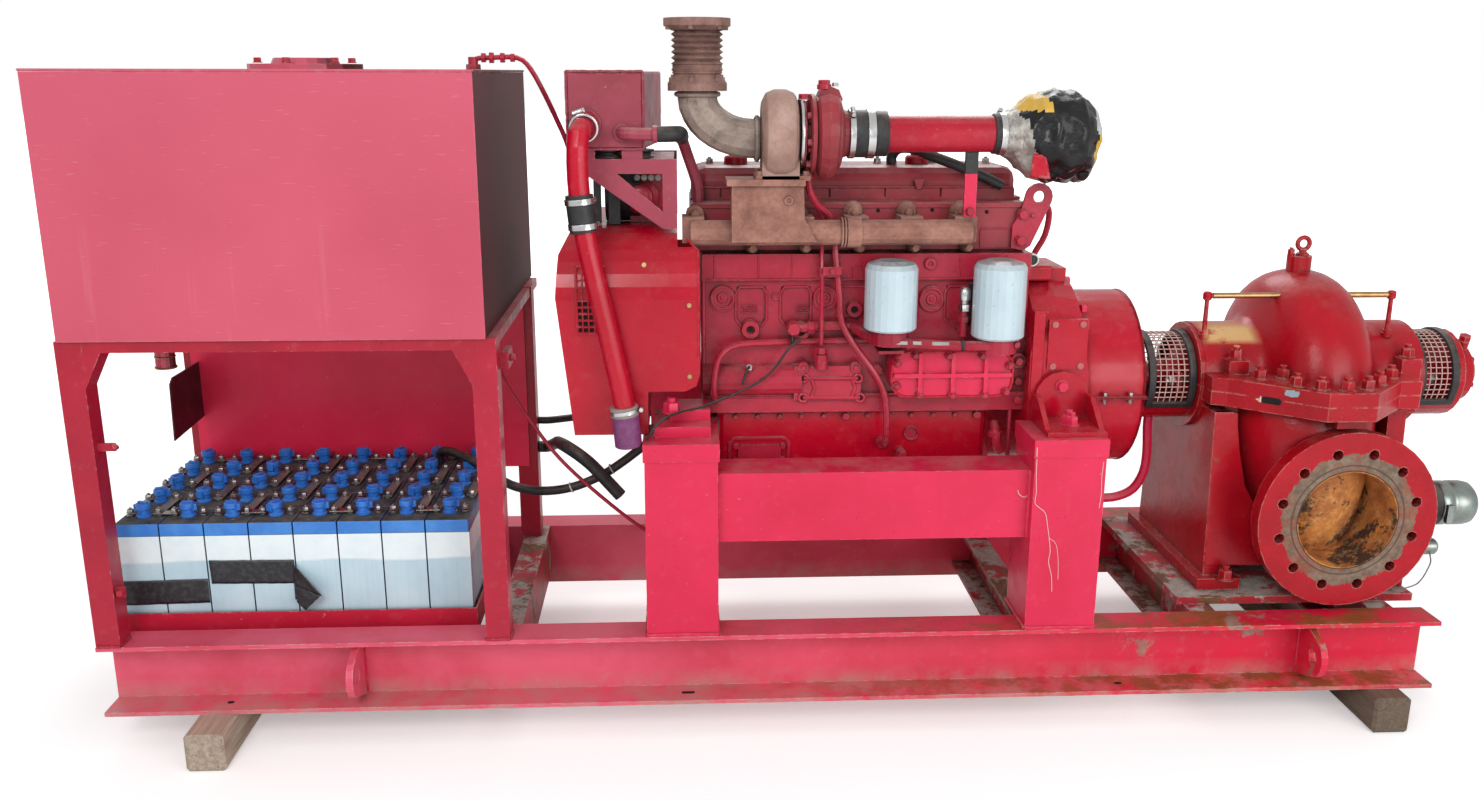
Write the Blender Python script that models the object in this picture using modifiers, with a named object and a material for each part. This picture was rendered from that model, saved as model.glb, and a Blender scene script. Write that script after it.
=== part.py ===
# Diesel fire pump set: engine, split-case pump, day tank and batteries on a channel skid.
# Sizes are metres. Points are written in skid coordinates: X from the skid's left end,
# Y from the front channel's toes towards the back, Z from the skid's underside.
# One empty carries every part and puts the origin under the middle of the whole set.
import math

import bmesh
import bpy
from mathutils import Matrix, Vector

for old in list(bpy.data.objects):
    bpy.data.objects.remove(old)

GAP = 0.0003

# Skid
SKID_LENGTH = 2.757
SKID_WIDTH = 0.733
CHANNEL_HEIGHT = 0.152
CHANNEL_FLANGE = 0.076
CHANNEL_WEB = 0.008
CHANNEL_FLANGE_THICK = 0.009
LUG_PLACES = (0.502, 2.497)
LUG_THICK = 0.014
LUG_HOLE = 0.016
TRAY_MEMBERS = (0.030, 0.640)
ENGINE_MEMBERS = (("stand", 0.780), ("engine", 1.865))
CROSS_HEIGHT = 0.120
CROSS_FLANGE = 0.055
CROSS_WEB = 0.008
DECK = CHANNEL_HEIGHT

# Timber bearers
TIMBER_HEIGHT = 0.080
TIMBER_WIDTH = 0.078
TIMBER_PLACES = (0.184, 2.613)
TIMBER_OVERHANGS = (0.085, 0.045)

# Tank stand
STAND_LEFT = 0.002
STAND_RIGHT = 0.820
STAND_FRONT = 0.0
STAND_TOP = 0.774
STAND_POST = 0.048
STAND_RAIL = 0.022
STAND_GUSSET = 0.070
STAND_PLATE = 0.006
STAND_BACK_Y = SKID_WIDTH - 0.145
STAND_REAR_END = SKID_WIDTH
PANEL_LEFT = 0.020
PANEL_RIGHT = 0.800
PANEL_BOTTOM = 0.335
FLAP_X = 0.035
FLAP_BOTTOM = 0.470
FLAP_TOP = 0.602

# Fuel tank
TANK_LEFT = 0.010
TANK_RIGHT = 0.802
TANK_FRONT = -0.007
TANK_OVERHANG = 0.025
TANK_BACK = SKID_WIDTH + TANK_OVERHANG
TANK_TOP = 1.2657
TANK_WALL = 0.004
ROOF_THICK = 0.004
DRAIN_PLACE = (0.141, 0.150)
DRAIN_RADIUS = 0.019
DRAIN_BOTTOM = 0.688
FILLER_PLACE = (0.395, 0.400)
FILLER_RADIUS = 0.115
FILLER_HEIGHT = 0.024

# Batteries
CELL_ROWS = 5
CELL_COLUMNS = 8
CELL_WIDTH = 0.0896
CELLS_LEFT = 0.0123
CELLS_FRONT = 0.114
CELLS_REAR_ROOM = 0.0135
CELL_DEPTH = (STAND_BACK_Y - CELLS_REAR_ROOM - CELLS_FRONT) / CELL_ROWS
TRAY_BOTTOM = 0.125
TRAY_WALL = 0.004
TRAY_HEIGHT = 0.052
TRAY_MARGIN = 0.010
CASE_HEIGHT = 0.238
CELL_GAP = 0.0015
CELL_FLOOR = 0.030

# Shaft line shared by engine and pump
SHAFT_Y = SKID_WIDTH / 2
SHAFT_Z = 0.604

# Engine
ENGINE_LEFT = 1.215
ENGINE_LENGTH = 0.678
ENGINE_RIGHT = ENGINE_LEFT + ENGINE_LENGTH
BLOCK_HALF = 0.165
BLOCK_BOTTOM = 0.572
BLOCK_TOP = 0.905
LEDGE = 0.012
SHELF_HEIGHT = 0.055
SKIRT_HEIGHT = 0.038
BLOCK_PAD_TOP = BLOCK_BOTTOM + 0.100
PLUG_RADIUS = 0.026
PLUG_PROUD = 0.005
PLUG_PLACES = (0.0414, 0.2540, 0.4754)
PLUG_Z = 0.811
POCKET_PLACES = (0.0700, 0.1620, 0.3850, 0.5050)
POCKET_WIDTH = 0.062
POCKET_HEIGHT = 0.076
POCKET_DEPTH = 0.004
HEAD_LEFT = ENGINE_LEFT - 0.023
HEAD_RIGHT = ENGINE_RIGHT - 0.006
HEAD_HALF = 0.155
HEAD_TOP = BLOCK_TOP + 0.101
ROCKER_HALF = 0.092
ROCKER_TOP = HEAD_TOP + 0.069
ROCKER_RIM = 0.006
SUMP_LEFT = ENGINE_LEFT + 0.032
SUMP_RIGHT = ENGINE_RIGHT - 0.069
SUMP_HALF = 0.145
SUMP_BOTTOM = 0.430
SUMP_RAIL = 0.008
COOLER_LEFT = ENGINE_LEFT + 0.385
COOLER_LENGTH = 0.256
COOLER_BOTTOM = BLOCK_BOTTOM + 0.040
COOLER_HEIGHT = 0.100
COOLER_CORNER = 0.035
COOLER_REACH = 0.0715
COOLER_RIB_PITCH = 0.068
COOLER_RIB = 0.008
HOUSING_RADIUS = 0.245
HOUSING_HALF = 0.2115
HOUSING_LENGTH = 0.127
HOUSING_RIGHT = ENGINE_RIGHT + HOUSING_LENGTH
HOUSING_PLATE = (0.082, 0.104)
HOUSING_PLATE_THICK = 0.004
GUARD_DRUM_RADIUS = 0.192
GUARD_DRUM_LENGTH = 0.130
GUARD_DRUM_RIGHT = HOUSING_RIGHT + GUARD_DRUM_LENGTH
FILTER_RADIUS = 0.053
FILTER_TOP = 0.902
FILTER_PLACES = (ENGINE_LEFT + 0.377, ENGINE_LEFT + 0.597)
FILTER_Y = SHAFT_Y - 0.2465
FILTER_BASES = (0.762, 0.744)

# Engine pedestals
POST_WIDTH = 0.145
POST_DEPTH = 0.145
POST_PLACES = (ENGINE_LEFT - 0.119, ENGINE_RIGHT - 0.021)
POST_TOP = 0.5247
CAP_THICK = 0.034
CAP_LAP = 0.003
BEAM_BOTTOM = 0.345
BEAM_TOP = 0.489
BEAM_SETBACK = 0.026
BEAM_DEPTH = 0.100
PEDESTAL_FRONT = 0.004
SADDLE = POST_TOP + CAP_THICK

# Exhaust and intake
EXHAUST_OFFSET = 0.2265
EXHAUST_Y = SHAFT_Y - EXHAUST_OFFSET
MANIFOLD_Z = BLOCK_TOP + 0.050
MANIFOLD_RADIUS = 0.025
MANIFOLD_RIGHT = ENGINE_LEFT + 0.537
PORT_PITCH = 0.109
PORT_COUNT = 6
SEAT_TOP = MANIFOLD_Z + 0.107
TURBO_X = ENGINE_LEFT + 0.152
TURBO_Z = SEAT_TOP + 0.085
NECK_TURBO_PLACE = 0.2085
NECK_TURBO_RADIUS = 0.045
TURBINE_RADIUS = 0.083
TURBINE_WIDTH = 0.074
COMPRESSOR_RADIUS = 0.088
COMPRESSOR_RIGHT = TURBO_X + 0.135
SCROLL_THIN = 0.014
SCROLL_THICK = 0.024
INTAKE_RADIUS = 0.0355
INTAKE_LENGTH = 0.293
INTAKE_RIGHT = COMPRESSOR_RIGHT + INTAKE_LENGTH
BREATHER_RADIUS = 0.011
ELBOW_RADIUS = 0.038
ELBOW_Z = TURBO_Z - 0.009
STACK_X = ENGINE_LEFT - 0.008
STACK_BASE = ELBOW_Z + 0.090
STACK_TOP = STACK_BASE + 0.134
BELLOWS_FOLDS = 7

# Pipes and hoses
FUEL_LINE_RADIUS = 0.004
BATTERY_CABLE_RADIUS = 0.010
OPEN_HOSE_RADIUS = 0.014
STARTER_CABLE_RADIUS = 0.009

# Belt guard and header tank
BELT_GUARD_LENGTH = 0.280
BELT_GUARD_RIGHT = ENGINE_LEFT - 0.007
BELT_GUARD_LEFT = BELT_GUARD_RIGHT - BELT_GUARD_LENGTH
BELT_GUARD_FRONT = SHAFT_Y - 0.3065
BELT_GUARD_TOP = 0.965
BELT_GUARD_BOTTOM = 0.561
BELT_GUARD_CURVE = 0.130
GRILLE_LEFT = BELT_GUARD_LEFT + 0.041
GRILLE_WIDTH = 0.057
GRILLE_BOTTOM = 0.772
GRILLE_SLOTS = 5
GRILLE_PITCH = 0.013
GRILLE_SLOT = 0.008
PULLEY_RADIUS = 0.062
HEADER_LEFT = BELT_GUARD_LEFT + 0.029
HEADER_LENGTH = 0.146
HEADER_RIGHT = HEADER_LEFT + HEADER_LENGTH
HEADER_FRONT = SHAFT_Y - 0.2465
HEADER_DEPTH = 0.300
HEADER_BACK = HEADER_FRONT + HEADER_DEPTH
HEADER_BOTTOM = BELT_GUARD_TOP + 0.154
HEADER_HEIGHT = 0.145
HEADER_TOP = HEADER_BOTTOM + HEADER_HEIGHT
COOLANT_RADIUS = 0.021
SIDE_PIPE_RADIUS = 0.012

# Pump
PUMP_X = GUARD_DRUM_RIGHT + 0.405
SPLIT_FLANGE = 0.030
VOLUTE_RADIUS = 0.235
VOLUTE_HALF = 0.105
NECK_RADIUS = 0.118
NECK_LEFT = PUMP_X - 0.255
NECK_RIGHT = PUMP_X + 0.245
EAR_PLACES = (PUMP_X - 0.183, PUMP_X + 0.199)
EAR_HALF = 0.022
EAR_OFFSET = 0.1175
EAR_HEIGHT = 0.030
BRANCH_Z = SHAFT_Z - 0.2454
BRANCH_RADIUS = 0.128
FLANGE_X = PUMP_X + 0.005
FLANGE_RADIUS = 0.1915
FLANGE_THICK = 0.034
FLANGE_FRONT = SHAFT_Y - 0.3065
BORE_RADIUS = 0.106
BOLT_CIRCLE = 0.1475
BOLT_HOLE = 0.0115
BOLT_COUNT = 12
BED_LEFT = PUMP_X - 0.320
BED_FRONT = CHANNEL_FLANGE + 0.036
PUMP_MEMBERS = (PUMP_X - 0.305, PUMP_X + 0.085)
FOOT_BASE = DECK + 0.016
FOOT_THICK = 0.026
LEG_THICK = 0.040
LEG_PLACES = (NECK_LEFT + 0.012, NECK_RIGHT - 0.106)
HOSE_COUPLING_RADIUS = 0.047
HOSE_COUPLING_LENGTH = 0.212
HOSE_COUPLING_Y = SHAFT_Y - 0.1165
HOSE_COUPLING_Z = 0.327
GLAND_RADIUS = 0.098
BEARING_LENGTH = 0.057
BEARING_LEFT = NECK_RIGHT + 0.105
BEARING_RIGHT = BEARING_LEFT + BEARING_LENGTH
BEARING_RADIUS = 0.070
BEARING_FLANGE = 0.012
SHAFT_RADIUS = 0.024
CRADLE_THICK = 0.013
CAGE_LEFT = GUARD_DRUM_RIGHT + 0.042
CAGE_THICK = 0.004
CAGE_RELIEF = 0.002
CAGE_START = -35
CAGE_END = 215
CAGE_BORDER = 0.017
CAGE_BAR = 0.005
CAGE_ROWS = 9
CAGE_COLUMNS = 3
SEAL_PIPE_RADIUS = 0.006

REACH_RIGHT = BEARING_RIGHT
CENTRE_X = REACH_RIGHT / 2
CENTRE_Y = SKID_WIDTH / 2

parts = bpy.data.collections.new("fire_pump")
cutters = bpy.data.collections.new("cutters")
bpy.context.scene.collection.children.link(parts)
bpy.context.scene.collection.children.link(cutters)

root = bpy.data.objects.new("fire_pump_origin", None)
root.location = (-CENTRE_X, -CENTRE_Y, TIMBER_HEIGHT)
parts.objects.link(root)


def material(name, colour, roughness, metallic=0.0):
    """A Principled material in the part's own colour."""
    made = bpy.data.materials.new(name)
    made.use_nodes = True
    shader = made.node_tree.nodes["Principled BSDF"]
    shader.inputs["Base Color"].default_value = (*colour, 1.0)
    shader.inputs["Roughness"].default_value = roughness
    shader.inputs["Metallic"].default_value = metallic
    made.diffuse_color = (*colour, 1.0)
    return made


RED = material("red_paint", (0.55, 0.02, 0.05), 0.4)
DARK_RED = material("dark_red_paint", (0.33, 0.02, 0.04), 0.5)
RUST = material("rusty_iron", (0.25, 0.11, 0.07), 0.85, 0.2)
STEEL = material("heat_grey_steel", (0.30, 0.26, 0.22), 0.6, 0.5)
BLACK = material("black_rubber", (0.02, 0.02, 0.022), 0.6)
TAPE = material("black_tape", (0.015, 0.015, 0.015), 0.3)
CELL = material("cell_case", (0.62, 0.70, 0.74), 0.4)
FILTER = material("pale_blue_enamel", (0.62, 0.74, 0.78), 0.3)
TIMBER = material("weathered_timber", (0.42, 0.36, 0.29), 0.9)


def adopt(name, mesh, finish):
    """Links a mesh as a part that the root empty carries."""
    part = bpy.data.objects.new(name, mesh)
    part.parent = root
    part.data.materials.append(finish)
    parts.objects.link(part)
    return part


def smooth(part, angle=35):
    """Smooth shading with edges sharper than the angle left crisp."""
    part.data.shade_smooth()
    part.data.set_sharp_from_angle(angle=math.radians(angle))
    return part


def bevelled(part, width, segments=2, limit=40):
    """A live Bevel on the edges sharper than the limit."""
    bevel = part.modifiers.new("bevel", "BEVEL")
    bevel.width = width
    bevel.segments = segments
    bevel.limit_method = "ANGLE"
    bevel.angle_limit = math.radians(limit)
    return part


def box(name, x, y, z, finish):
    """A block between the low and high value on each axis."""
    mesh = bpy.data.meshes.new(name)
    shape = bmesh.new()
    bmesh.ops.create_cube(shape, size=1.0)
    size = Vector((x[1] - x[0], y[1] - y[0], z[1] - z[0]))
    middle = Vector((x[0] + x[1], y[0] + y[1], z[0] + z[1])) / 2
    bmesh.ops.scale(shape, vec=size, verts=shape.verts)
    bmesh.ops.translate(shape, vec=middle, verts=shape.verts)
    shape.to_mesh(mesh)
    shape.free()
    return adopt(name, mesh, finish)


TURNS = {
    "x": Matrix(((0, 0, 1), (1, 0, 0), (0, 1, 0))).to_4x4(),
    "y": Matrix(((1, 0, 0), (0, 0, -1), (0, 1, 0))).to_4x4(),
    "z": Matrix.Identity(4),
}


def solid_from(part, finish):
    """The evaluated object as a welded mesh, in the root's space."""
    name = part.name
    seen = part.evaluated_get(bpy.context.evaluated_depsgraph_get())
    mesh = bpy.data.meshes.new_from_object(seen)
    shape = bmesh.new()
    shape.from_mesh(mesh)
    bmesh.ops.transform(shape, matrix=part.matrix_local, verts=shape.verts)
    bmesh.ops.remove_doubles(shape, verts=shape.verts, dist=0.00002)
    bmesh.ops.recalc_face_normals(shape, faces=shape.faces)
    shape.to_mesh(mesh)
    shape.free()
    mesh.materials.clear()
    bpy.data.objects.remove(part)
    return adopt(name, mesh, finish)


def prism(name, outline, axis, low, high, finish):
    """A flat outline filled and extruded along one axis.

    The outline's two numbers are Y, Z for axis x, X, Z for axis y and X, Y for axis z."""
    curve = bpy.data.curves.new(name, "CURVE")
    curve.dimensions = "2D"
    curve.fill_mode = "BOTH"
    curve.extrude = (high - low) / 2
    spline = curve.splines.new("POLY")
    spline.points.add(len(outline) - 1)
    for point, place in zip(spline.points, outline):
        point.co = (place[0], place[1], 0, 1)
    spline.use_cyclic_u = True
    part = bpy.data.objects.new(name, curve)
    parts.objects.link(part)
    middle = (low + high) / 2
    along = {"x": (middle, 0, 0), "y": (0, middle, 0), "z": (0, 0, middle)}[axis]
    part.matrix_local = Matrix.Translation(along) @ TURNS[axis]
    bpy.context.view_layer.update()
    return solid_from(part, finish)


def turned(name, profile, centre, axis, finish, steps=24):
    """A profile of radius and height, from its top down its outer side, turned about an axis."""
    mesh = bpy.data.meshes.new(name)
    edges = [(i, i + 1) for i in range(len(profile) - 1)]
    mesh.from_pydata([(radius, 0, height) for radius, height in profile], edges, [])
    part = bpy.data.objects.new(name, mesh)
    parts.objects.link(part)
    screw = part.modifiers.new("turn", "SCREW")
    screw.steps = steps
    screw.render_steps = steps
    screw.use_merge_vertices = True
    screw.merge_threshold = 0.00001
    part.matrix_local = Matrix.Translation(centre) @ TURNS[axis]
    bpy.context.view_layer.update()
    return smooth(solid_from(part, finish))


def drum(name, radius, low, high, centre, axis, finish, steps=24):
    """A plain cylinder between two heights along its axis."""
    profile = [(0, high), (radius, high), (radius, low), (0, low)]
    return turned(name, profile, centre, axis, finish, steps)


def curve_through(places, per_span=5):
    """Points read from a smooth curve through the places (Catmull-Rom)."""
    spots = [Vector(place) for place in places]
    spots = [spots[0] * 2 - spots[1]] + spots + [spots[-1] * 2 - spots[-2]]
    out = []
    for i in range(1, len(spots) - 2):
        for step in range(per_span):
            t = step / per_span
            before, a, b, after = spots[i - 1], spots[i], spots[i + 1], spots[i + 2]
            bend = 2 * before - 5 * a + 4 * b - after
            twist = 3 * a - before - 3 * b + after
            out.append(a + ((b - before) * t + bend * t * t + twist * t**3) / 2)
    out.append(spots[-2])
    return out


def squared_ends(route, places):
    """The route with its first and last steps straight along the first and last spans."""
    for first, second, start, target in ((0, 1, 0, 1), (-1, -2, -1, -2)):
        end = Vector(places[start])
        along = (Vector(places[target]) - end).normalized()
        route[second] = end + along * (route[second] - route[first]).length
    return route


def tube(name, places, radius, finish, sides=2, per_span=5, swell=None):
    """A round tube along a smooth curve, with flat ends; swell scales its radius point by point."""
    curve = bpy.data.curves.new(name, "CURVE")
    curve.dimensions = "3D"
    curve.bevel_depth = radius
    curve.bevel_resolution = sides
    curve.use_fill_caps = True
    route = [Vector(place) for place in places]
    if per_span > 1:
        route = squared_ends(curve_through(places, per_span), places)
    spline = curve.splines.new("POLY")
    spline.points.add(len(route) - 1)
    for number, (point, place) in enumerate(zip(spline.points, route)):
        point.co = (*place, 1)
        if swell:
            point.radius = swell[number]
    part = bpy.data.objects.new(name, curve)
    parts.objects.link(part)
    bpy.context.view_layer.update()
    return smooth(solid_from(part, finish), 50)


def on_engine(places):
    """Points with X from the engine's left end and Y from the shaft line, in skid coordinates."""
    return [(ENGINE_LEFT + x, SHAFT_Y + y, z) for x, y, z in places]


def combine(target, others, operation="UNION"):
    """Live Booleans on the target; the other shapes become hidden cutters."""
    for other in others:
        change = target.modifiers.new(other.name, "BOOLEAN")
        change.operation = operation
        change.solver = "EXACT"
        change.object = other
        other.display_type = "WIRE"
        other.hide_render = True
        parts.objects.unlink(other)
        cutters.objects.link(other)
    return target


def cut(target, others):
    """Takes the other shapes out of the target."""
    return combine(target, others, "DIFFERENCE")


def arc(centre, radius, start, end, steps):
    """Points on a circular arc, angles in degrees."""
    out = []
    for i in range(steps + 1):
        angle = math.radians(start + (end - start) * i / steps)
        out.append((centre[0] + radius * math.cos(angle), centre[1] + radius * math.sin(angle)))
    return out


def back(y):
    """The same distance from the back of the skid as y is from its front."""
    return SKID_WIDTH - y


def channel_outline(toe, web):
    """A channel's section in Y and Z, with its toes at one Y and its web's back at the other."""
    inward = 1 if toe > web else -1
    inner = web + inward * CHANNEL_WEB
    low = CHANNEL_FLANGE_THICK
    high = CHANNEL_HEIGHT - CHANNEL_FLANGE_THICK
    return [
        (toe, 0),
        (web, 0),
        (web, CHANNEL_HEIGHT),
        (toe, CHANNEL_HEIGHT),
        (toe, high),
        (inner, high),
        (inner, low),
        (toe, low),
    ]


def skid_channel(name, side):
    """One long channel with its two lifting lugs."""
    toe = side(0)
    web = side(CHANNEL_FLANGE)
    rail = prism(name, channel_outline(toe, web), "x", 0, SKID_LENGTH, RED)
    for number, place in enumerate(LUG_PLACES):
        low = CHANNEL_FLANGE_THICK / 2
        high = CHANNEL_HEIGHT - low
        root_y = CHANNEL_FLANGE - CHANNEL_WEB / 2
        middle = CHANNEL_HEIGHT / 2
        rim = arc((0.010, middle), 0.045, 235, 125, 6)
        shape = [(root_y, low), *rim, (root_y, high)]
        shape = [(side(y), z) for y, z in shape]
        half = LUG_THICK / 2
        lug = prism(f"{name}_lug_{number}", shape, "x", place - half, place + half, RED)
        eye = (place, side(0.004), middle)
        hole = drum(f"{name}_eye_{number}", LUG_HOLE, -0.05, 0.05, eye, "x", RED, 12)
        combine(rail, [lug])
        cut(rail, [hole])
    return rail


def cross_member(name, place, top):
    """A light channel between the two webs, toes to the left."""
    low = DECK - CROSS_HEIGHT
    web = place + CROSS_FLANGE - CROSS_WEB
    outline = [
        (place, low),
        (place + CROSS_FLANGE, low),
        (place + CROSS_FLANGE, top),
        (place, top),
        (place, top - CROSS_WEB),
        (web, top - CROSS_WEB),
        (web, low + CROSS_WEB),
        (place, low + CROSS_WEB),
    ]
    start = CHANNEL_FLANGE + GAP
    return prism(name, outline, "y", start, back(start), RED)


def skid():
    """Two long channels with their toes out, and the members between them."""
    skid_channel("skid_channel_front", lambda y: y)
    skid_channel("skid_channel_rear", back)
    for name, place in ENGINE_MEMBERS:
        cross_member(f"skid_cross_member_{name}", place, DECK)


def timbers():
    """The two bearers that the skid stands on."""
    for side, place, overhang in zip(("left", "right"), TIMBER_PLACES, TIMBER_OVERHANGS):
        x = (place, place + TIMBER_WIDTH)
        y = (-overhang, SKID_WIDTH + overhang)
        block = box(f"timber_bearer_{side}", x, y, (-TIMBER_HEIGHT, -GAP), TIMBER)
        bevelled(block, 0.006, 1)


def stand_frame(name, front, left_foot):
    """Two posts, their top rail and its corner gussets, welded as one frame."""
    foot = DECK + GAP
    rail_low = STAND_TOP - STAND_RAIL
    left = STAND_LEFT
    right = STAND_RIGHT
    inner_left = left + STAND_POST
    inner_right = right - STAND_POST
    frame = [
        (left, left_foot),
        (inner_left, left_foot),
        (inner_left, rail_low - STAND_GUSSET),
        (inner_left + STAND_GUSSET / 2, rail_low),
        (inner_right - STAND_GUSSET / 2, rail_low),
        (inner_right, rail_low - STAND_GUSSET),
        (inner_right, foot),
        (right, foot),
        (right, STAND_TOP),
        (left, STAND_TOP),
    ]
    return prism(name, frame, "y", front, front + STAND_POST, RED)


def stand():
    """The tank's stand: two portal frames, the rear one with the side rails, a panel and its flap."""
    stand_frame("stand_front_frame", STAND_FRONT, DECK + GAP)
    tray_member_top = TRAY_BOTTOM + TRAY_WALL / 2
    rear = stand_frame("stand_rear_frame", STAND_BACK_Y, tray_member_top + GAP)
    start = STAND_FRONT + STAND_POST + GAP
    rails = []
    for name, left in (("left", STAND_LEFT), ("right", STAND_RIGHT - STAND_POST)):
        x = (left + STAND_PLATE / 2, left + STAND_POST - STAND_PLATE / 2)
        z = (STAND_TOP - STAND_RAIL + 0.001, STAND_TOP - 0.001)
        rails.append(box(f"stand_side_rail_{name}", x, (start, STAND_REAR_END), z, RED))
    combine(rear, rails)
    panel_back = STAND_BACK_Y - GAP
    panel_front = panel_back - STAND_PLATE
    panel_top = STAND_TOP - STAND_RAIL - GAP
    panel_y = (panel_front, panel_back)
    box("stand_rear_panel", (PANEL_LEFT, PANEL_RIGHT), panel_y, (PANEL_BOTTOM, panel_top), RED)
    flap_y = panel_front - GAP
    flap = [
        (flap_y, FLAP_BOTTOM),
        (flap_y, FLAP_TOP),
        (flap_y - 0.155, FLAP_TOP),
        (flap_y - 0.172, FLAP_TOP - 0.012),
        (flap_y - 0.180, FLAP_BOTTOM - 0.008),
    ]
    prism("stand_flap", flap, "x", FLAP_X, FLAP_X + STAND_PLATE / 2, DARK_RED)


def fuel_tank():
    """An open box of thin plate with its roof, filler and vent fitting as pieces of their own."""
    x = (TANK_LEFT, TANK_RIGHT)
    y = (TANK_FRONT, TANK_BACK)
    z = (STAND_TOP + GAP, TANK_TOP - ROOF_THICK - GAP)
    shell = box("fuel_tank_shell", x, y, z, RED)
    inside = box(
        "fuel_tank_inside",
        (x[0] + TANK_WALL, x[1] - TANK_WALL),
        (y[0] + TANK_WALL, y[1] - TANK_WALL),
        (z[0] + TANK_WALL, z[1] + TANK_WALL),
        RED,
    )
    drain_z = (DRAIN_BOTTOM, z[0] + TANK_WALL / 2)
    drain = drum("tank_drain", DRAIN_RADIUS, *drain_z, (*DRAIN_PLACE, 0), "z", RED, 16)
    combine(shell, [drain])
    cut(shell, [inside])
    roof = box("fuel_tank_roof", x, y, (TANK_TOP - ROOF_THICK, TANK_TOP), RED)
    rim = FILLER_RADIUS
    step = FILLER_HEIGHT / 2
    sunk = -ROOF_THICK / 2
    cover = [
        (0, FILLER_HEIGHT),
        (rim * 0.55, FILLER_HEIGHT),
        (rim * 0.6, step),
        (rim, step),
        (rim, sunk),
        (0, sunk),
    ]
    combine(roof, [turned("fuel_filler", cover, (*FILLER_PLACE, TANK_TOP), "z", RED, 20)])


def batteries():
    """A sheet tray and five rows of eight cells."""
    left = CELLS_LEFT
    right = left + CELL_COLUMNS * CELL_WIDTH
    front = CELLS_FRONT
    rear = front + CELL_ROWS * CELL_DEPTH
    x = (left - TRAY_MARGIN, right + TRAY_MARGIN)
    y = (front - TRAY_MARGIN, rear + TRAY_MARGIN)
    z = (TRAY_BOTTOM, TRAY_BOTTOM + TRAY_HEIGHT)
    tray = box("battery_tray", x, y, z, RED)
    hollow = box(
        "battery_tray_inside",
        (x[0] + TRAY_WALL, x[1] - TRAY_WALL),
        (y[0] + TRAY_WALL, y[1] - TRAY_WALL),
        (z[0] + TRAY_WALL, z[1] + TRAY_WALL),
        RED,
    )
    members = []
    for number, place in enumerate(TRAY_MEMBERS):
        members.append(cross_member(f"tray_member_{number}", place, TRAY_BOTTOM + TRAY_WALL / 2))
    combine(tray, members)
    cut(tray, [hollow])
    base = z[0] + TRAY_WALL + GAP
    top = base + CASE_HEIGHT
    block = box("battery_cells", (left, right), (front, rear), (base, top), CELL)
    floor = base + CELL_FLOOR
    grooves = []
    for column in range(1, CELL_COLUMNS):
        edge = left + column * CELL_WIDTH
        x = (edge - CELL_GAP, edge + CELL_GAP)
        y = (front - 0.01, rear + 0.01)
        grooves.append(box(f"column_groove_{column}", x, y, (floor, top + 0.01), CELL))
    for row in range(1, CELL_ROWS):
        edge = front + row * CELL_DEPTH
        x = (left - 0.01, right + 0.01)
        y = (edge - CELL_GAP, edge + CELL_GAP)
        grooves.append(box(f"row_groove_{row}", x, y, (floor, top + 0.01), CELL))
    cut(block, grooves)


def pedestal(name, side):
    """Two box posts with cap plates, joined by a box beam."""
    front = PEDESTAL_FRONT
    y = sorted((side(front), side(front + POST_DEPTH)))
    bottom = DECK + GAP
    frame = None
    for number, place in enumerate(POST_PLACES):
        post = box(f"{name}_post_{number}", (place, place + POST_WIDTH), y, (bottom, POST_TOP), RED)
        lap = CAP_LAP
        cap_x = (place - lap, place + POST_WIDTH + lap)
        cap = box(f"{name}_cap_{number}", cap_x, (y[0] - lap, y[1] + lap), (POST_TOP - 0.002, SADDLE), RED)
        if frame is None:
            frame = post
            frame.name = name
            combine(frame, [cap])
        else:
            combine(frame, [post, cap])
    beam_y = sorted((side(front + BEAM_SETBACK), side(front + BEAM_SETBACK + BEAM_DEPTH)))
    beam_x = (POST_PLACES[0] + POST_WIDTH / 2, POST_PLACES[1] + POST_WIDTH / 2)
    beam = box(f"{name}_beam", beam_x, beam_y, (BEAM_BOTTOM, BEAM_TOP), RED)
    combine(frame, [beam])
    return frame


def engine_mounts():
    """The feet between the pedestals' caps and the engine, front and rear."""
    block_front = SHAFT_Y - BLOCK_HALF - LEDGE
    for name, side in (("front", lambda y: y), ("rear", back)):
        left = POST_PLACES[0] + 0.020
        y = sorted((side(0.050), side(block_front - GAP)))
        pad = box(f"engine_foot_{name}", (left, left + 0.112), y, (SADDLE + GAP, SADDLE + 0.022), RED)
        arm_y = sorted((side(0.100), side(block_front - GAP)))
        arm_x = (left + 0.030, left + 0.112)
        arm = box(f"engine_foot_arm_{name}", arm_x, arm_y, (SADDLE + 0.01, SADDLE + 0.044), RED)
        combine(pad, [arm])


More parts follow.
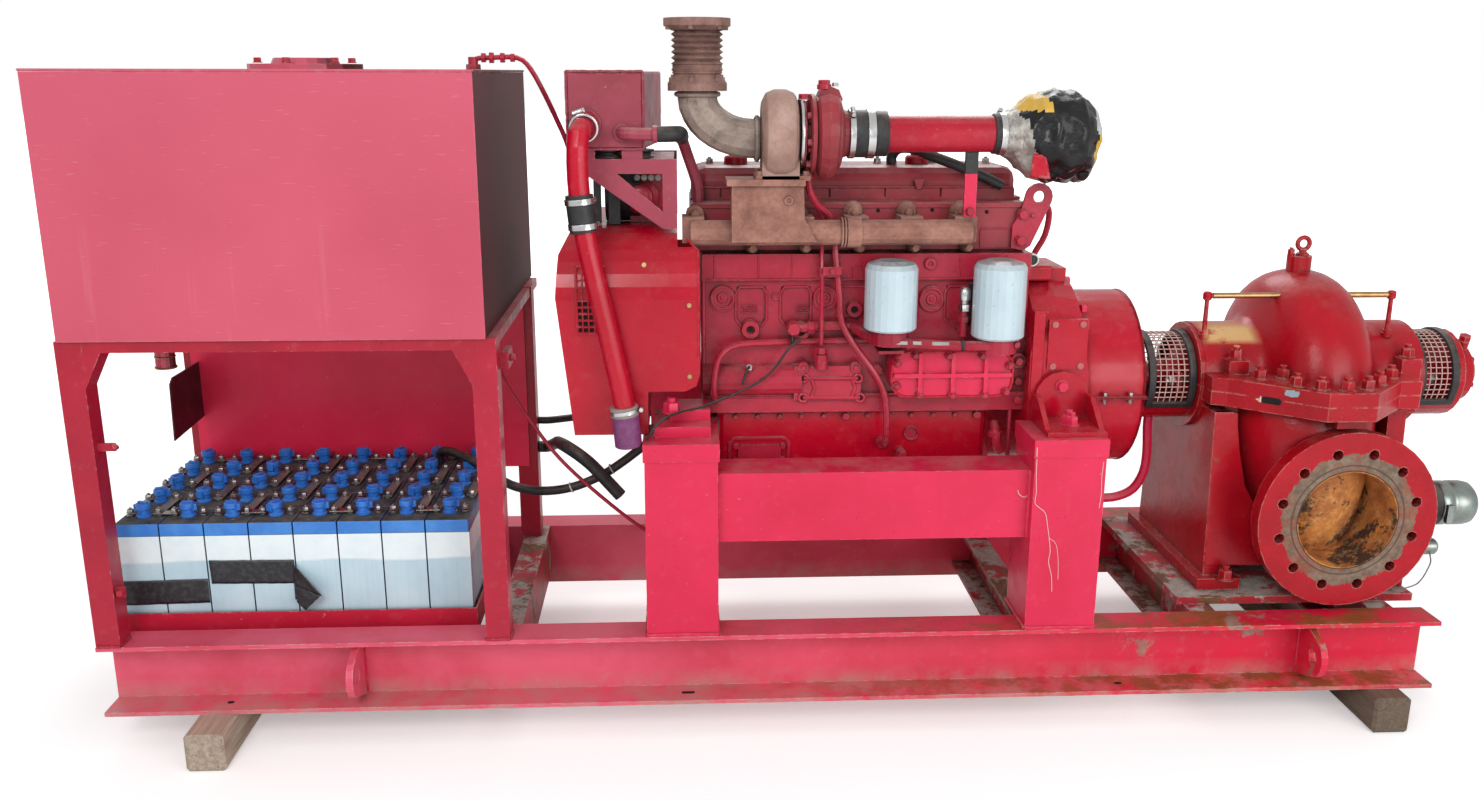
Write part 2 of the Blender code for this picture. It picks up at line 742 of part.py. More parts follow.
def block_relief(block):
    """Core plugs on both sides of the block, and the sunk pockets between them."""
    plugs = []
    pockets = []
    for name, side in (("front", lambda y: y), ("rear", back)):
        face = side(SHAFT_Y - BLOCK_HALF)
        proud = side(SHAFT_Y - BLOCK_HALF - PLUG_PROUD)
        sunk = side(SHAFT_Y - BLOCK_HALF + POCKET_DEPTH)
        outside = side(SHAFT_Y - BLOCK_HALF - 0.02)
        for number, place in enumerate(PLUG_PLACES):
            near, far = sorted((proud, sunk))
            seat = (ENGINE_LEFT + place, 0, PLUG_Z)
            plug = f"core_plug_{name}_{number}"
            plugs.append(drum(plug, PLUG_RADIUS, -far, -near, seat, "y", DARK_RED, 16))
            near, far = sorted((outside, face))
            pockets.append(drum(f"{plug}_dish", PLUG_RADIUS * 0.75, -far, -near, seat, "y", DARK_RED, 16))
        for number, place in enumerate(POCKET_PLACES):
            x = (ENGINE_LEFT + place, ENGINE_LEFT + place + POCKET_WIDTH)
            top = PLUG_Z + PLUG_RADIUS
            y = sorted((outside, sunk))
            pockets.append(box(f"pocket_{name}_{number}", x, y, (top - POCKET_HEIGHT, top), DARK_RED))
    combine(block, plugs)
    cut(block, pockets)


def engine():
    """Block, head, rocker cover and sump as separate castings."""
    low_y = SHAFT_Y - BLOCK_HALF
    ledge_y = (low_y - LEDGE, back(low_y - LEDGE))
    x = (ENGINE_LEFT, ENGINE_RIGHT)
    top = BLOCK_TOP - GAP
    block = box("engine_block", x, (low_y, back(low_y)), (BLOCK_BOTTOM, top), DARK_RED)
    shelf = box("block_shelf", x, ledge_y, (BLOCK_TOP - SHELF_HEIGHT, top), DARK_RED)
    skirt = box("block_skirt", x, ledge_y, (BLOCK_BOTTOM, BLOCK_BOTTOM + SKIRT_HEIGHT), DARK_RED)
    tunnel_z = BLOCK_BOTTOM + 0.068
    tunnel_end = ENGINE_LEFT + 0.205
    tunnel = drum("block_tunnel", 0.034, ENGINE_LEFT, tunnel_end, (0, low_y, tunnel_z), "x", DARK_RED, 16)
    pad_x = (ENGINE_LEFT + 0.190, ENGINE_LEFT + 0.330)
    pad_z = (BLOCK_PAD_TOP - 0.072, BLOCK_PAD_TOP)
    pad = box("block_pad", pad_x, (low_y - 0.022, low_y + 0.01), pad_z, DARK_RED)
    combine(block, [shelf, skirt, tunnel, pad])
    block_relief(block)
    head_y = (SHAFT_Y - HEAD_HALF, SHAFT_Y + HEAD_HALF)
    head = box("cylinder_head", (HEAD_LEFT, HEAD_RIGHT), head_y, (BLOCK_TOP, HEAD_TOP), DARK_RED)
    bevelled(head, 0.006, 1)
    rocker_cover()
    sump_y = (SHAFT_Y - SUMP_HALF, SHAFT_Y + SUMP_HALF)
    sump_top = BLOCK_BOTTOM - GAP
    sump = box("sump", (SUMP_LEFT, SUMP_RIGHT), sump_y, (SUMP_BOTTOM, sump_top), RED)
    bevelled(sump, 0.012, 2)
    rail_y = (sump_y[0] - SUMP_RAIL, sump_y[1] + SUMP_RAIL)
    rail = box("sump_rail", (SUMP_LEFT, SUMP_RIGHT), rail_y, (sump_top - SUMP_RAIL, sump_top), RED)
    combine(sump, [rail])


def rocker_cover():
    """The rocker cover, rounded above its flat rim."""
    y = (SHAFT_Y - ROCKER_HALF, SHAFT_Y + ROCKER_HALF)
    x = (HEAD_LEFT + 0.003, HEAD_RIGHT - 0.010)
    foot = HEAD_TOP + GAP
    cover = box("rocker_cover", x, y, (foot, ROCKER_TOP), DARK_RED)
    top_edges(cover, 0.030, 3)
    rim_x = (x[0] - ROCKER_RIM / 3, x[1] + ROCKER_RIM)
    rim_y = (y[0] - ROCKER_RIM, y[1] + ROCKER_RIM)
    combine(cover, [box("rocker_rim", rim_x, rim_y, (foot, foot + ROCKER_RIM), DARK_RED)])


def top_edges(part, width, segments):
    """Rounds the edges round a block's top face, and its upright corners, by bevel weight."""
    mesh = part.data
    weights = mesh.attributes.new("bevel_weight_edge", "FLOAT", "EDGE")
    low = min(vertex.co.z for vertex in mesh.vertices)
    for edge in mesh.edges:
        heights = [mesh.vertices[i].co.z for i in edge.vertices]
        at_foot = all(abs(height - low) < 0.0001 for height in heights)
        weights.data[edge.index].value = 0.0 if at_foot else 1.0
    bevel = part.modifiers.new("bevel", "BEVEL")
    bevel.width = width
    bevel.segments = segments
    bevel.limit_method = "WEIGHT"
    return smooth(part, 50)


def engine_side():
    """Oil cooler cover and the two spin-on filters on their pipe."""
    face = SHAFT_Y - BLOCK_HALF
    wall = -BLOCK_HALF - GAP
    corner = COOLER_CORNER
    left = COOLER_LEFT
    right = COOLER_LEFT + COOLER_LENGTH
    low = COOLER_BOTTOM
    high = COOLER_BOTTOM + COOLER_HEIGHT
    outline = [
        *arc((left + corner, low + corner), corner, 180, 270, 4),
        *arc((right - corner, low + corner), corner, 270, 360, 4),
        *arc((right - corner, high - corner), corner, 0, 90, 4),
        *arc((left + corner, high - corner), corner, 90, 180, 4),
    ]
    front = face - COOLER_REACH
    back_y = face - GAP
    cover = prism("oil_cooler_cover", outline, "y", front + 0.018, back_y, RED)
    plate = prism("oil_cooler_plate", outline, "y", front + 0.010, front + 0.020, RED)
    combine(cover, [plate])
    rib_y = (front, front + 0.02)
    half = COOLER_RIB / 2
    long_z = (low + COOLER_HEIGHT / 2 - 0.001 - half, low + COOLER_HEIGHT / 2 - 0.001 + half)
    ribs = [box("cooler_rib_long", (left + 0.006, right - 0.006), rib_y, long_z, RED)]
    for number in range(3):
        place = left + 0.060 + number * COOLER_RIB_PITCH
        rib_z = (low + 0.004, high - 0.004)
        ribs.append(box(f"cooler_rib_{number}", (place - half, place + half), rib_y, rib_z, RED))
    combine(cover, ribs)
    r = FILTER_RADIUS
    pipe_places = [
        (0.187, wall, 0.753),
        (0.187, -0.1765, 0.753),
        (0.205, -0.1865, 0.754),
        (0.265, -0.1865, 0.757),
        (0.305, -0.1945, 0.756),
        (0.335, -0.2365, 0.745),
        (0.362, -0.2645, 0.740),
        (0.425, -0.2745, 0.737),
        (0.525, -0.2745, 0.732),
        (0.615, -0.2685, 0.731),
    ]
    head = tube("filter_head", on_engine(pipe_places), 0.010, RED, 2, 3)
    arms = []
    for number, (place, base) in enumerate(zip(FILTER_PLACES, FILTER_BASES), 1):
        h = FILTER_TOP - base
        arm_x = (place - 0.030, place + 0.030)
        arm_z = (base - 0.026, base - 0.008)
        seat = (place, FILTER_Y, 0)
        arms.append(box(f"filter_arm_{number}", arm_x, (FILTER_Y, face - GAP), arm_z, RED))
        arms.append(drum(f"filter_seat_{number}", 0.040, base - 0.030, base - GAP, seat, "z", RED, 16))
        shoulder = [(r * 0.55, h), (r * 0.9, h - 0.006), (r, h - 0.016)]
        can = [(0, h), *shoulder, (r, 0.004), (r * 0.92, 0), (0, 0)]
        turned(f"oil_filter_{number}", can, (place, FILTER_Y, base), "z", FILTER, 24)
    combine(head, arms)


def oil_pipes():
    """The turbocharger's feed and drain in one clamp, and the pipe along the block."""
    wall = -BLOCK_HALF - GAP
    neck = TURBO_Z - NECK_TURBO_RADIUS - GAP
    drain_places = [
        (NECK_TURBO_PLACE, -EXHAUST_OFFSET, neck),
        (NECK_TURBO_PLACE, -EXHAUST_OFFSET, neck - 0.025),
        (NECK_TURBO_PLACE + 0.001, -0.2255, 1.048),
        (0.217, -0.2195, 1.027),
        (0.234, -0.2045, 1.003),
        (0.257, -0.1915, 0.983),
        (0.269, -0.1885, 0.955),
        (0.27, -0.1885, 0.914),
        (0.274, -0.1965, 0.870),
        (0.279, -0.2065, 0.820),
        (0.285, -0.2065, 0.767),
        (0.315, -0.2085, 0.715),
        (0.353, -0.2105, 0.664),
        (0.375, -0.2085, 0.622),
        (0.382, -0.2065, 0.580),
        (0.384, -0.2025, 0.530),
        (0.384, -0.1845, 0.503),
        (0.384, -0.1615, 0.497),
        (0.384, -SUMP_HALF - GAP, 0.497),
    ]
    drain = tube("turbo_oil_pipes", on_engine(drain_places), 0.0068, RED, 2, 3)
    feed_places = [
        (0.231, -0.2085, 1.006),
        (0.24, -0.1945, 0.986),
        (0.243, -0.1885, 0.960),
        (0.243, -0.1895, 0.905),
        (0.243, -0.2025, 0.860),
        (0.243, -0.2045, 0.790),
        (0.243, -0.2045, 0.725),
        (0.243, -0.1925, 0.702),
        (0.243, -0.1765, 0.685),
        (0.243, -0.1765, BLOCK_PAD_TOP + GAP),
    ]
    feed = tube("turbo_oil_feed", on_engine(feed_places), 0.0045, RED, 2, 3)
    clamp_x = (ENGINE_LEFT + 0.237, ENGINE_LEFT + 0.279)
    clamp_y = (SHAFT_Y - 0.2065, SHAFT_Y - 0.1945)
    clamp = box("turbo_pipe_clamp", clamp_x, clamp_y, (0.862, 0.880), RED)
    combine(drain, [feed, clamp])
    along = [
        (0.025, wall - LEDGE, 0.600),
        (0.025, -0.1945, 0.600),
        (0.023, -0.2105, 0.622),
        (0.023, -0.2145, 0.655),
        (0.034, -0.2105, 0.700),
        (0.07, -0.1965, 0.721),
        (0.145, -0.1845, 0.723),
        (0.245, -0.1805, 0.724),
        (0.335, -0.1825, 0.725),
        (0.365, -0.1835, 0.725),
        (0.377, -0.1775, 0.725),
        (0.377, wall, 0.725),
    ]
    tube("oil_return_pipe", on_engine(along), 0.007, RED, 2, 3)


def exhaust():
    """Manifold with its ports and riser, turbine housing, elbow and bellows."""
    face = SHAFT_Y - HEAD_HALF
    right = MANIFOLD_RIGHT
    z = MANIFOLD_Z
    axis = (0, EXHAUST_Y, z)
    log = drum("exhaust_manifold", MANIFOLD_RADIUS, HEAD_LEFT, right, axis, "x", RUST, 14)
    joins = []
    for port in range(PORT_COUNT):
        x = right - 0.010 - port * PORT_PITCH
        port_x = (x - 0.022, x + 0.022)
        joins.append(box(f"port_{port}", port_x, (EXHAUST_Y, face - GAP), (z - 0.020, z + 0.030), RUST))
        stub = (x, 0, z + 0.033)
        joins.append(drum(f"port_boss_{port}", 0.014, -face + 0.030, -face + GAP, stub, "y", RUST, 10))
    sides = [(-0.095, -0.015), (0.073, -0.015), (0.048, 0.030), (0.045, 0.097), (-0.095, 0.097)]
    outline = [(TURBO_X + x, z + rise) for x, rise in sides]
    riser = prism("manifold_riser", outline, "y", EXHAUST_Y - 0.034, EXHAUST_Y + 0.034, RUST)
    seat_x = (TURBO_X - 0.105, TURBO_X + 0.0475)
    seat_y = (EXHAUST_Y - 0.044, EXHAUST_Y + 0.044)
    seat = box("manifold_seat", seat_x, seat_y, (SEAT_TOP - 0.012, SEAT_TOP), RUST)
    collar_x = (TURBO_X + 0.135, TURBO_X + 0.163)
    collar = drum("manifold_collar", MANIFOLD_RADIUS + 0.005, *collar_x, axis, "x", RUST, 14)
    combine(log, [*joins, riser, seat, collar])
    turbo_centre = (TURBO_X, EXHAUST_Y, TURBO_Z)
    r = TURBINE_RADIUS
    w = TURBINE_WIDTH / 2
    right_half = [(0, w), (r * 0.6, w), (r * 0.88, w * 0.8), (r, w * 0.25)]
    scroll = right_half + [(radius, -x) for radius, x in reversed(right_half)]
    housing = turned("turbine_housing", scroll, turbo_centre, "x", STEEL, 24)
    foot_x = (TURBO_X - 0.036, TURBO_X + 0.036)
    foot_y = (EXHAUST_Y - 0.040, EXHAUST_Y + 0.040)
    foot = box("turbine_foot", foot_x, foot_y, (SEAT_TOP + GAP, TURBO_Z - 0.027), STEEL)
    combine(housing, [foot])


def turbo():
    """Bearing housing and compressor as one casting stack, with the scroll and its duct."""
    start = TURBO_X + TURBINE_WIDTH / 2 + GAP
    end = COMPRESSOR_RIGHT
    r = COMPRESSOR_RADIUS
    profile = [
        (0, end),
        (0.042, end),
        (0.046, end - 0.012),
        (r * 0.80, end - 0.020),
        (r * 0.84, end - 0.034),
        (r * 0.84, end - 0.050),
        (r * 0.80, end - 0.066),
        (NECK_TURBO_RADIUS, end - 0.068),
        (NECK_TURBO_RADIUS, start + 0.010),
        (0.064, start + 0.010),
        (0.064, start),
        (0, start),
    ]
    body = turned("compressor_housing", profile, (0, EXHAUST_Y, TURBO_Z), "x", RED, 24)
    combine(body, [compressor_scroll(end - 0.045), charge_duct(end - 0.040)])


def compressor_scroll(x):
    """A tube that grows as it winds once round the compressor, down its rear and up its front."""
    steps = 22
    middle = COMPRESSOR_RADIUS - (SCROLL_THIN + SCROLL_THICK) / 2
    route = []
    swell = []
    for step in range(steps + 1):
        angle = math.radians(80 - 318 * step / steps)
        out = (math.cos(angle), math.sin(angle))
        route.append((x, EXHAUST_Y + middle * out[0], TURBO_Z + middle * out[1]))
        swell.append(1 - (1 - SCROLL_THIN / SCROLL_THICK) * (1 - step / steps))
    return tube("compressor_scroll", route, SCROLL_THICK, RED, 2, 1, swell)


def charge_duct(x):
    """From the scroll's top, over the rocker cover, to a flange on the head's rear."""
    wall = SHAFT_Y + HEAD_HALF + GAP
    high = ROCKER_TOP + 0.040
    port_z = HEAD_TOP - 0.046
    radius = SCROLL_THICK + 0.001
    route = [
        (x, EXHAUST_Y - 0.012, TURBO_Z + 0.066),
        (x, EXHAUST_Y + 0.045, TURBO_Z + 0.062),
        (x, EXHAUST_Y + 0.100, TURBO_Z + 0.022),
        (x, SHAFT_Y - 0.050, high),
        (x, SHAFT_Y + 0.070, high),
        (x, SHAFT_Y + 0.140, high - 0.022),
        (x, wall + 0.042, port_z + 0.060),
        (x, wall + 0.040, port_z + 0.015),
        (x, wall + 0.012, port_z),
        (x, wall, port_z),
    ]
    return tube("charge_duct", route, radius, RED, 2, 3)


def exhaust_stack():
    """The outlet elbow and the corrugated bellows between two flanges."""
    inlet_x = TURBO_X - TURBINE_WIDTH / 2 - GAP
    straight = 0.012
    bend = inlet_x - STACK_X - straight
    drop = STACK_BASE - straight - ELBOW_Z
    route = [(STACK_X, EXHAUST_Y, STACK_BASE)]
    for step in range(10):
        angle = math.radians(90 * step / 9)
        across = STACK_X + bend * (1 - math.cos(angle))
        route.append((across, EXHAUST_Y, STACK_BASE - straight - drop * math.sin(angle)))
    route.append((inlet_x, EXHAUST_Y, ELBOW_Z))
    tube("exhaust_elbow", route, ELBOW_RADIUS, STEEL, 4, 1)
    folds = []
    bottom = STACK_BASE + GAP
    folds.append((0, STACK_TOP))
    folds.append((0.064, STACK_TOP))
    folds.append((0.064, STACK_TOP - 0.014))
    folds.append((0.050, STACK_TOP - 0.022))
    rings = BELLOWS_FOLDS
    low = bottom + 0.034
    high = STACK_TOP - 0.024
    for ring in range(rings):
        step = (high - low) / rings
        top = high - ring * step
        folds.append((0.043, top))
        folds.append((0.050, top - step / 2))
    folds.append((0.044, low))
    folds.append((0.057, bottom + 0.014))
    folds.append((0.057, bottom))
    folds.append((0, bottom))
    turned("exhaust_bellows", folds, (STACK_X, EXHAUST_Y, 0), "z", RUST, 24)


def intake():
    """Red intake pipe, the wrapped inlet at its end and the flat bar that holds it."""
    y = EXHAUST_Y
    z = TURBO_Z
    r = INTAKE_RADIUS
    start = COMPRESSOR_RIGHT + GAP
    joint = COMPRESSOR_RIGHT + 0.068
    end = INTAKE_RIGHT
    profile = [
        (0, end),
        (r, end),
        (r, joint),
        (r + 0.007, joint - 0.002),
        (r + 0.007, start + 0.010),
        (r + 0.002, start + 0.004),
        (r + 0.002, start),
        (0, start),
    ]
    turned("intake_pipe", profile, (0, y, z), "x", RED, 20)
    low = end + GAP
    bag = [
        (0, end + 0.200),
        (0.040, end + 0.195),
        (0.072, end + 0.165),
        (0.084, end + 0.120),
        (0.080, end + 0.075),
        (0.062, end + 0.040),
        (0.042, end + 0.017),
        (0.038, low),
        (0, low),
    ]
    turned("wrapped_inlet", bag, (0, y, z), "x", TAPE, 20)
    bar_x = (end - 0.060, end - 0.036)
    bar_y = (y - 0.004, y + 0.004)
    box("intake_support_bar", bar_x, bar_y, (MANIFOLD_Z + 0.030 + GAP, z - r - GAP), RED)


def head_fittings():
    """The lifting bracket at the head's right end and the two pipes beside it."""
    face = SHAFT_Y - HEAD_HALF
    eye_x = HEAD_RIGHT + 0.018
    eye_z = HEAD_TOP + 0.012
    low_edge = [(-0.053, -0.104), (-0.027, -0.110), (-0.013, -0.100)]
    left_edge = [(-0.037, -0.033), (-0.052, -0.058)]
    outline = [
        *[(eye_x + x, eye_z + z) for x, z in low_edge],
        *arc((eye_x, eye_z), 0.028, -20, 160, 8),
        *[(eye_x + x, eye_z + z) for x, z in left_edge],
    ]
    plate = prism("lifting_bracket", outline, "y", face - 0.009, face - GAP, RED)
    hole = drum("lifting_eye", 0.012, -face - 0.02, -face + 0.03, (eye_x, 0, eye_z), "y", RED, 16)
    cut(plate, [hole])
    right = HEAD_RIGHT + GAP
    housing_top = SHAFT_Z + HOUSING_RADIUS + GAP
    y = SHAFT_Y
    places = [
        (right, y, HEAD_TOP - 0.038),
        (right + 0.018, y, HEAD_TOP - 0.038),
        (right + 0.053, y, HEAD_TOP - 0.024),
        (right + 0.078, y, HEAD_TOP - 0.021),
        (right + 0.089, y, HEAD_TOP - 0.041),
        (right + 0.083, y, housing_top + 0.071),
        (right + 0.065, y, housing_top + 0.036),
        (right + 0.059, y, housing_top + 0.021),
        (right + 0.058, y, housing_top),
    ]
    tube("housing_vent_pipe", places, 0.007, DARK_RED, 2, 3)
    hose = [
        (0.405, -0.0365, ROCKER_TOP + GAP),
        (0.405, -0.0365, 1.092),
        (0.417, -0.0485, 1.108),
        (0.440, -0.0765, 1.110),
        (0.475, -0.1085, 1.097),
        (0.517, -0.1165, 1.082),
        (0.582, -0.1165, 1.056),
        (0.623, -0.1165, 1.037),
    ]
    tube("breather_hose", on_engine(hose), BREATHER_RADIUS, BLACK, 2, 4)


def flywheel_end():
    """Flywheel housing, the arched brackets on the right pedestals and the coupling guard."""
    start = ENGINE_RIGHT + GAP
    end = HOUSING_RIGHT
    r = HOUSING_RADIUS
    profile = [
        (0, end),
        (r - 0.03, end),
        (r - 0.012, end - 0.010),
        (r, end - 0.060),
        (r, start + 0.012),
        (r - 0.01, start),
        (0, start),
    ]
    housing = turned("flywheel_housing", profile, (0, SHAFT_Y, SHAFT_Z), "x", RED, 32)
    face = SHAFT_Y - HOUSING_HALF
    tall = (SHAFT_Z - r - 0.1, SHAFT_Z + r + 0.1)
    flats = box("housing_flats", (start - 0.1, end + 0.1), (face, back(face)), tall, RED)
    combine(housing, [flats], "INTERSECT")
    width, height = HOUSING_PLATE
    plate_x = (end - 0.010 - width, end - 0.010)
    plate_z = (SHAFT_Z + 0.064, SHAFT_Z + 0.064 + height)
    for name, side in (("front", lambda y: y), ("rear", back)):
        plate_y = sorted((side(face - HOUSING_PLATE_THICK), side(face + 0.010)))
        combine(housing, [box(f"housing_plate_{name}", plate_x, plate_y, plate_z, RED)])
    step_z = (SHAFT_Z + r - 0.020, SHAFT_Z + r + 0.009)
    step_y = (SHAFT_Y - 0.0765, SHAFT_Y + 0.0765)
    combine(housing, [box("housing_step", (end - 0.058, end - 0.022), step_y, step_z, RED)])
    housing_brackets(face)
    middle = (0, SHAFT_Y, SHAFT_Z)
    guard_x = (end + GAP, GUARD_DRUM_RIGHT)
    drum("coupling_guard", GUARD_DRUM_RADIUS, *guard_x, middle, "x", RED, 36)


def housing_brackets(face):
    """Arched walls against the housing's faces, each on a sole between two cheeks."""
    left, right, low = ENGINE_RIGHT + 0.007, HOUSING_RIGHT, SADDLE + GAP
    wall_front = face - 0.014
    for name, side in (("front", lambda y: y), ("rear", back)):
        wall = sorted((side(wall_front), side(face - GAP)))
        arch_centre = ((left + right) / 2, SHAFT_Z + 0.006)
        arch = [(left, low), (right, low), *arc(arch_centre, 0.055, 0, 180, 8)]
        bracket = prism(f"housing_bracket_{name}", arch, "y", wall[0], wall[1], RED)
        sole_y = sorted((side(PEDESTAL_FRONT + 0.016), side(wall_front + 0.004)))
        combine(bracket, [box(f"bracket_sole_{name}", (left, right), sole_y, (low, low + 0.010), RED)])
        toe, heel, shoulder = side(PEDESTAL_FRONT + 0.026), side(wall_front + 0.004), side(wall_front - 0.031)
        foot_z, top_z = low + 0.002, low + 0.060
        outline = [(toe, foot_z), (heel, foot_z), (heel, top_z), (shoulder, top_z)]
        for number, x in enumerate((left, right - 0.010)):
            combine(bracket, [prism(f"bracket_cheek_{name}_{number}", outline, "x", x, x + 0.010, RED)])


def guard_face(z):
    """How far back the belt guard's front lies at a height."""
    turn = BELT_GUARD_TOP - BELT_GUARD_CURVE
    if z < turn:
        return BELT_GUARD_FRONT + 0.010 * (turn - z) / (turn - BELT_GUARD_BOTTOM)
    return BELT_GUARD_FRONT + BELT_GUARD_CURVE - math.sqrt(BELT_GUARD_CURVE**2 - (z - turn) ** 2)


def belt_guard():
    """Sheet cover over the front pulleys: a curved section trimmed to its side outline."""
    radius = BELT_GUARD_CURVE
    front = BELT_GUARD_FRONT
    top = BELT_GUARD_TOP
    low = BELT_GUARD_BOTTOM
    left = BELT_GUARD_LEFT
    right = BELT_GUARD_RIGHT
    section = [
        (front + 0.010, low),
        *reversed(arc((front + radius, top - radius), radius, 90, 180, 8)),
        (back(front + radius), top),
        (back(front), top - radius),
        (back(front + 0.010), low),
    ]
    guard = prism("belt_guard", section, "x", left - 0.01, right + 0.01, RED)
    side = [
        (left + 0.030, low - 0.01),
        (right - 0.104, low - 0.01),
        (right - 0.104, low + 0.089),
        (right - 0.030, low + 0.089),
        (right - 0.008, low + 0.099),
        (right, low + 0.124),
        (right, top - 0.040),
        (right - 0.025, top - 0.015),
        (right - 0.050, top + 0.01),
        (left + 0.035, top + 0.01),
        (left + 0.006, top - 0.045),
        (left, top - 0.125),
    ]
    trim = prism("belt_guard_trim", side, "y", front - 0.1, back(front) + 0.1, RED)
    combine(guard, [trim], "INTERSECT")
    lip = front + 0.044
    room_x = (right - 0.043, right + 0.01)
    room = box("belt_guard_engine_room", room_x, (lip, back(lip)), (low - 0.1, top + 0.1), RED)
    cut(guard, [room])
    slots = []
    for number in range(GRILLE_SLOTS):
        z = GRILLE_BOTTOM + number * GRILLE_PITCH
        x = (GRILLE_LEFT, GRILLE_LEFT + GRILLE_WIDTH)
        y = (front - 0.05, guard_face(z + GRILLE_SLOT) + 0.004)
        slots.append(box(f"grille_slot_{number}", x, y, (z, z + GRILLE_SLOT), RED))
    cut(guard, slots)


def header_tank():
    """The small coolant tank, its triangular bracket and the belt pulley below it."""
    left = HEADER_LEFT
    plan = [
        (left, HEADER_FRONT),
        (HEADER_RIGHT, HEADER_FRONT),
        (HEADER_RIGHT + 0.030, HEADER_BACK),
        (left, HEADER_BACK),
    ]
    tank = prism("header_tank", plan, "z", HEADER_BOTTOM, HEADER_TOP, RED)
    bevelled(tank, 0.004, 1)
    low = BELT_GUARD_TOP + GAP
    top = HEADER_BOTTOM - 0.019
    heel = left + 0.209
    ledge = heel - 0.028
    bracket = None
    for name, y in (("front", HEADER_FRONT + 0.002), ("rear", HEADER_BACK - 0.020)):
        outline = [(left + 0.033, top - 0.030), (left + 0.033, top), (heel, top), (heel, low), (ledge, low)]
        plate = prism(f"header_plate_{name}", outline, "y", y, y + 0.008, RED)
        corners = [(left + 0.093, top - 0.028), (ledge, top - 0.028), (ledge, low + 0.033)]
        hole = prism(f"header_plate_hole_{name}", corners, "y", y - 0.01, y + 0.02, RED)
        stub_y = (y + 0.001, y + 0.007)
        stub_z = (top - 0.004, HEADER_BOTTOM - GAP)
        stub = box(f"header_stub_{name}", (left + 0.103, left + 0.143), stub_y, stub_z, RED)
        lug = box(f"header_lug_{name}", (left + 0.035, left + 0.051), stub_y, stub_z, RED)
        if bracket is None:
            bracket = plate
            bracket.name = "header_bracket"
        else:
            combine(bracket, [plate])
        combine(bracket, [stub, lug])
        cut(bracket, [hole])
    tie_y = (HEADER_FRONT + 0.004, HEADER_BACK - 0.014)
    tie = box("header_tie", (heel - 0.054, heel - 0.006), tie_y, (top - 0.008, top - 0.002), RED)
    combine(bracket, [tie])
    pulley_seat = (0, HEADER_FRONT + 0.150, BELT_GUARD_TOP + GAP + PULLEY_RADIUS)
    pulley_x = (left + 0.063, left + 0.133)
    drum("belt_pulley", PULLEY_RADIUS, *pulley_x, pulley_seat, "x", BLACK, 20)


def coolant_pipe():
    """From the header tank's face, down in front of the belt guard, to the hose end."""
    y = BELT_GUARD_FRONT - 0.038
    left = HEADER_LEFT
    port_z = HEADER_BOTTOM + 0.047
    route = [
        (left + 0.036, HEADER_FRONT - 0.008, port_z),
        (left + 0.036, y + 0.053, port_z),
        (left + 0.028, y + 0.008, port_z - 0.016),
        (left + 0.025, y, port_z - 0.066),
        (left + 0.027, y, 1.040),
        (left + 0.033, y, 0.980),
        (left + 0.048, y, 0.900),
        (left + 0.075, y, 0.770),
        (left + 0.101, y, 0.640),
        (left + 0.105, y, 0.600),
        (left + 0.107, y + 0.004, 0.560),
    ]
    pipe = tube("coolant_pipe", route, COOLANT_RADIUS, RED, 3, 2)
    collar_y = (-HEADER_FRONT + GAP, -HEADER_FRONT + 0.028)
    collar_seat = (left + 0.036, 0, port_z)
    collar = drum("coolant_collar", COOLANT_RADIUS + 0.004, *collar_y, collar_seat, "y", RED, 16)
    combine(pipe, [collar])
    front = HEADER_FRONT
    side_z = HEADER_BOTTOM + 0.031
    head_end = (HEAD_LEFT + 0.016, front + 0.122)
    side = [
        (left + 0.105, front - GAP, side_z),
        (left + 0.105, front - 0.016, side_z),
        (left + 0.115, front - 0.030, side_z),
        (left + 0.143, front - 0.034, side_z - 0.001),
        (head_end[0] - 0.063, front - 0.032, side_z - 0.001),
        (head_end[0] - 0.042, front - 0.020, side_z - 0.001),
        (head_end[0] - 0.035, front + 0.012, side_z - 0.003),
        (head_end[0] - 0.033, front + 0.055, side_z - 0.010),
        (head_end[0] - 0.024, front + 0.092, HEAD_TOP + 0.106),
        (head_end[0] - 0.009, front + 0.115, HEAD_TOP + 0.061),
        (*head_end, HEAD_TOP + 0.029),
        (*head_end, HEAD_TOP + GAP),
    ]
    tube("header_side_pipe", side, SIDE_PIPE_RADIUS, RED, 2, 3)


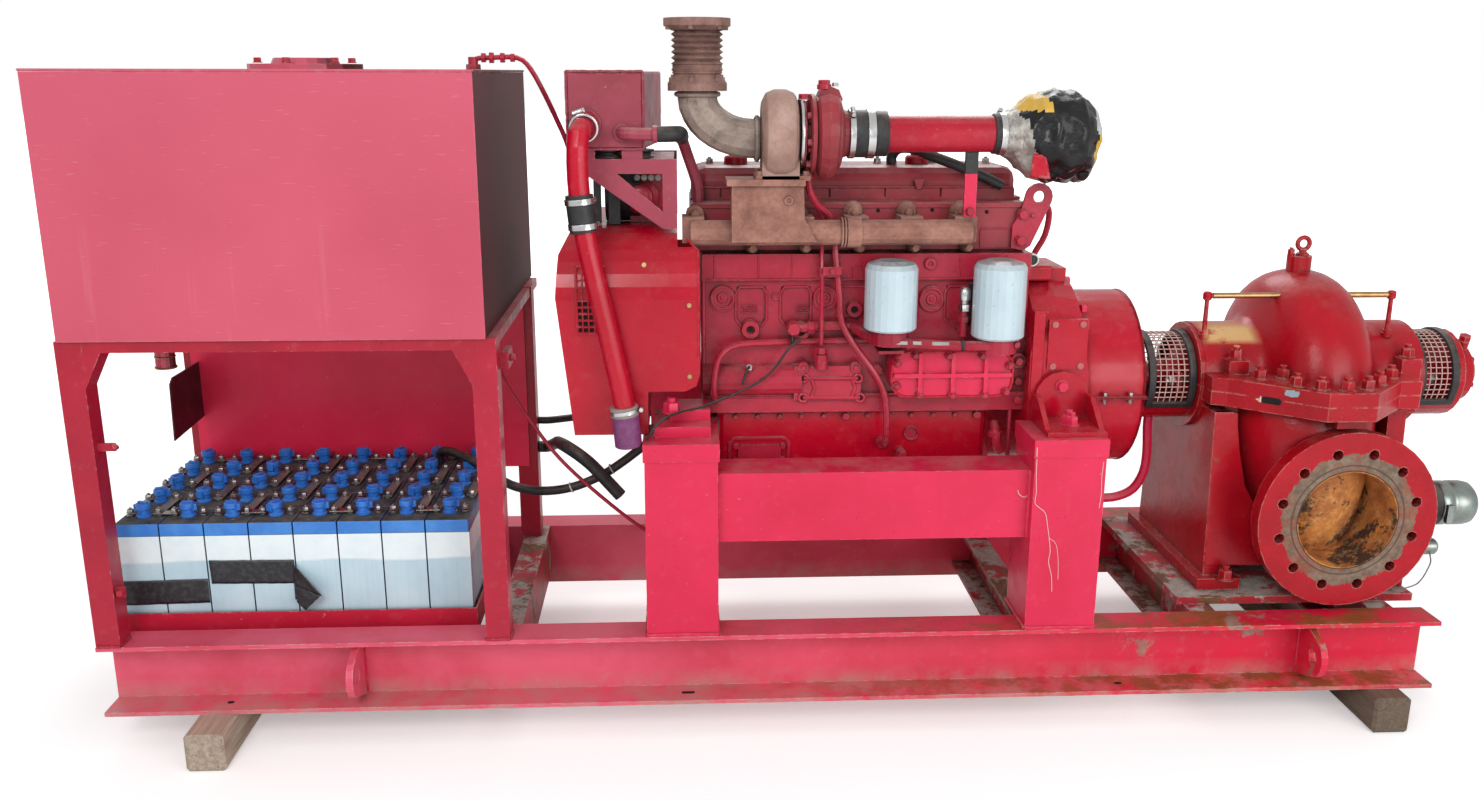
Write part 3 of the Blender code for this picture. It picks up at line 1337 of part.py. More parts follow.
def tank_pipes():
    """The fuel tank's vent, its fuel line to the engine, and the hoses between stand and engine."""
    y = 0.300
    vent = [
        (0.757, y, TANK_TOP + GAP),
        (0.757, y, 1.278),
        (0.764, y, 1.288),
        (0.790, y, 1.290),
        (0.846, y, 1.290),
        (0.872, y, 1.268),
        (0.899, y, 1.217),
        (0.920, y, 1.170),
        (0.938, y, 1.127),
        (0.951, y, 1.080),
        (0.966, y, 1.020),
        (0.972, y, 0.990),
        (0.972, y, BELT_GUARD_TOP + GAP),
    ]
    tube("tank_vent_pipe", vent, 0.005, DARK_RED, 2, 3)
    tank_low = STAND_TOP
    sump_end = SUMP_LEFT - GAP
    fuel = [
        (0.764, y, tank_low),
        (0.764, y, 0.745),
        (0.769, 0.290, 0.700),
        (0.787, 0.265, 0.650),
        (0.809, 0.248, 0.608),
        (0.850, 0.244, 0.541),
        (0.908, 0.244, 0.458),
        (0.994, 0.244, 0.371),
        (1.088, 0.244, 0.292),
        (1.125, 0.250, 0.280),
        (1.150, 0.262, 0.310),
        (1.160, 0.272, 0.380),
        (1.172, 0.282, 0.455),
        (1.200, 0.285, 0.494),
        (1.228, 0.285, 0.500),
        (sump_end, 0.285, 0.500),
    ]
    tube("fuel_line", fuel, FUEL_LINE_RADIUS, DARK_RED, 2, 3)
    cells_top = TRAY_BOTTOM + TRAY_WALL + GAP + CASE_HEIGHT + GAP
    cable = [
        (0.600, 0.500, cells_top),
        (0.600, 0.500, 0.386),
        (0.605, 0.496, 0.399),
        (0.628, 0.476, 0.408),
        (0.670, 0.440, 0.404),
        (0.710, 0.405, 0.394),
        (0.750, 0.365, 0.380),
        (0.800, 0.330, 0.367),
        (0.860, 0.308, 0.364),
        (0.925, 0.300, 0.374),
        (0.990, 0.300, 0.400),
        (1.040, 0.300, 0.432),
        (1.089, 0.300, 0.470),
        (1.140, 0.310, 0.507),
        (1.190, 0.322, 0.528),
        (1.225, 0.330, 0.532),
        (sump_end, 0.330, 0.532),
    ]
    tube("battery_cable", cable, BATTERY_CABLE_RADIUS, BLACK, 2, 3)
    post_end = STAND_RIGHT + GAP
    hose = [
        (post_end, 0.610, 0.376),
        (0.842, 0.610, 0.376),
        (0.865, 0.560, 0.398),
        (0.880, 0.470, 0.428),
        (0.896, 0.370, 0.456),
        (0.918, 0.300, 0.468),
        (0.947, 0.273, 0.457),
        (0.972, 0.270, 0.436),
        (0.995, 0.268, 0.411),
        (1.035, 0.266, 0.365),
    ]
    tube("open_hose", hose, OPEN_HOSE_RADIUS, BLACK, 2, 4)
    pedestal_end = POST_PLACES[0] - GAP
    link = [
        (post_end, 0.620, 0.440),
        (0.850, 0.620, 0.440),
        (0.900, 0.640, 0.440),
        (0.960, 0.655, 0.442),
        (1.030, 0.655, 0.445),
        (1.070, 0.655, 0.446),
        (pedestal_end, 0.655, 0.446),
    ]
    tube("starter_cable", link, STARTER_CABLE_RADIUS, BLACK, 2, 3)


def pump_flange_outline():
    """The split flange's plan: an octagon with short ears at both ends."""
    left = [(-0.249, 0.1615), (-0.220, 0.1765), (-0.068, 0.3115)]
    right = [(0.035, 0.3115), (0.135, 0.2165), (0.180, 0.2165)]
    front = [(PUMP_X + x, SHAFT_Y - reach) for x, reach in left + right]
    rear = [(x, back(y)) for x, y in reversed(front)]
    return front + rear


def casing_profile(left, right):
    """Radius against X of the volute and its two necks, from the right end to the left."""
    r = VOLUTE_RADIUS
    n = NECK_RADIUS
    half = VOLUTE_HALF
    steps = [(0, right), (n, right), (n, PUMP_X + half)]
    for i in range(1, 8):
        angle = math.radians(180 * i / 8)
        steps.append((n + (r - n) * math.sin(angle) ** 0.8, PUMP_X + half * math.cos(angle)))
    steps += [(n, PUMP_X - half), (n, left), (0, left)]
    return steps


def split_ears(name, low, high):
    """The thick seats for the bolts beside the necks, two at each end of the split flange."""
    seats = []
    for number, x in enumerate(EAR_PLACES):
        for place, side in (("front", lambda y: y), ("rear", back)):
            centre = side(SHAFT_Y - EAR_OFFSET)
            ear_x = (x - EAR_HALF, x + EAR_HALF)
            ear_y = (centre - EAR_HALF, centre + EAR_HALF)
            seats.append(box(f"{name}_ear_{place}_{number}", ear_x, ear_y, (low, high), RED))
    return seats


def pump_upper():
    """The upper casing with its seal pipes and top boss."""
    centre = (0, SHAFT_Y, SHAFT_Z)
    x = (NECK_LEFT - 0.1, NECK_RIGHT + 0.1)
    y = (-0.1, SKID_WIDTH + 0.1)
    upper = turned("pump_upper_casing", casing_profile(NECK_LEFT, NECK_RIGHT), centre, "x", RED, 28)
    lid_z = (SHAFT_Z - SPLIT_FLANGE, SHAFT_Z + SPLIT_FLANGE)
    lid = prism("pump_upper_flange", pump_flange_outline(), "z", *lid_z, RED)
    boss_z = (SHAFT_Z + VOLUTE_RADIUS - 0.045, SHAFT_Z + VOLUTE_RADIUS + 0.033)
    boss = drum("pump_top_boss", 0.026, *boss_z, (PUMP_X - 0.008, SHAFT_Y, 0), "z", RED, 16)
    pipe_y = SHAFT_Y - 0.0665
    pipe_z = SHAFT_Z + 0.190
    foot_z = SHAFT_Z + 0.086
    pipes = []
    for name, casing_end, leg_x in (("left", -0.060, -0.237), ("right", 0.060, 0.175)):
        places = [
            (PUMP_X + casing_end, pipe_y, pipe_z),
            (PUMP_X + leg_x, pipe_y, pipe_z),
            (PUMP_X + leg_x, pipe_y, foot_z),
        ]
        pipes.append(tube(f"seal_pipe_{name}", places, SEAL_PIPE_RADIUS, RED, 2, 1))
    combine(upper, [lid, boss, *pipes, *split_ears("upper", SHAFT_Z, lid_z[1] + EAR_HEIGHT)])
    above = box("pump_upper_side", x, y, (SHAFT_Z - GAP, SHAFT_Z + 0.5), RED)
    combine(upper, [above], "INTERSECT")
    cut(upper, [drum("shaft_room", SHAFT_RADIUS + GAP, *x, centre, "x", RED, 16)])


def pump_legs():
    """The two legs under the casing and the plates that they stand on."""
    foot_low = FOOT_BASE + GAP
    foot_top = FOOT_BASE + FOOT_THICK
    foot_y = BED_FRONT + 0.038
    low_y = foot_y + 0.020
    high_y = foot_y + 0.040
    high_z = SHAFT_Z - 0.044
    legs = []
    for number, x in enumerate(LEG_PLACES):
        low_z = foot_top - 0.01
        leg = [(high_y, high_z), (low_y, low_z), (back(low_y), low_z), (back(high_y), high_z)]
        legs.append(prism(f"pump_leg_{number}", leg, "x", x, x + LEG_THICK, RED))
        reach = (0.020, 0.035) if number == 0 else (0.035, 0.020)
        foot_x = (x - reach[0], x + LEG_THICK + reach[1])
        legs.append(box(f"pump_foot_{number}", foot_x, (foot_y, back(foot_y)), (foot_low, foot_top), RED))
    return legs


def hose_coupling():
    """The capped hose coupling on the right leg."""
    start = LEG_PLACES[1] + LEG_THICK
    end = start + HOSE_COUPLING_LENGTH
    r = HOSE_COUPLING_RADIUS
    profile = [
        (0, end),
        (r * 0.45, end - 0.001),
        (r * 0.80, end - 0.006),
        (r, end - 0.028),
        (r, start + 0.042),
        (r * 0.74, start + 0.040),
        (r * 0.74, start - 0.010),
        (0, start - 0.010),
    ]
    return turned("hose_coupling", profile, (0, HOSE_COUPLING_Y, HOSE_COUPLING_Z), "x", RED, 20)


def pump():
    """A horizontal split-case pump: lower and upper casings bolted at the shaft line."""
    pump_upper()
    centre = (0, SHAFT_Y, SHAFT_Z)
    lower = turned("pump_lower_casing", casing_profile(NECK_LEFT, NECK_RIGHT), centre, "x", RED, 28)
    lid_z = (SHAFT_Z - SPLIT_FLANGE, SHAFT_Z + SPLIT_FLANGE)
    joins = [prism("pump_lower_flange", pump_flange_outline(), "z", *lid_z, RED)]
    joins += split_ears("lower", lid_z[0] - EAR_HEIGHT, SHAFT_Z)
    branch = (FLANGE_X, 0, BRANCH_Z)
    through = (FLANGE_FRONT + 0.01, back(FLANGE_FRONT + 0.01))
    joins.append(drum("pump_branch", BRANCH_RADIUS, -through[1], -through[0], branch, "y", RED, 24))
    for name, side in (("front", lambda y: y), ("rear", back)):
        near, far = sorted((side(FLANGE_FRONT), side(FLANGE_FRONT + FLANGE_THICK)))
        joins.append(drum(f"pump_flange_{name}", FLANGE_RADIUS, -far, -near, branch, "y", RED, 36))
    combine(lower, [*joins, *pump_legs()])
    x = (NECK_LEFT - 0.1, NECK_RIGHT + 0.1)
    below = box("pump_lower_side", x, (-0.1, SKID_WIDTH + 0.1), (0.0, SHAFT_Z - 2 * GAP), RED)
    combine(lower, [below], "INTERSECT")
    combine(lower, [*bearings(), hose_coupling()])
    cut(lower, branch_bores(branch))
    bed_y = (BED_FRONT, back(BED_FRONT))
    bed = box("pump_bed", (BED_LEFT, SKID_LENGTH), bed_y, (DECK - 0.001, FOOT_BASE), RED)
    members = []
    for number, place in enumerate(PUMP_MEMBERS):
        members.append(cross_member(f"pump_member_{number}", place, DECK))
    combine(bed, members)


def branch_bores(branch):
    """The bore and the ring of bolt holes of each branch."""
    bores = []
    for name, side in (("front", lambda y: y), ("rear", back)):
        near, far = sorted((side(FLANGE_FRONT - 0.01), side(SHAFT_Y - 0.05)))
        bores.append(drum(f"pump_bore_{name}", BORE_RADIUS, -far, -near, branch, "y", RED, 24))
        near, far = sorted((side(FLANGE_FRONT - 0.01), side(FLANGE_FRONT + FLANGE_THICK + 0.01)))
        for number in range(BOLT_COUNT):
            angle = math.radians(360 * (number + 0.5) / BOLT_COUNT)
            x = FLANGE_X + BOLT_CIRCLE * math.cos(angle)
            z = BRANCH_Z + BOLT_CIRCLE * math.sin(angle)
            hole = drum(f"pump_hole_{name}_{number}", BOLT_HOLE, -far, -near, (x, 0, z), "y", RED, 8)
            bores.append(hole)
    return bores


def cradle(name, low, high):
    """The trough below a gland, between the casing's neck and the bearing."""
    inner = GLAND_RADIUS - CRADLE_THICK
    middle = (SHAFT_Y, SHAFT_Z)
    outer_rim = arc(middle, GLAND_RADIUS, CAGE_END, CAGE_START + 360, 10)
    inner_rim = arc(middle, inner, CAGE_START + 360, CAGE_END, 10)
    return prism(name, outer_rim + inner_rim, "x", low, high, RED)


def bearings():
    """The shaft, the bearing housings at its ends and the troughs that carry them."""
    centre = (0, SHAFT_Y, SHAFT_Z)
    start = GUARD_DRUM_RIGHT + GAP
    cage = CAGE_LEFT
    collar = [(0.086, cage), (0.086, cage - 0.014), (0.058, cage - 0.016)]
    left = [(0, cage), *collar, (0.055, start), (0, start)]
    tip = BEARING_RIGHT
    low = BEARING_LEFT
    right = [(0, tip), (0.045, tip), (0.066, tip - 0.016), (BEARING_RADIUS, low), (0, low)]
    flange_x = (low - BEARING_FLANGE, low + 0.002)
    return [
        drum("pump_shaft", SHAFT_RADIUS, cage - 0.012, low + 0.01, centre, "x", RED, 16),
        drum("bearing_flange", GLAND_RADIUS, *flange_x, centre, "x", RED, 24),
        turned("bearing_left", left, centre, "x", RED, 24),
        turned("bearing_right", right, centre, "x", RED, 24),
        cradle("cradle_left", cage - 0.007, NECK_LEFT + 0.01),
        cradle("cradle_right", NECK_RIGHT - 0.01, low - 0.005),
    ]


def cage_windows(name, low, high):
    """Cutters for the mesh of a gland guard, as shallow pockets: rows round the shaft, columns along it."""
    middle = (SHAFT_Y, SHAFT_Z)
    border = math.degrees(CAGE_BORDER / GLAND_RADIUS)
    bar = math.degrees(CAGE_BAR / GLAND_RADIUS)
    row_pitch = (CAGE_END - CAGE_START - 2 * border + bar) / CAGE_ROWS
    length = high - low - 2 * CAGE_BORDER
    column_pitch = (length + CAGE_BAR) / CAGE_COLUMNS
    outer = GLAND_RADIUS + 0.006
    inner = GLAND_RADIUS - CAGE_RELIEF
    windows = []
    for row in range(CAGE_ROWS):
        start = CAGE_START + border + row * row_pitch
        end = start + row_pitch - bar
        outline = arc(middle, outer, start, end, 1) + arc(middle, inner, end, start, 3)
        for column in range(CAGE_COLUMNS):
            x = low + CAGE_BORDER + column * column_pitch
            stop = x + column_pitch - CAGE_BAR
            windows.append(prism(f"{name}_window_{row}_{column}", outline, "x", x, stop, BLACK))
    return windows


def gland_cage(name, low, high):
    """The guard over a gland: a curved sheet with its mesh in relief, which stands on the trough's edges."""
    middle = (SHAFT_Y, SHAFT_Z)
    inner = GLAND_RADIUS - CAGE_THICK
    outer_rim = arc(middle, GLAND_RADIUS, CAGE_START + 0.2, CAGE_END - 0.2, 24)
    inner_rim = arc(middle, inner, CAGE_END - 0.2, CAGE_START + 0.2, 24)
    cage = smooth(prism(name, outer_rim + inner_rim, "x", low, high, BLACK))
    cut(cage, cage_windows(name, low, high))


def glands():
    """The two cages over the pump's glands."""
    gland_cage("gland_guard_left", CAGE_LEFT + GAP, NECK_LEFT - GAP)
    gland_cage("gland_guard_right", NECK_RIGHT + GAP, BEARING_LEFT - BEARING_FLANGE - GAP)


def drain_pipe():
    """The gland's drain, from the left trough down and back under the coupling."""
    low = SHAFT_Z - GLAND_RADIUS
    x = CAGE_LEFT + 0.044
    y = SHAFT_Y
    places = [
        (x, y, low - GAP),
        (x, y, low - 0.026),
        (x + 0.004, y, low - 0.086),
        (x, y, low - 0.136),
        (x - 0.021, y, low - 0.176),
        (x - 0.056, y, low - 0.194),
        (x - 0.096, y, low - 0.198),
        (x - 0.146, y, low - 0.198),
    ]
    tube("gland_drain_pipe", places, 0.011, RED, 2, 3)


def build():
    """Every part, from the ground up."""
    timbers()
    skid()
    stand()
    fuel_tank()
    batteries()
    pedestal("pedestal_front", lambda y: y)
    pedestal("pedestal_rear", back)
    engine_mounts()
    engine()
    engine_side()
    oil_pipes()
    head_fittings()
    exhaust()
    turbo()
    exhaust_stack()
    intake()
    flywheel_end()
    belt_guard()
    header_tank()
    coolant_pipe()
    tank_pipes()
    pump()
    glands()
    drain_pipe()


build()
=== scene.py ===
import random
from math import cos, pi, radians, sin, sqrt

import bmesh
import bpy
from mathutils import Matrix, Vector, noise


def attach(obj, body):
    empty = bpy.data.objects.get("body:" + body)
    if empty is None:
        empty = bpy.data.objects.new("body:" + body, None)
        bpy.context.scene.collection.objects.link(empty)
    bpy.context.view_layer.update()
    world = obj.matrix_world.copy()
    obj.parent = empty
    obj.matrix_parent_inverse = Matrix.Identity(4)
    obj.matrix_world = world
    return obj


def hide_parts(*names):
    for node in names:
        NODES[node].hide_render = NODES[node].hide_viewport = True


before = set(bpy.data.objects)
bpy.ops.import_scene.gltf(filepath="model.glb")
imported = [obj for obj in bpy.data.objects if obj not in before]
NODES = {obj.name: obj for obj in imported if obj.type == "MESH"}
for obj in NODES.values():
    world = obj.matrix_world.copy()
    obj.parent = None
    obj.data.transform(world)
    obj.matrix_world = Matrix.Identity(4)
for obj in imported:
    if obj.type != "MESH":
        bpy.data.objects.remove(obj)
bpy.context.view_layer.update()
SKID_CORNER = Vector((-1.481, -0.3665, 0.08))

# Main places, repeated from the CAD source
DECK = 0.152
SKID_WIDTH = 0.733
SHAFT_Y = SKID_WIDTH / 2
SHAFT_Z = 0.604
BLOCK_FACE = 0.2015
LEDGE_FACE = 0.1895
SUMP_FACE = 0.2215
EXHAUST_Y = 0.14
PUMP_X = 2.555

# Cells
CELL_ROWS = 5
CELL_COLUMNS = 8
CELL_WIDTH = 0.0896
CELL_DEPTH = 0.0921
CELLS_LEFT = 0.0123
CELLS_FRONT = 0.114
CELLS_TOP = 0.3673
LID_HEIGHT = 0.024


def back(y):
    """The same distance from the skid's rear edge."""
    return SKID_WIDTH - y


def placed(name, data):
    """A new object in the scene."""
    thing = bpy.data.objects.new(name, data)
    bpy.context.scene.collection.objects.link(thing)
    return thing


# Camera

FOCAL_PIXELS = 1247.78
PHOTO_WIDTH = 1484
SENSOR = 36.0
CAMERA_PLACE = (1.171, -2.3353, 1.2635)
CAMERA_YAW = radians(-2.854)
CAMERA_PITCH = radians(14.7315)
CAMERA_ROLL = radians(0.131)


def camera():
    """The photograph's own viewpoint."""
    data = bpy.data.cameras.new("camera")
    data.sensor_width = SENSOR
    data.lens = SENSOR * FOCAL_PIXELS / PHOTO_WIDTH
    eye = placed("camera", data)
    turn = Matrix.Rotation(CAMERA_YAW, 4, "Z") @ Matrix.Rotation(pi / 2 - CAMERA_PITCH, 4, "X")
    turn = turn @ Matrix.Rotation(CAMERA_ROLL, 4, "Z")
    eye.matrix_world = Matrix.Translation(Vector(CAMERA_PLACE) + SKID_CORNER) @ turn
    bpy.context.scene.camera = eye


# Finishes


class Look:
    """One procedural material: its node tree and short ways to add to it."""

    def __init__(self, name, roughness=0.5, metallic=0.0):
        self.material = bpy.data.materials.new(name)
        self.material.use_nodes = True
        self.nodes = self.material.node_tree.nodes
        self.links = self.material.node_tree.links
        self.surface = self.nodes["Principled BSDF"]
        self.put("Roughness", roughness)
        self.put("Metallic", metallic)
        self.place = self.node("ShaderNodeTexCoord", {}, "Object")

    def feed(self, socket, value):
        """A socket takes another socket, a number or a colour."""
        if isinstance(value, bpy.types.NodeSocket):
            self.links.new(value, socket)
        elif isinstance(value, (tuple, list)) and len(value) == 3 and socket.type == "RGBA":
            socket.default_value = (*value, 1.0)
        else:
            socket.default_value = value

    def put(self, name, value):
        """Feeds one of the surface's own sockets."""
        self.feed(self.surface.inputs[name], value)

    def node(self, kind, feeds, out=0, **settings):
        """A new node with its settings and inputs; gives back one of its outputs."""
        node = self.nodes.new(kind)
        for name, value in settings.items():
            setattr(node, name, value)
        for socket, value in feeds.items():
            self.feed(node.inputs[socket], value)
        return node.outputs[out]

    def math(self, kind, first, second):
        return self.node("ShaderNodeMath", {0: first, 1: second}, operation=kind, use_clamp=True)

    def times(self, first, second):
        return self.math("MULTIPLY", first, second)

    def noise(self, scale, detail=4.0, roughness=0.6, stretch=(1, 1, 1), shift=0.0):
        moved = (shift, shift * 0.7, shift * 1.3)
        place = self.node("ShaderNodeMapping", {"Vector": self.place, "Scale": stretch, "Location": moved})
        feeds = {"Vector": place, "Scale": scale, "Detail": detail, "Roughness": roughness}
        return self.node("ShaderNodeTexNoise", feeds, "Fac")

    def between(self, value, low, high, top=1.0):
        """0 at low, top at high, straight between."""
        feeds = {"Value": value, "From Min": low, "From Max": high, "To Max": top}
        return self.node("ShaderNodeMapRange", feeds)

    def span(self, value, low, high):
        """low where the value is 0.2, high where it is 0.8."""
        feeds = {"Value": value, "From Min": 0.2, "From Max": 0.8, "To Min": low, "To Max": high}
        return self.node("ShaderNodeMapRange", feeds)

    def cloud(self, low, high, *shape, top=1.0, **more):
        """A cloudy mask: 0 where the noise is at low, top where it is at high."""
        return self.between(self.noise(*shape, **more), low, high, top)

    def blend(self, amount, first, second):
        return self.node("ShaderNodeMix", {0: amount, 6: first, 7: second}, 2, data_type="RGBA")

    def over(self, amount, colour, share=None):
        """A colour laid over the base by an amount, or by a share of it."""
        if share is not None:
            amount = self.times(amount, share)
        self.base = self.blend(amount, self.base, colour)

    def tint(self, colour, factor):
        """A colour made stronger or weaker by one factor for each channel."""
        return self.node("ShaderNodeVectorMath", {0: colour, 1: factor}, operation="MULTIPLY")

    def axis(self, letter):
        """The place along one axis of the frame."""
        return self.node("ShaderNodeSeparateXYZ", {0: self.place}, letter)

    def normal(self):
        return self.node("ShaderNodeNewGeometry", {}, "Normal")

    def facing(self, letter):
        """How far a face looks along one axis of the frame."""
        return self.node("ShaderNodeSeparateXYZ", {0: self.normal()}, letter)

    def upward(self, low=0.6, high=0.95):
        """1 on faces that look up."""
        return self.between(self.facing("Z"), low, high)

    def edges(self, width):
        """1 close to sharp edges."""
        bevel = self.node("ShaderNodeBevel", {"Radius": width}, samples=4)
        feeds = {0: bevel, 1: self.normal()}
        dot = self.node("ShaderNodeVectorMath", feeds, "Value", operation="DOT_PRODUCT")
        return self.between(dot, 0.99, 0.8)

    def rounded(self, radius):
        """Normals that run smoothly over the flats of a round solid."""
        return self.node("ShaderNodeBevel", {"Radius": radius}, samples=8)

    def crevices(self, reach):
        """1 in corners and gaps."""
        hidden = self.node("ShaderNodeAmbientOcclusion", {"Distance": reach}, "AO", samples=4)
        return self.between(hidden, 0.85, 0.25)

    def bump(self, height, depth, strength=1.0, under=None):
        feeds = {"Distance": depth, "Strength": strength, "Height": height}
        if under is not None:
            feeds["Normal"] = under
        normal = self.node("ShaderNodeBump", feeds)
        self.put("Normal", normal)
        return normal

    def finished(self):
        """The material, with the base as its colour."""
        self.put("Base Color", self.base)
        return self.material

    def rough(self, value):
        self.put("Roughness", value)


# The pump's branch in frame coordinates, with the radii of its bare face, groove and bore
BRANCH_CENTRE = (1.079, 0.0, 0.4386)
BRANCH_FACE = 0.3065
NECK_BAND_SPAN = (0.83, 0.96)
NECK_BAND_LEVEL = (0.768, 0.806)
BARE_RADIUS = 0.168
RAGGED_PAINT = 0.045
GROOVE_INNER = (0.118, 0.1192)
GROOVE_OUTER = (0.1228, 0.1214)
BORE_EDGE = (0.1105, 0.1085)
BORE_SKIN = (0.1075, 0.1065)

# The white floor, the even world and the lamps: name, place, size and power
FLOOR_LIFT = 0.32
WORLD_LIGHT = 0.66
LAMPS = (
    ("key_lamp", (-1.4, -3.9, 3.0), 1.7, 72.0),
    ("fill_lamp", (2.4, -3.6, 1.6), 2.6, 58.0),
    ("rear_lamp", (0.4, 2.8, 3.4), 2.4, 50.0),
)

# Tones that several finishes share
PRIMER = (0.62, 0.42, 0.38)
DUST = (0.42, 0.3, 0.25)
# Near-black tone: soot in patches on the exhaust elbow, and painted shade in corners and gaps of most
# finishes.
SOOT_AND_SHADE = (0.035, 0.022, 0.018)
RUST_BRIGHT = (0.42, 0.13, 0.03)
RUST_DARK = (0.1, 0.035, 0.02)


def paint(name, colour, shade, chips=0.5, dust=0.35, grime_and_shade=0.5, gloss=0.35, grain=0.15, rust=0.0,
          soften=0.0):
    """Machinery enamel: cloudy colour, painted shade and soiling in corners, chipped edges, dust on top, a
    little rust.
    """
    look = Look(name, gloss)
    look.base = look.blend(look.cloud(0.38, 0.68, 4.0, 4, 0.6), colour, shade)
    mottle = look.noise(38.0, 6, 0.7, shift=3.0)
    look.over(look.between(mottle, 0.56, 0.86, 0.12), PRIMER)
    streak = look.noise(16.0, 5, 0.65, (1.0, 1.0, 0.1), 7.0)
    look.over(look.between(streak, 0.54, 0.76, 0.4), shade)
    # Painted shade and soiling: corners and gaps found by ambient occlusion are darkened towards soot in
    # patches.
    crevice_shade = look.times(look.crevices(0.03), look.cloud(0.25, 0.6, 22.0, 4, shift=1.0))
    look.over(crevice_shade, SOOT_AND_SHADE, grime_and_shade)
    settled = look.times(look.upward(), look.cloud(0.4, 0.66, 14.0, 6, 0.7, shift=5.0))
    look.over(settled, DUST, dust)
    worn = look.times(look.edges(0.003), look.cloud(0.53, 0.6, 60.0, 5, 0.7, shift=9.0))
    look.over(worn, PRIMER, chips)
    spots = look.cloud(0.73, 0.75, 90.0, 3, 0.5, shift=11.0)
    look.over(spots, PRIMER, 0.5 * chips)
    if rust:
        patch = look.cloud(0.62 - 0.12 * rust, 0.68, 9.0, 8, 0.75, shift=13.0)
        look.over(patch, look.blend(mottle, RUST_DARK, RUST_BRIGHT), rust)
    look.rough(look.span(look.noise(20.0, 4, shift=15.0), gloss - 0.1, gloss + 0.2))
    low = look.bump(look.noise(260.0, 3, 0.6), 0.0004, grain, look.rounded(soften) if soften else None)
    look.bump(look.noise(24.0, 4, 0.55, shift=2.0), 0.003, grain, low)
    look.put("Specular IOR Level", 0.32)
    look.put("Coat Weight", 0.1)
    look.put("Coat Roughness", 0.12)
    return look.finished()


def skid_paint():
    """The skid's enamel: dusty pink to the left, a dirty lower flange and heavy rust towards the pump."""
    look = Look("skid_enamel", 0.4)
    right = look.between(look.axis("X"), SKID_CORNER.x + 1.1, SKID_CORNER.x + 2.3)
    look.base = look.blend(right, (0.71, 0.1, 0.165), (0.7, 0.008, 0.045))
    look.over(look.cloud(0.42, 0.7, 5.0, 4, 0.6, top=0.6), (0.52, 0.022, 0.05))
    mottle = look.noise(30.0, 6, 0.7, shift=3.0)
    look.over(look.between(mottle, 0.55, 0.8, 0.22), (0.66, 0.26, 0.28))
    low = look.between(look.axis("Z"), SKID_CORNER.z + 0.05, SKID_CORNER.z + 0.006)
    look.over(look.times(low, look.cloud(0.36, 0.62, 12.0, 6, 0.7, top=0.6)), DUST)
    edge = look.math("MAXIMUM", look.edges(0.008), look.upward())
    patch = look.cloud(0.47, 0.55, 11.0, 9, 0.75, shift=13.0)
    patch = look.times(patch, look.times(right, edge))
    look.over(patch, look.blend(mottle, RUST_DARK, RUST_BRIGHT))
    loose = look.times(look.cloud(0.6, 0.64, 7.0, 8, 0.75, shift=21.0), right)
    look.over(loose, look.blend(mottle, RUST_DARK, (0.5, 0.33, 0.27)))
    worn = look.times(look.edges(0.004), look.cloud(0.48, 0.56, 40.0, 5, 0.7, shift=9.0))
    look.over(worn, (0.62, 0.45, 0.42), 0.7)
    low = look.bump(look.noise(240.0, 3, 0.6), 0.0005, 0.25)
    look.bump(look.noise(22.0, 5, 0.6, shift=2.0), 0.003, 0.25, low)
    look.put("Specular IOR Level", 0.35)
    return look.finished()


def deck_paint():
    """The pump's bed and cross members: enamel worn to grey-white undercoat, with brown rust."""
    look = Look("deck_enamel", 0.55)
    look.base = look.blend(look.cloud(0.38, 0.68, 5.0, 4, 0.6), (0.46, 0.022, 0.04), (0.34, 0.015, 0.024))
    flake = look.noise(8.0, 9, 0.78, shift=13.0)
    lying = look.span(look.upward(0.3, 0.9), 0.0, 0.085)
    worn = look.between(look.math("ADD", flake, lying), 0.535, 0.565)
    fine = look.noise(50.0, 6, 0.7, shift=3.0)
    pale = look.blend(look.between(fine, 0.35, 0.65), (0.46, 0.44, 0.4), (0.3, 0.25, 0.21))
    look.over(worn, pale)
    rust = look.cloud(0.51, 0.56, 9.0, 8, 0.75, shift=31.0)
    look.over(rust, look.blend(fine, (0.06, 0.032, 0.022), (0.26, 0.12, 0.055)))
    # Painted shade: corners and gaps found by ambient occlusion are darkened towards soot.
    crevice_shade = look.times(look.crevices(0.03), 0.8)
    look.over(crevice_shade, SOOT_AND_SHADE)
    chips = look.times(look.edges(0.004), look.between(fine, 0.48, 0.56))
    look.over(chips, (0.58, 0.46, 0.42), 0.8)
    look.rough(look.span(worn, 0.42, 0.72))
    low = look.bump(fine, 0.0006, 0.4)
    look.bump(flake, 0.002, 0.4, low)
    look.put("Specular IOR Level", 0.3)
    return look.finished()


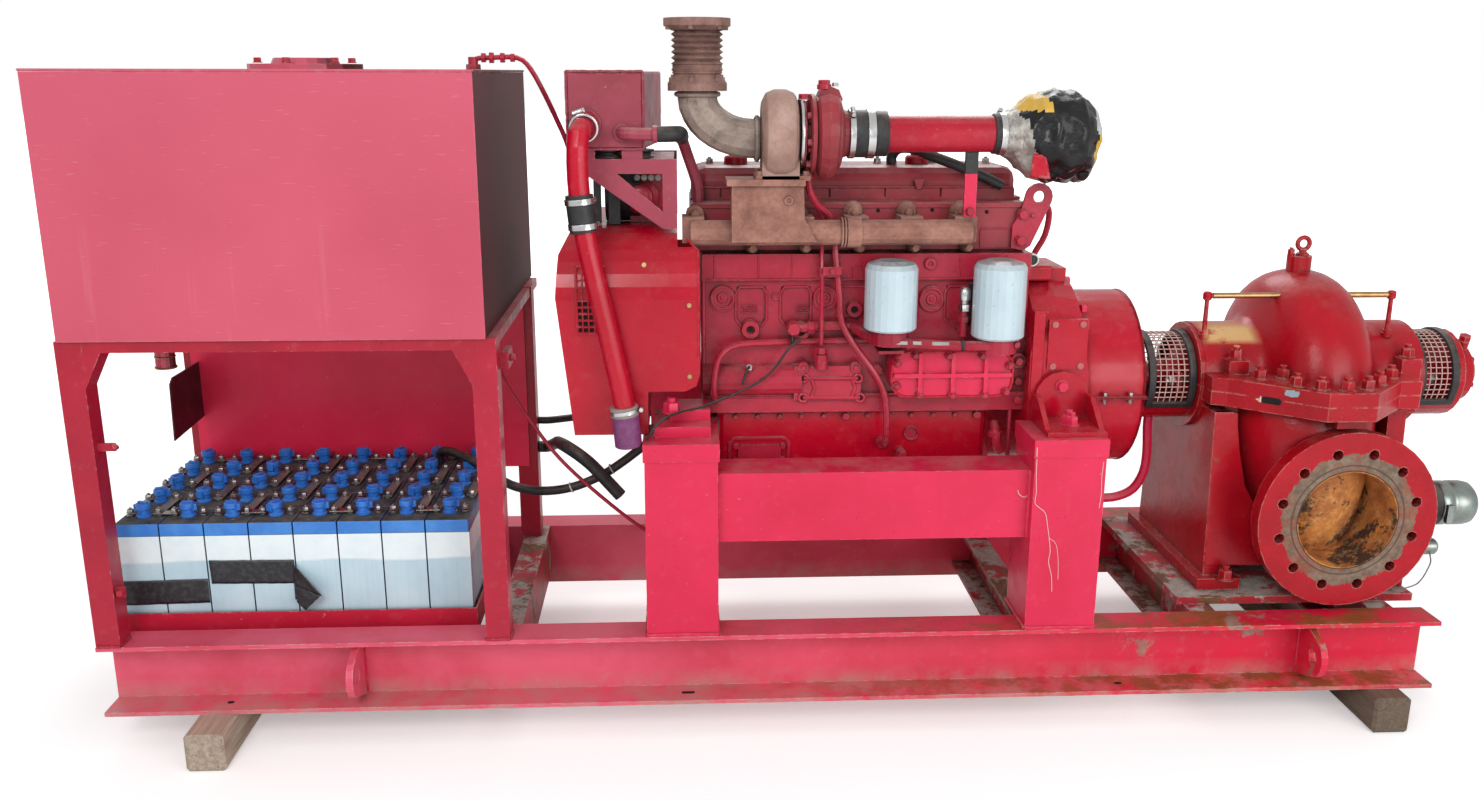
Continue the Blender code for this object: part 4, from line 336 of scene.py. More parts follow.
def tank_paint():
    """The tank's sheet: glossy, with pale scratches, rain streaks, a painted sheen towards the top and
    painted shade on its right side.
    """
    look = Look("tank_enamel", 0.3)
    look.base = look.blend(look.cloud(0.35, 0.7, 2.5, 3, 0.5), (0.6, 0.096, 0.15), (0.51, 0.07, 0.112))
    # Painted sheen: the sheet turns paler and pinker towards its top.
    sheen_towards_top = look.between(look.axis("Z"), SKID_CORNER.z + 0.8, SKID_CORNER.z + 1.27)
    look.over(sheen_towards_top, (0.54, 0.1, 0.16), 0.45)
    streak = look.noise(30.0, 5, 0.6, (1.0, 1.0, 0.05), 4.0)
    low = look.between(look.axis("Z"), SKID_CORNER.z + 1.02, SKID_CORNER.z + 0.9)
    runs = look.times(look.between(streak, 0.58, 0.72, 0.35), low)
    look.over(runs, (0.64, 0.22, 0.27))
    scratch = look.noise(26.0, 3, 0.5, (1.0, 1.0, 9.0), 8.0)
    look.over(look.between(scratch, 0.66, 0.7, 0.22), (0.66, 0.32, 0.34))
    # Painted shade: faces that look to the right are made almost black.
    side = look.between(look.facing("X"), 0.3, 0.9)
    look.over(side, (0.05, 0.003, 0.003), 0.95)
    settled = look.times(look.upward(), look.cloud(0.3, 0.62, 9.0, 6, 0.7, shift=5.0))
    look.over(settled, DUST, 0.5)
    worn = look.times(look.edges(0.004), look.cloud(0.47, 0.56, 45.0, 5, 0.7, shift=9.0))
    look.over(worn, (0.55, 0.26, 0.25), 0.5)
    look.rough(look.span(side, 0.26, 0.8))
    look.bump(look.noise(3.2, 2, 0.4), 0.004, 0.3)
    look.put("Specular IOR Level", 0.3)
    look.put("Coat Weight", 0.06)
    look.put("Coat Roughness", 0.18)
    return look.finished()


def neck_band(look):
    """1 on a patchy band across the top of the left neck."""
    left, right = NECK_BAND_SPAN
    low, high = NECK_BAND_LEVEL
    x, z = look.axis("X"), look.axis("Z")
    band = look.times(look.between(x, left, left + 0.02), look.between(x, right, right - 0.02))
    level = look.times(look.between(z, low, low + 0.01), look.between(z, high, high - 0.01))
    band = look.times(band, level)
    return look.times(band, look.cloud(0.36, 0.46, 15.0, 6, 0.7, (1, 1, 3), 9.0))


def branch_place(look):
    """Distance from the axis of both branches, and from the shaft's plane."""
    flat = look.node("ShaderNodeCombineXYZ", {"X": look.axis("X"), "Z": look.axis("Z")})
    radius = look.node("ShaderNodeVectorMath", {0: flat, 1: BRANCH_CENTRE}, "Value", operation="DISTANCE")
    return radius, look.node("ShaderNodeMath", {0: look.axis("Y")}, operation="ABSOLUTE")


def pump_paint():
    """The pump's castings: warm red, bare gasket faces with ragged paint round them, rusty bores."""
    look = Look("pump_enamel", 0.3)
    cloud = look.noise(5.0, 5, 0.65)
    look.base = look.blend(look.between(cloud, 0.38, 0.66), (0.43, 0.004, 0.014), (0.31, 0.003, 0.009))
    mottle = look.noise(45.0, 7, 0.75, shift=3.0)
    look.over(look.between(mottle, 0.6, 0.86, 0.1), (0.55, 0.12, 0.12))
    # Painted shade and soiling: corners and gaps found by ambient occlusion are darkened towards soot where
    # the mottle allows.
    crevice_shade = look.times(look.crevices(0.035), look.between(mottle, 0.3, 0.6, 0.75))
    look.over(crevice_shade, SOOT_AND_SHADE)
    settled = look.times(look.upward(), look.cloud(0.46, 0.66, 13.0, 6, 0.7, top=0.22, shift=5.0))
    look.over(settled, DUST)
    worn = look.times(look.edges(0.0035), look.cloud(0.42, 0.52, 50.0, 5, 0.7, top=0.75, shift=9.0))
    look.over(worn, (0.6, 0.36, 0.3))
    rust = look.cloud(0.66, 0.7, 8.0, 8, 0.75, top=0.7, shift=13.0)
    look.over(rust, look.blend(mottle, RUST_DARK, RUST_BRIGHT))
    # A patchy pale brass-coloured band across the top of the left neck.
    look.over(neck_band(look), (0.62, 0.38, 0.16))
    radius, out = branch_place(look)
    at_face = look.between(out, BRANCH_FACE - 0.0015, BRANCH_FACE - 0.001)
    feeds = {0: look.noise(24.0, 7, 0.7, shift=4.0), 1: RAGGED_PAINT, 2: radius}
    ragged = look.node("ShaderNodeMath", feeds, operation="MULTIPLY_ADD")
    bare = look.times(at_face, look.between(ragged, BARE_RADIUS, BARE_RADIUS - 0.002))
    grain = look.noise(60.0, 7, 0.75, shift=6.0)
    iron = look.blend(look.between(grain, 0.38, 0.62), (0.135, 0.092, 0.066), (0.25, 0.18, 0.13))
    iron = look.blend(look.cloud(0.48, 0.62, 15.0, 6, 0.7, top=0.6, shift=8.0), iron, (0.28, 0.06, 0.035))
    look.over(bare, iron)
    groove = look.times(look.between(radius, *GROOVE_INNER), look.between(radius, *GROOVE_OUTER))
    look.over(look.times(groove, at_face), (0.075, 0.045, 0.032), 0.75)
    ring = look.times(at_face, look.between(radius, *BORE_EDGE))
    look.over(ring, (0.06, 0.032, 0.024))
    inside = look.times(look.between(radius, *BORE_SKIN), look.between(out, 0.02, 0.04))
    flake = look.noise(12.0, 9, 0.72, shift=2.0)
    scale = look.blend(look.between(flake, 0.36, 0.58), (0.7, 0.29, 0.065), (0.36, 0.125, 0.04))
    scale = look.blend(look.cloud(0.52, 0.56, 9.0, 8, 0.75, shift=5.0), scale, (0.07, 0.036, 0.024))
    scale = look.blend(look.between(mottle, 0.52, 0.72, 0.6), scale, (0.85, 0.5, 0.2))
    look.over(inside, scale)
    bare = look.math("MAXIMUM", bare, inside)
    glare = look.span(look.noise(16.0, 4, shift=15.0), 0.08, 0.4)
    look.rough(look.node("ShaderNodeMix", {0: bare, 2: glare, 3: 0.85}))
    low = look.bump(look.noise(110.0, 6, 0.7), 0.0012, 0.5)
    look.bump(look.noise(20.0, 4, 0.55, shift=2.0), 0.0035, 0.35, low)
    look.put("Specular IOR Level", 0.28)
    return look.finished()


def cast_metal(name, bright, dark, roughness=0.75, metallic=0.15, grain=0.5, patch=None):
    """Bare cast or rusty metal in two shades with a rough skin, and soot or rust in patches."""
    look = Look(name, roughness, metallic)
    look.base = look.blend(look.cloud(0.36, 0.66, 14.0, 8, 0.7), dark, bright)
    fine = look.noise(120.0, 5, 0.7, shift=2.0)
    look.over(look.between(fine, 0.45, 0.75, 0.5), dark)
    if patch:
        look.over(look.cloud(0.52, 0.64, 6.0, 6, 0.7, top=0.85, shift=6.0), patch)
    # Painted shade: corners and gaps found by ambient occlusion are darkened towards soot.
    look.over(look.crevices(0.025), SOOT_AND_SHADE, 0.6)
    worn = look.times(look.edges(0.003), look.cloud(0.45, 0.6, 50.0, 4, shift=9.0))
    look.over(worn, tuple(min(1.0, 1.6 * c) for c in bright), 0.45)
    low = look.bump(fine, 0.0012, grain)
    look.bump(look.noise(26.0, 5, 0.6, shift=4.0), 0.003, grain * 0.6, low)
    return look.finished()


def bright_metal(name, colour, roughness=0.3, tarnish=0.35, stain=(0.2, 0.14, 0.1)):
    """Steel, chrome or brass with stains and fine scuffs."""
    look = Look(name, roughness, 1.0)
    look.base = look.blend(look.cloud(0.42, 0.7, 40.0, 6, 0.7, top=tarnish), colour, stain)
    scuff = look.noise(300.0, 3, 0.6, (1.0, 1.0, 0.2), 3.0)
    look.over(look.between(scuff, 0.45, 0.75, 0.25), tuple(0.55 * c for c in colour))
    # Painted shade: corners and gaps found by ambient occlusion are darkened towards soot.
    look.over(look.crevices(0.012), SOOT_AND_SHADE, 0.6)
    look.bump(look.noise(180.0, 4, 0.6, shift=6.0), 0.0004, 0.35)
    return look.finished()


def dull_plastic(name, colour, pale, roughness=0.45, dust=0.3, grain=0.2, scale=60.0):
    """Rubber, moulded plastic or tape, scuffed paler and dusty on top."""
    look = Look(name, roughness)
    look.base = look.blend(look.cloud(0.46, 0.76, scale, 6, 0.7, top=0.5), colour, pale)
    settled = look.times(look.upward(0.3, 0.95), look.cloud(0.35, 0.65, 30.0, 5, shift=5.0))
    look.over(settled, DUST, dust)
    look.over(look.edges(0.0015), pale, 0.25)
    low = look.bump(look.noise(400.0, 2, 0.5), 0.0003, grain)
    look.bump(look.noise(30.0, 4, 0.6, shift=4.0), 0.0015, grain, low)
    return look.finished()


def cell_case():
    """Translucent cell cases: white above the fill line, blue-grey acid below, cloudy and scuffed."""
    look = Look("cell_case_plastic", 0.28)
    feeds = {0: look.noise(5.0, 2, 0.5), 1: 0.02, 2: look.axis("Z")}
    height = look.node("ShaderNodeMath", feeds, operation="MULTIPLY_ADD")
    line = SKID_CORNER.z + 0.293
    dry = look.between(height, line, line + 0.006)
    wet = look.blend(look.cloud(0.35, 0.65, 6.0, 4, 0.6, shift=3.0), (0.4, 0.58, 0.66), (0.52, 0.69, 0.76))
    plates = look.noise(220.0, 2, 0.5, (1.0, 1.0, 0.02), 5.0)
    wet = look.blend(look.between(plates, 0.5, 0.62, 0.1), wet, (0.3, 0.42, 0.5))
    top = look.blend(look.cloud(0.45, 0.75, 16.0, 5, 0.7, top=0.5, shift=6.0), (0.76, 0.86, 0.88),
                     (0.56, 0.72, 0.79))
    look.base = look.blend(dry, wet, top)
    lid_line = SKID_CORNER.z + CELLS_TOP - LID_HEIGHT
    look.over(look.between(look.axis("Z"), lid_line - 0.001, lid_line), (0.02, 0.06, 0.16))
    # Painted shade: corners and gaps found by ambient occlusion are darkened to blue-grey.
    crevice_shade = look.times(look.crevices(0.01), 0.8)
    look.over(crevice_shade, (0.1, 0.13, 0.16))
    low = look.between(look.axis("Z"), SKID_CORNER.z + 0.19, SKID_CORNER.z + 0.15, 0.45)
    look.over(look.times(low, look.noise(20.0, 5)), (0.3, 0.26, 0.23))
    look.bump(look.noise(18.0, 3, 0.5, shift=8.0), 0.002, 0.25)
    look.put("Subsurface Weight", 0.08)
    look.put("Subsurface Radius", (0.01, 0.01, 0.01))
    return look.finished()


def lid_plastic():
    """Cell lids: bright blue round the sides, dark with dust and acid stains on top."""
    look = Look("blue_lid_plastic", 0.34)
    look.base = look.blend(look.cloud(0.4, 0.7, 30.0, 5, 0.6), (0.035, 0.19, 0.6), (0.06, 0.26, 0.68))
    stain = look.noise(34.0, 6, 0.7, shift=5.0)
    top = look.blend(look.between(stain, 0.34, 0.62), (0.018, 0.03, 0.038), (0.125, 0.125, 0.105))
    top = look.blend(look.cloud(0.6, 0.7, 110.0, 4, 0.6, top=0.6, shift=3.0), top, (0.34, 0.31, 0.27))
    look.over(look.upward(0.5, 0.8), top)
    # Painted shade: corners and gaps found by ambient occlusion are darkened to deep blue.
    look.over(look.crevices(0.006), (0.01, 0.016, 0.03), 0.7)
    look.rough(look.span(look.upward(0.5, 0.8), 0.34, 0.7))
    look.bump(look.noise(120.0, 4, 0.6, shift=6.0), 0.0006, 0.4)
    return look.finished()


def timber():
    """Weathered sawn timber: long grain along the bearer, dark cracks, browner tops."""
    look = Look("weathered_sawn_timber", 0.85)
    grain = look.noise(22.0, 8, 0.7, (6.0, 0.35, 6.0))
    look.base = look.blend(look.between(grain, 0.35, 0.65), (0.17, 0.125, 0.095), (0.33, 0.26, 0.2))
    crack = look.noise(34.0, 4, 0.6, (5.0, 0.12, 5.0), 5.0)
    look.over(look.between(crack, 0.62, 0.68), (0.1, 0.075, 0.055))
    look.over(look.cloud(0.5, 0.7, 7.0, 5, 0.7, top=0.45, shift=3.0), (0.22, 0.17, 0.13))
    look.over(look.upward(), (0.3, 0.2, 0.15), 0.45)
    right = look.between(look.axis("X"), -0.4, 0.4)
    look.base = look.blend(right, look.tint(look.base, (1.55, 1.6, 1.62)),
                           look.tint(look.base, (0.56, 0.52, 0.48)))
    low = look.bump(grain, 0.0025, 0.7)
    look.bump(crack, -0.003, 0.5, low)
    return look.finished()


def filter_can():
    """Pale blue enamel with a dusty top."""
    look = Look("filter_enamel", 0.3)
    look.base = look.blend(look.cloud(0.4, 0.7, 10.0, 4), (0.46, 0.59, 0.65), (0.54, 0.66, 0.71))
    dusty = look.times(look.upward(0.15, 0.85), look.cloud(0.28, 0.58, 26.0, 7, 0.75, shift=5.0))
    look.over(dusty, (0.22, 0.2, 0.18), 0.85)
    specks = look.cloud(0.68, 0.72, 130.0, 3, 0.5, top=0.5, shift=7.0)
    look.over(specks, (0.25, 0.22, 0.2))
    look.bump(look.noise(25.0, 3, shift=2.0), 0.001, 0.2)
    look.put("Coat Weight", 0.3)
    return look.finished()


def metal_foil():
    """Crumpled silver foil."""
    look = Look("silver_foil", 0.32, 0.85)
    look.base = look.blend(look.cloud(0.4, 0.7, 60.0, 5), (0.62, 0.6, 0.55), (0.3, 0.28, 0.25))
    look.bump(look.noise(70.0, 6, 0.7, shift=3.0), 0.006, 0.9)
    return look.finished()


def wrap_tape():
    """Glossy black tape with pale creases."""
    look = Look("glossy_black_tape", 0.2)
    crease = look.noise(26.0, 7, 0.75, (1.0, 1.0, 2.2))
    look.base = look.blend(look.between(crease, 0.68, 0.72), (0.004, 0.004, 0.005), (0.3, 0.31, 0.32))
    look.put("Specular IOR Level", 0.25)
    look.bump(look.noise(38.0, 5, 0.65, (1.0, 1.0, 1.8), 4.0), 0.006, 0.8)
    look.put("Coat Weight", 0.3)
    look.put("Coat Roughness", 0.12)
    return look.finished()


RED_BRIGHT = paint("red_enamel", (0.7, 0.019, 0.08), (0.6, 0.013, 0.058), 0.45, 0.4, 0.35, 0.3)
RED_FRAME = paint("stand_enamel", (0.42, 0.012, 0.036), (0.32, 0.008, 0.025), 0.6, 0.4, 0.45, 0.34)
RED_TRAY = paint("tray_enamel", (0.52, 0.012, 0.04), (0.42, 0.009, 0.03), 0.7, 0.4, 0.3, 0.34)
# Painted light: the rear panel lies in shade behind the cells, so its enamel is made far brighter than the
# stand's to stand in for light on it.
LIT_PANEL_RED = paint("panel_enamel_painted_light", (0.86, 0.025, 0.09), (0.76, 0.016, 0.065), 0.4, 0.3, 0.2, 0.36)
RED_ENGINE = paint("engine_enamel", (0.48, 0.022, 0.052), (0.28, 0.01, 0.028), 0.35, 0.5, 1.0, 0.24, 0.35)
RED_GUARD = paint("guard_enamel", (0.47, 0.002, 0.02), (0.38, 0.001, 0.014), 0.25, 0.15, 0.45, 0.2, 0.06)
RED_DULL = paint("dull_enamel", (0.31, 0.032, 0.042), (0.15, 0.018, 0.022), 0.35, 0.6, 0.7, 0.48, 0.35)
RED_PUMP = pump_paint()
RED_DRUM = paint("drum_enamel", (0.47, 0.002, 0.02), (0.38, 0.001, 0.014), 0.25, 0.15, 0.45, 0.2, 0.06,
                 soften=0.03)
RED_PIPE = paint("pipe_enamel", (0.47, 0.002, 0.02), (0.38, 0.001, 0.014), 0.35, 0.15, 0.45, 0.18, 0.06,
                 soften=0.012)
RED_INTAKE = paint("intake_enamel", (0.44, 0.01, 0.03), (0.34, 0.006, 0.02), 0.5, 0.45, 0.45, 0.22,
                   soften=0.02)
RED_HEAD = paint("head_enamel", (0.34, 0.036, 0.05), (0.19, 0.018, 0.026), 0.35, 0.6, 0.95, 0.34, 0.4)
RED_HEADER = paint("header_enamel", (0.36, 0.055, 0.09), (0.24, 0.03, 0.045), 0.6, 0.8, 0.6, 0.42)
RED_DARK = paint("maroon_enamel", (0.06, 0.006, 0.01), (0.03, 0.004, 0.006), 0.2, 0.2, 0.3, 0.4)
RED_DECK = deck_paint()
SKID_PAINT = skid_paint()
TANK_PAINT = tank_paint()
MANIFOLD_IRON = cast_metal("rusty_manifold_iron", (0.44, 0.22, 0.165), (0.2, 0.082, 0.06), 0.8, 0.1, 0.8)
BELLOWS_IRON = cast_metal("rusty_bellows_iron", (0.36, 0.2, 0.165), (0.15, 0.076, 0.062), 0.75, 0.2, 0.5)
TURBINE_IRON = cast_metal("heat_pale_iron", (0.46, 0.3, 0.25), (0.3, 0.17, 0.13), 0.75, 0.15, 0.5)
ELBOW_IRON = cast_metal("sooty_elbow_iron", (0.46, 0.36, 0.3), (0.2, 0.155, 0.13), 0.7, 0.25, 0.6, SOOT_AND_SHADE)
STEEL = bright_metal("dull_steel", (0.5, 0.48, 0.45), 0.36)
CHROME = bright_metal("silver_plating", (0.72, 0.72, 0.72), 0.24, 0.15)
BRASS = bright_metal("worn_brass", (0.55, 0.34, 0.16), 0.38, 0.5, (0.22, 0.08, 0.04))
LINK_METAL = cast_metal("worn_link_metal", (0.3, 0.29, 0.25), (0.11, 0.1, 0.09), 0.42, 0.15, 0.2)
COUPLING_METAL = bright_metal("dull_plating", (0.33, 0.38, 0.36), 0.34, 0.4)
CHIP_GREY = dull_plastic("blue_grey_undercoat", (0.26, 0.33, 0.38), (0.42, 0.48, 0.5), 0.6, 0.2)
CHIP_CREAM = dull_plastic("cream_undercoat", (0.62, 0.46, 0.26), (0.74, 0.66, 0.5), 0.6, 0.2)
SCREW_PAINT = dull_plastic("worn_screw_paint", (0.42, 0.09, 0.09), (0.6, 0.4, 0.38))
RUBBER = dull_plastic("black_hose_rubber", (0.014, 0.014, 0.015), (0.06, 0.058, 0.055), 0.5, 0.35)
CABLE_RUBBER = dull_plastic("black_cable_rubber", (0.012, 0.012, 0.013), (0.05, 0.05, 0.048), 0.42, 0.3)
BLUE_LID = lid_plastic()
BLUE_CAP = dull_plastic("blue_cap_plastic", (0.02, 0.15, 0.58), (0.1, 0.32, 0.75), 0.28, 0.1)
PALE_PLASTIC = dull_plastic("white_tie_plastic", (0.7, 0.7, 0.66), (0.45, 0.42, 0.38), 0.5, 0.3)
PURPLE_RUBBER = dull_plastic("purple_hose_rubber", (0.16, 0.03, 0.12), (0.3, 0.14, 0.3), 0.5, 0.3)
TAPE = dull_plastic("black_cloth_tape", (0.012, 0.013, 0.016), (0.1, 0.11, 0.12), 0.35, 0.2, 0.5, 90.0)
YELLOW_TAPE = dull_plastic("yellow_tape", (0.62, 0.36, 0.03), (0.7, 0.55, 0.25), 0.45, 0.2, 0.6)
GREY_TAPE = dull_plastic("grey_cloth_tape", (0.42, 0.42, 0.4), (0.62, 0.62, 0.6), 0.4, 0.2, 0.6)
PALE_WIRE = dull_plastic("pale_mesh_wire", (0.55, 0.34, 0.3), (0.7, 0.58, 0.54), 0.45, 0.2)
PALE_PAINT = dull_plastic("pale_paint_drip", (0.7, 0.52, 0.5), (0.8, 0.68, 0.66), 0.5, 0.1)
PALE_DUST = dull_plastic("dusty_grey_rubber", (0.24, 0.2, 0.18), (0.42, 0.36, 0.33), 0.7, 0.5, 0.6)
# Painted shade: a near-black finish for thin patches laid where holes, slots and recesses would be dark;
# nothing is cut into the solids.
HOLE_SHADE = dull_plastic("painted_hole_shade", (0.006, 0.003, 0.004), (0.02, 0.008, 0.01), 0.9, 0.0)
CELL_CASE = cell_case()
TIMBER = timber()
FILTER_CAN = filter_can()
FOIL = metal_foil()
WRAP_TAPE = wrap_tape()

NODE_LOOKS = {
    SKID_PAINT: ("skid_channel_front", "skid_channel_rear"),
    RED_DECK: ("skid_cross_member_stand", "skid_cross_member_engine", "pump_bed"),
    TIMBER: ("timber_bearer_left", "timber_bearer_right"),
    TANK_PAINT: ("fuel_tank_shell", "fuel_tank_roof"),
    RED_FRAME: ("stand_front_frame", "stand_rear_frame"),
    RED_DRUM: ("coupling_guard",),
    RED_PIPE: ("coolant_pipe",),
    RED_INTAKE: ("intake_pipe",),
    RED_TRAY: ("battery_tray",),
    LIT_PANEL_RED: ("stand_rear_panel",),
    RED_DARK: ("stand_flap",),
    CELL_CASE: ("battery_cells",),
    RED_BRIGHT: (
        "pedestal_front", "pedestal_rear", "engine_foot_front", "engine_foot_rear", "oil_cooler_cover",
        "intake_support_bar", "gland_drain_pipe",
    ),
    RED_ENGINE: (
        "engine_block", "filter_head", "turbo_oil_pipes", "oil_return_pipe", "lifting_bracket",
        "housing_vent_pipe", "fuel_line", "tank_vent_pipe",
    ),
    RED_HEAD: ("cylinder_head", "rocker_cover"),
    RED_HEADER: ("header_tank", "header_bracket", "header_side_pipe"),
    RED_GUARD: (
        "belt_guard", "flywheel_housing", "housing_bracket_front", "housing_bracket_rear", "sump",
    ),
    RED_DULL: ("compressor_housing",),
    RED_PUMP: ("pump_upper_casing", "pump_lower_casing"),
    MANIFOLD_IRON: ("exhaust_manifold",),
    BELLOWS_IRON: ("exhaust_bellows",),
    TURBINE_IRON: ("turbine_housing",),
    ELBOW_IRON: ("exhaust_elbow",),
    FILTER_CAN: ("oil_filter_1", "oil_filter_2"),
    RUBBER: ("belt_pulley", "gland_guard_left", "gland_guard_right"),
    CABLE_RUBBER: ("battery_cable", "open_hose", "starter_cable", "breather_hose"),
    WRAP_TAPE: ("wrapped_inlet",),
}


def finish_nodes():
    """Each CAD node takes its own finish."""
    for look, names in NODE_LOOKS.items():
        for name in names:
            mesh = NODES[name].data
            mesh.materials.clear()
            mesh.materials.append(look)


# Solids


def across(axis):
    """The turn that takes +Z to an axis."""
    return Vector(axis).normalized().to_track_quat("Z", "Y").to_matrix()


# Slots and directions
DARK_RED = "dark_red_paint"
BLACK = "black_rubber"
X_AXIS = (1, 0, 0)
Z_AXIS = (0, 0, 1)
FRONT = (0, -1, 0)


class Batch:
    """Solids of one finish, written in skid coordinates and joined into one piece."""

    def __init__(self, name, look, slot="red_paint"):
        self.name = name
        self.look = look
        self.slot = slot
        self.mesh = bmesh.new()

    def skin(self, loops, ends=True, closed=False):
        """Faces between rings of points, with a lid on each end."""
        rows = [[self.mesh.verts.new(p) for p in loop] for loop in loops]
        pairs = list(zip(rows, rows[1:]))
        if closed:
            pairs.append((rows[-1], rows[0]))
        for low, high in pairs:
            for i in range(len(low)):
                j = (i + 1) % len(low)
                self.mesh.faces.new((low[i], low[j], high[j], high[i]))
        if ends and not closed:
            self.mesh.faces.new(list(reversed(rows[0])))
            self.mesh.faces.new(rows[-1])

    def box(self, x, y, z):
        corners = [(x[0], y[0]), (x[1], y[0]), (x[1], y[1]), (x[0], y[1])]
        self.skin([[(a, b, height) for a, b in corners] for height in z])

    def prism(self, outline, base, axis, thick):
        """An outline around a base point, pushed out along an axis."""
        turn = across(axis)
        base = Vector(base)
        loops = [[base + turn @ Vector((a, b, h)) for a, b in outline] for h in (0, thick)]
        self.skin(loops)

    def lathe(self, profile, base, axis=Z_AXIS, sides=20, closed=False):
        """A profile of (radius, height) turned about an axis from a base point."""
        turn = across(axis)
        base = Vector(base)
        steps = [2 * pi * i / sides for i in range(sides)]
        loops = []
        for radius, height in profile:
            ring = [(radius * cos(a), radius * sin(a), height) for a in steps]
            loops.append([base + turn @ Vector(p) for p in ring])
        self.skin(loops, True, closed)

    def drum(self, base, axis, radius, length, sides=20, chamfer=0.001):
        c = min(chamfer, length / 3, radius / 3)
        profile = [(radius - c, 0), (radius, c), (radius, length - c), (radius - c, length)]
        self.lathe(profile, base, axis, sides)

    def ring(self, base, axis, radius, thick, sides=24, across_sides=8):
        """A round ring: radius to the middle of its thickness."""
        steps = [2 * pi * i / across_sides for i in range(across_sides)]
        profile = [(radius + thick * cos(a), thick * sin(a)) for a in steps]
        self.lathe(profile, base, axis, sides, True)

    def hexagon(self, base, axis, width, height, turn=0.0):
        r = width / sqrt(3)
        points = [(r * cos(turn + pi * i / 3), r * sin(turn + pi * i / 3)) for i in range(6)]
        small = [(a * 0.9, b * 0.9) for a, b in points]
        frame_turn = across(axis)
        base = Vector(base)
        levels = [(points, 0), (points, height * 0.85), (small, height)]
        self.skin([[base + frame_turn @ Vector((a, b, h)) for a, b in ring] for ring, h in levels])

    def bolt(self, base, axis, width, turn=None):
        """A washer and a hexagon head."""
        turn = random.random() if turn is None else turn
        way = Vector(axis).normalized()
        self.drum(base, axis, width * 0.68, width * 0.12, 16, 0.0003)
        self.hexagon(Vector(base) + way * width * 0.12, axis, width, width * 0.62, turn)

    def nut(self, base, axis, width, turn=None):
        """A washer, a nut and the stud's end."""
        turn = random.random() if turn is None else turn
        way = Vector(axis).normalized()
        self.drum(base, axis, width * 0.72, width * 0.1, 16, 0.0003)
        self.hexagon(Vector(base) + way * width * 0.1, axis, width, width * 0.75, turn)
        self.drum(Vector(base) + way * width * 0.8, axis, width * 0.3, width * 0.42, 12, 0.001)

    def tube(self, points, radius, sides=10):
        """A round bar along points, with its rings square to the route."""
        points = [Vector(p) for p in points]
        normal = None
        loops = []
        for i, point in enumerate(points):
            way = (points[min(i + 1, len(points) - 1)] - points[max(i - 1, 0)]).normalized()
            if normal is None:
                normal = way.orthogonal().normalized()
            normal = (normal - way * normal.dot(way)).normalized()
            side = way.cross(normal)
            steps = [2 * pi * k / sides for k in range(sides)]
            loops.append([point + radius * (normal * cos(a) + side * sin(a)) for a in steps])
        self.skin(loops)

    def band(self, points, way, width, thick):
        """A flat strip along points; way is the direction of its width."""
        points = [Vector(p) for p in points]
        way = Vector(way).normalized() * width / 2
        loops = []
        for i, point in enumerate(points):
            run = (points[min(i + 1, len(points) - 1)] - points[max(i - 1, 0)]).normalized()
            out = run.cross(way).normalized() * thick / 2
            loops.append([point - way - out, point + way - out, point + way + out, point - way + out])
        self.skin(loops)

    def done(self, bevel=0.0, steps=1, angle=35):
        """The joined piece, riding on the set, with its own small bevels."""
        bmesh.ops.recalc_face_normals(self.mesh, faces=self.mesh.faces)
        data = bpy.data.meshes.new(self.name)
        bmesh.ops.translate(self.mesh, verts=self.mesh.verts, vec=SKID_CORNER)
        self.mesh.to_mesh(data)
        self.mesh.free()
        data.materials.append(self.look)
        piece = placed(self.name, data)
        for face in data.polygons:
            face.use_smooth = True
        data.set_sharp_from_angle(angle=radians(angle))
        if bevel:
            rounding = piece.modifiers.new("bevel", "BEVEL")
            rounding.width = bevel
            rounding.segments = steps
            rounding.limit_method = "ANGLE"
            rounding.angle_limit = radians(angle)
            rounding.harden_normals = True
        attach(piece, "root")
        return piece


def smooth_route(points, per_span=5):
    """More points along a Catmull-Rom curve through the given ones."""
    p = [Vector(q) for q in points]
    p = [2 * p[0] - p[1], *p, 2 * p[-1] - p[-2]]
    route = []
    for a, b, c, d in zip(p, p[1:], p[2:], p[3:]):
        for i in range(per_span):
            t = i / per_span
            square = (2 * a - 5 * b + 4 * c - d) * t**2
            cube = (3 * b - a - 3 * c + d) * t**3
            route.append(0.5 * (2 * b + (c - a) * t + square + cube))
    route.append(p[-2])
    return route


# Cords


def cord(name, node, places, diameter, look):
    """A free cord along its CAD route, in place of its CAD node."""
    route = [p + SKID_CORNER for p in smooth_route(places)]
    data = bpy.data.curves.new(name, "CURVE")
    data.dimensions = "3D"
    line = data.splines.new("POLY")
    line.points.add(len(route) - 1)
    for point, place in zip(line.points, route):
        point.co = (*place, 1.0)
    data.bevel_depth = diameter / 2
    data.bevel_resolution = 4
    data.use_fill_caps = True
    data.materials.append(look)
    piece = placed(name, data)
    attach(piece, "root")
    if node:
        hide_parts(node)


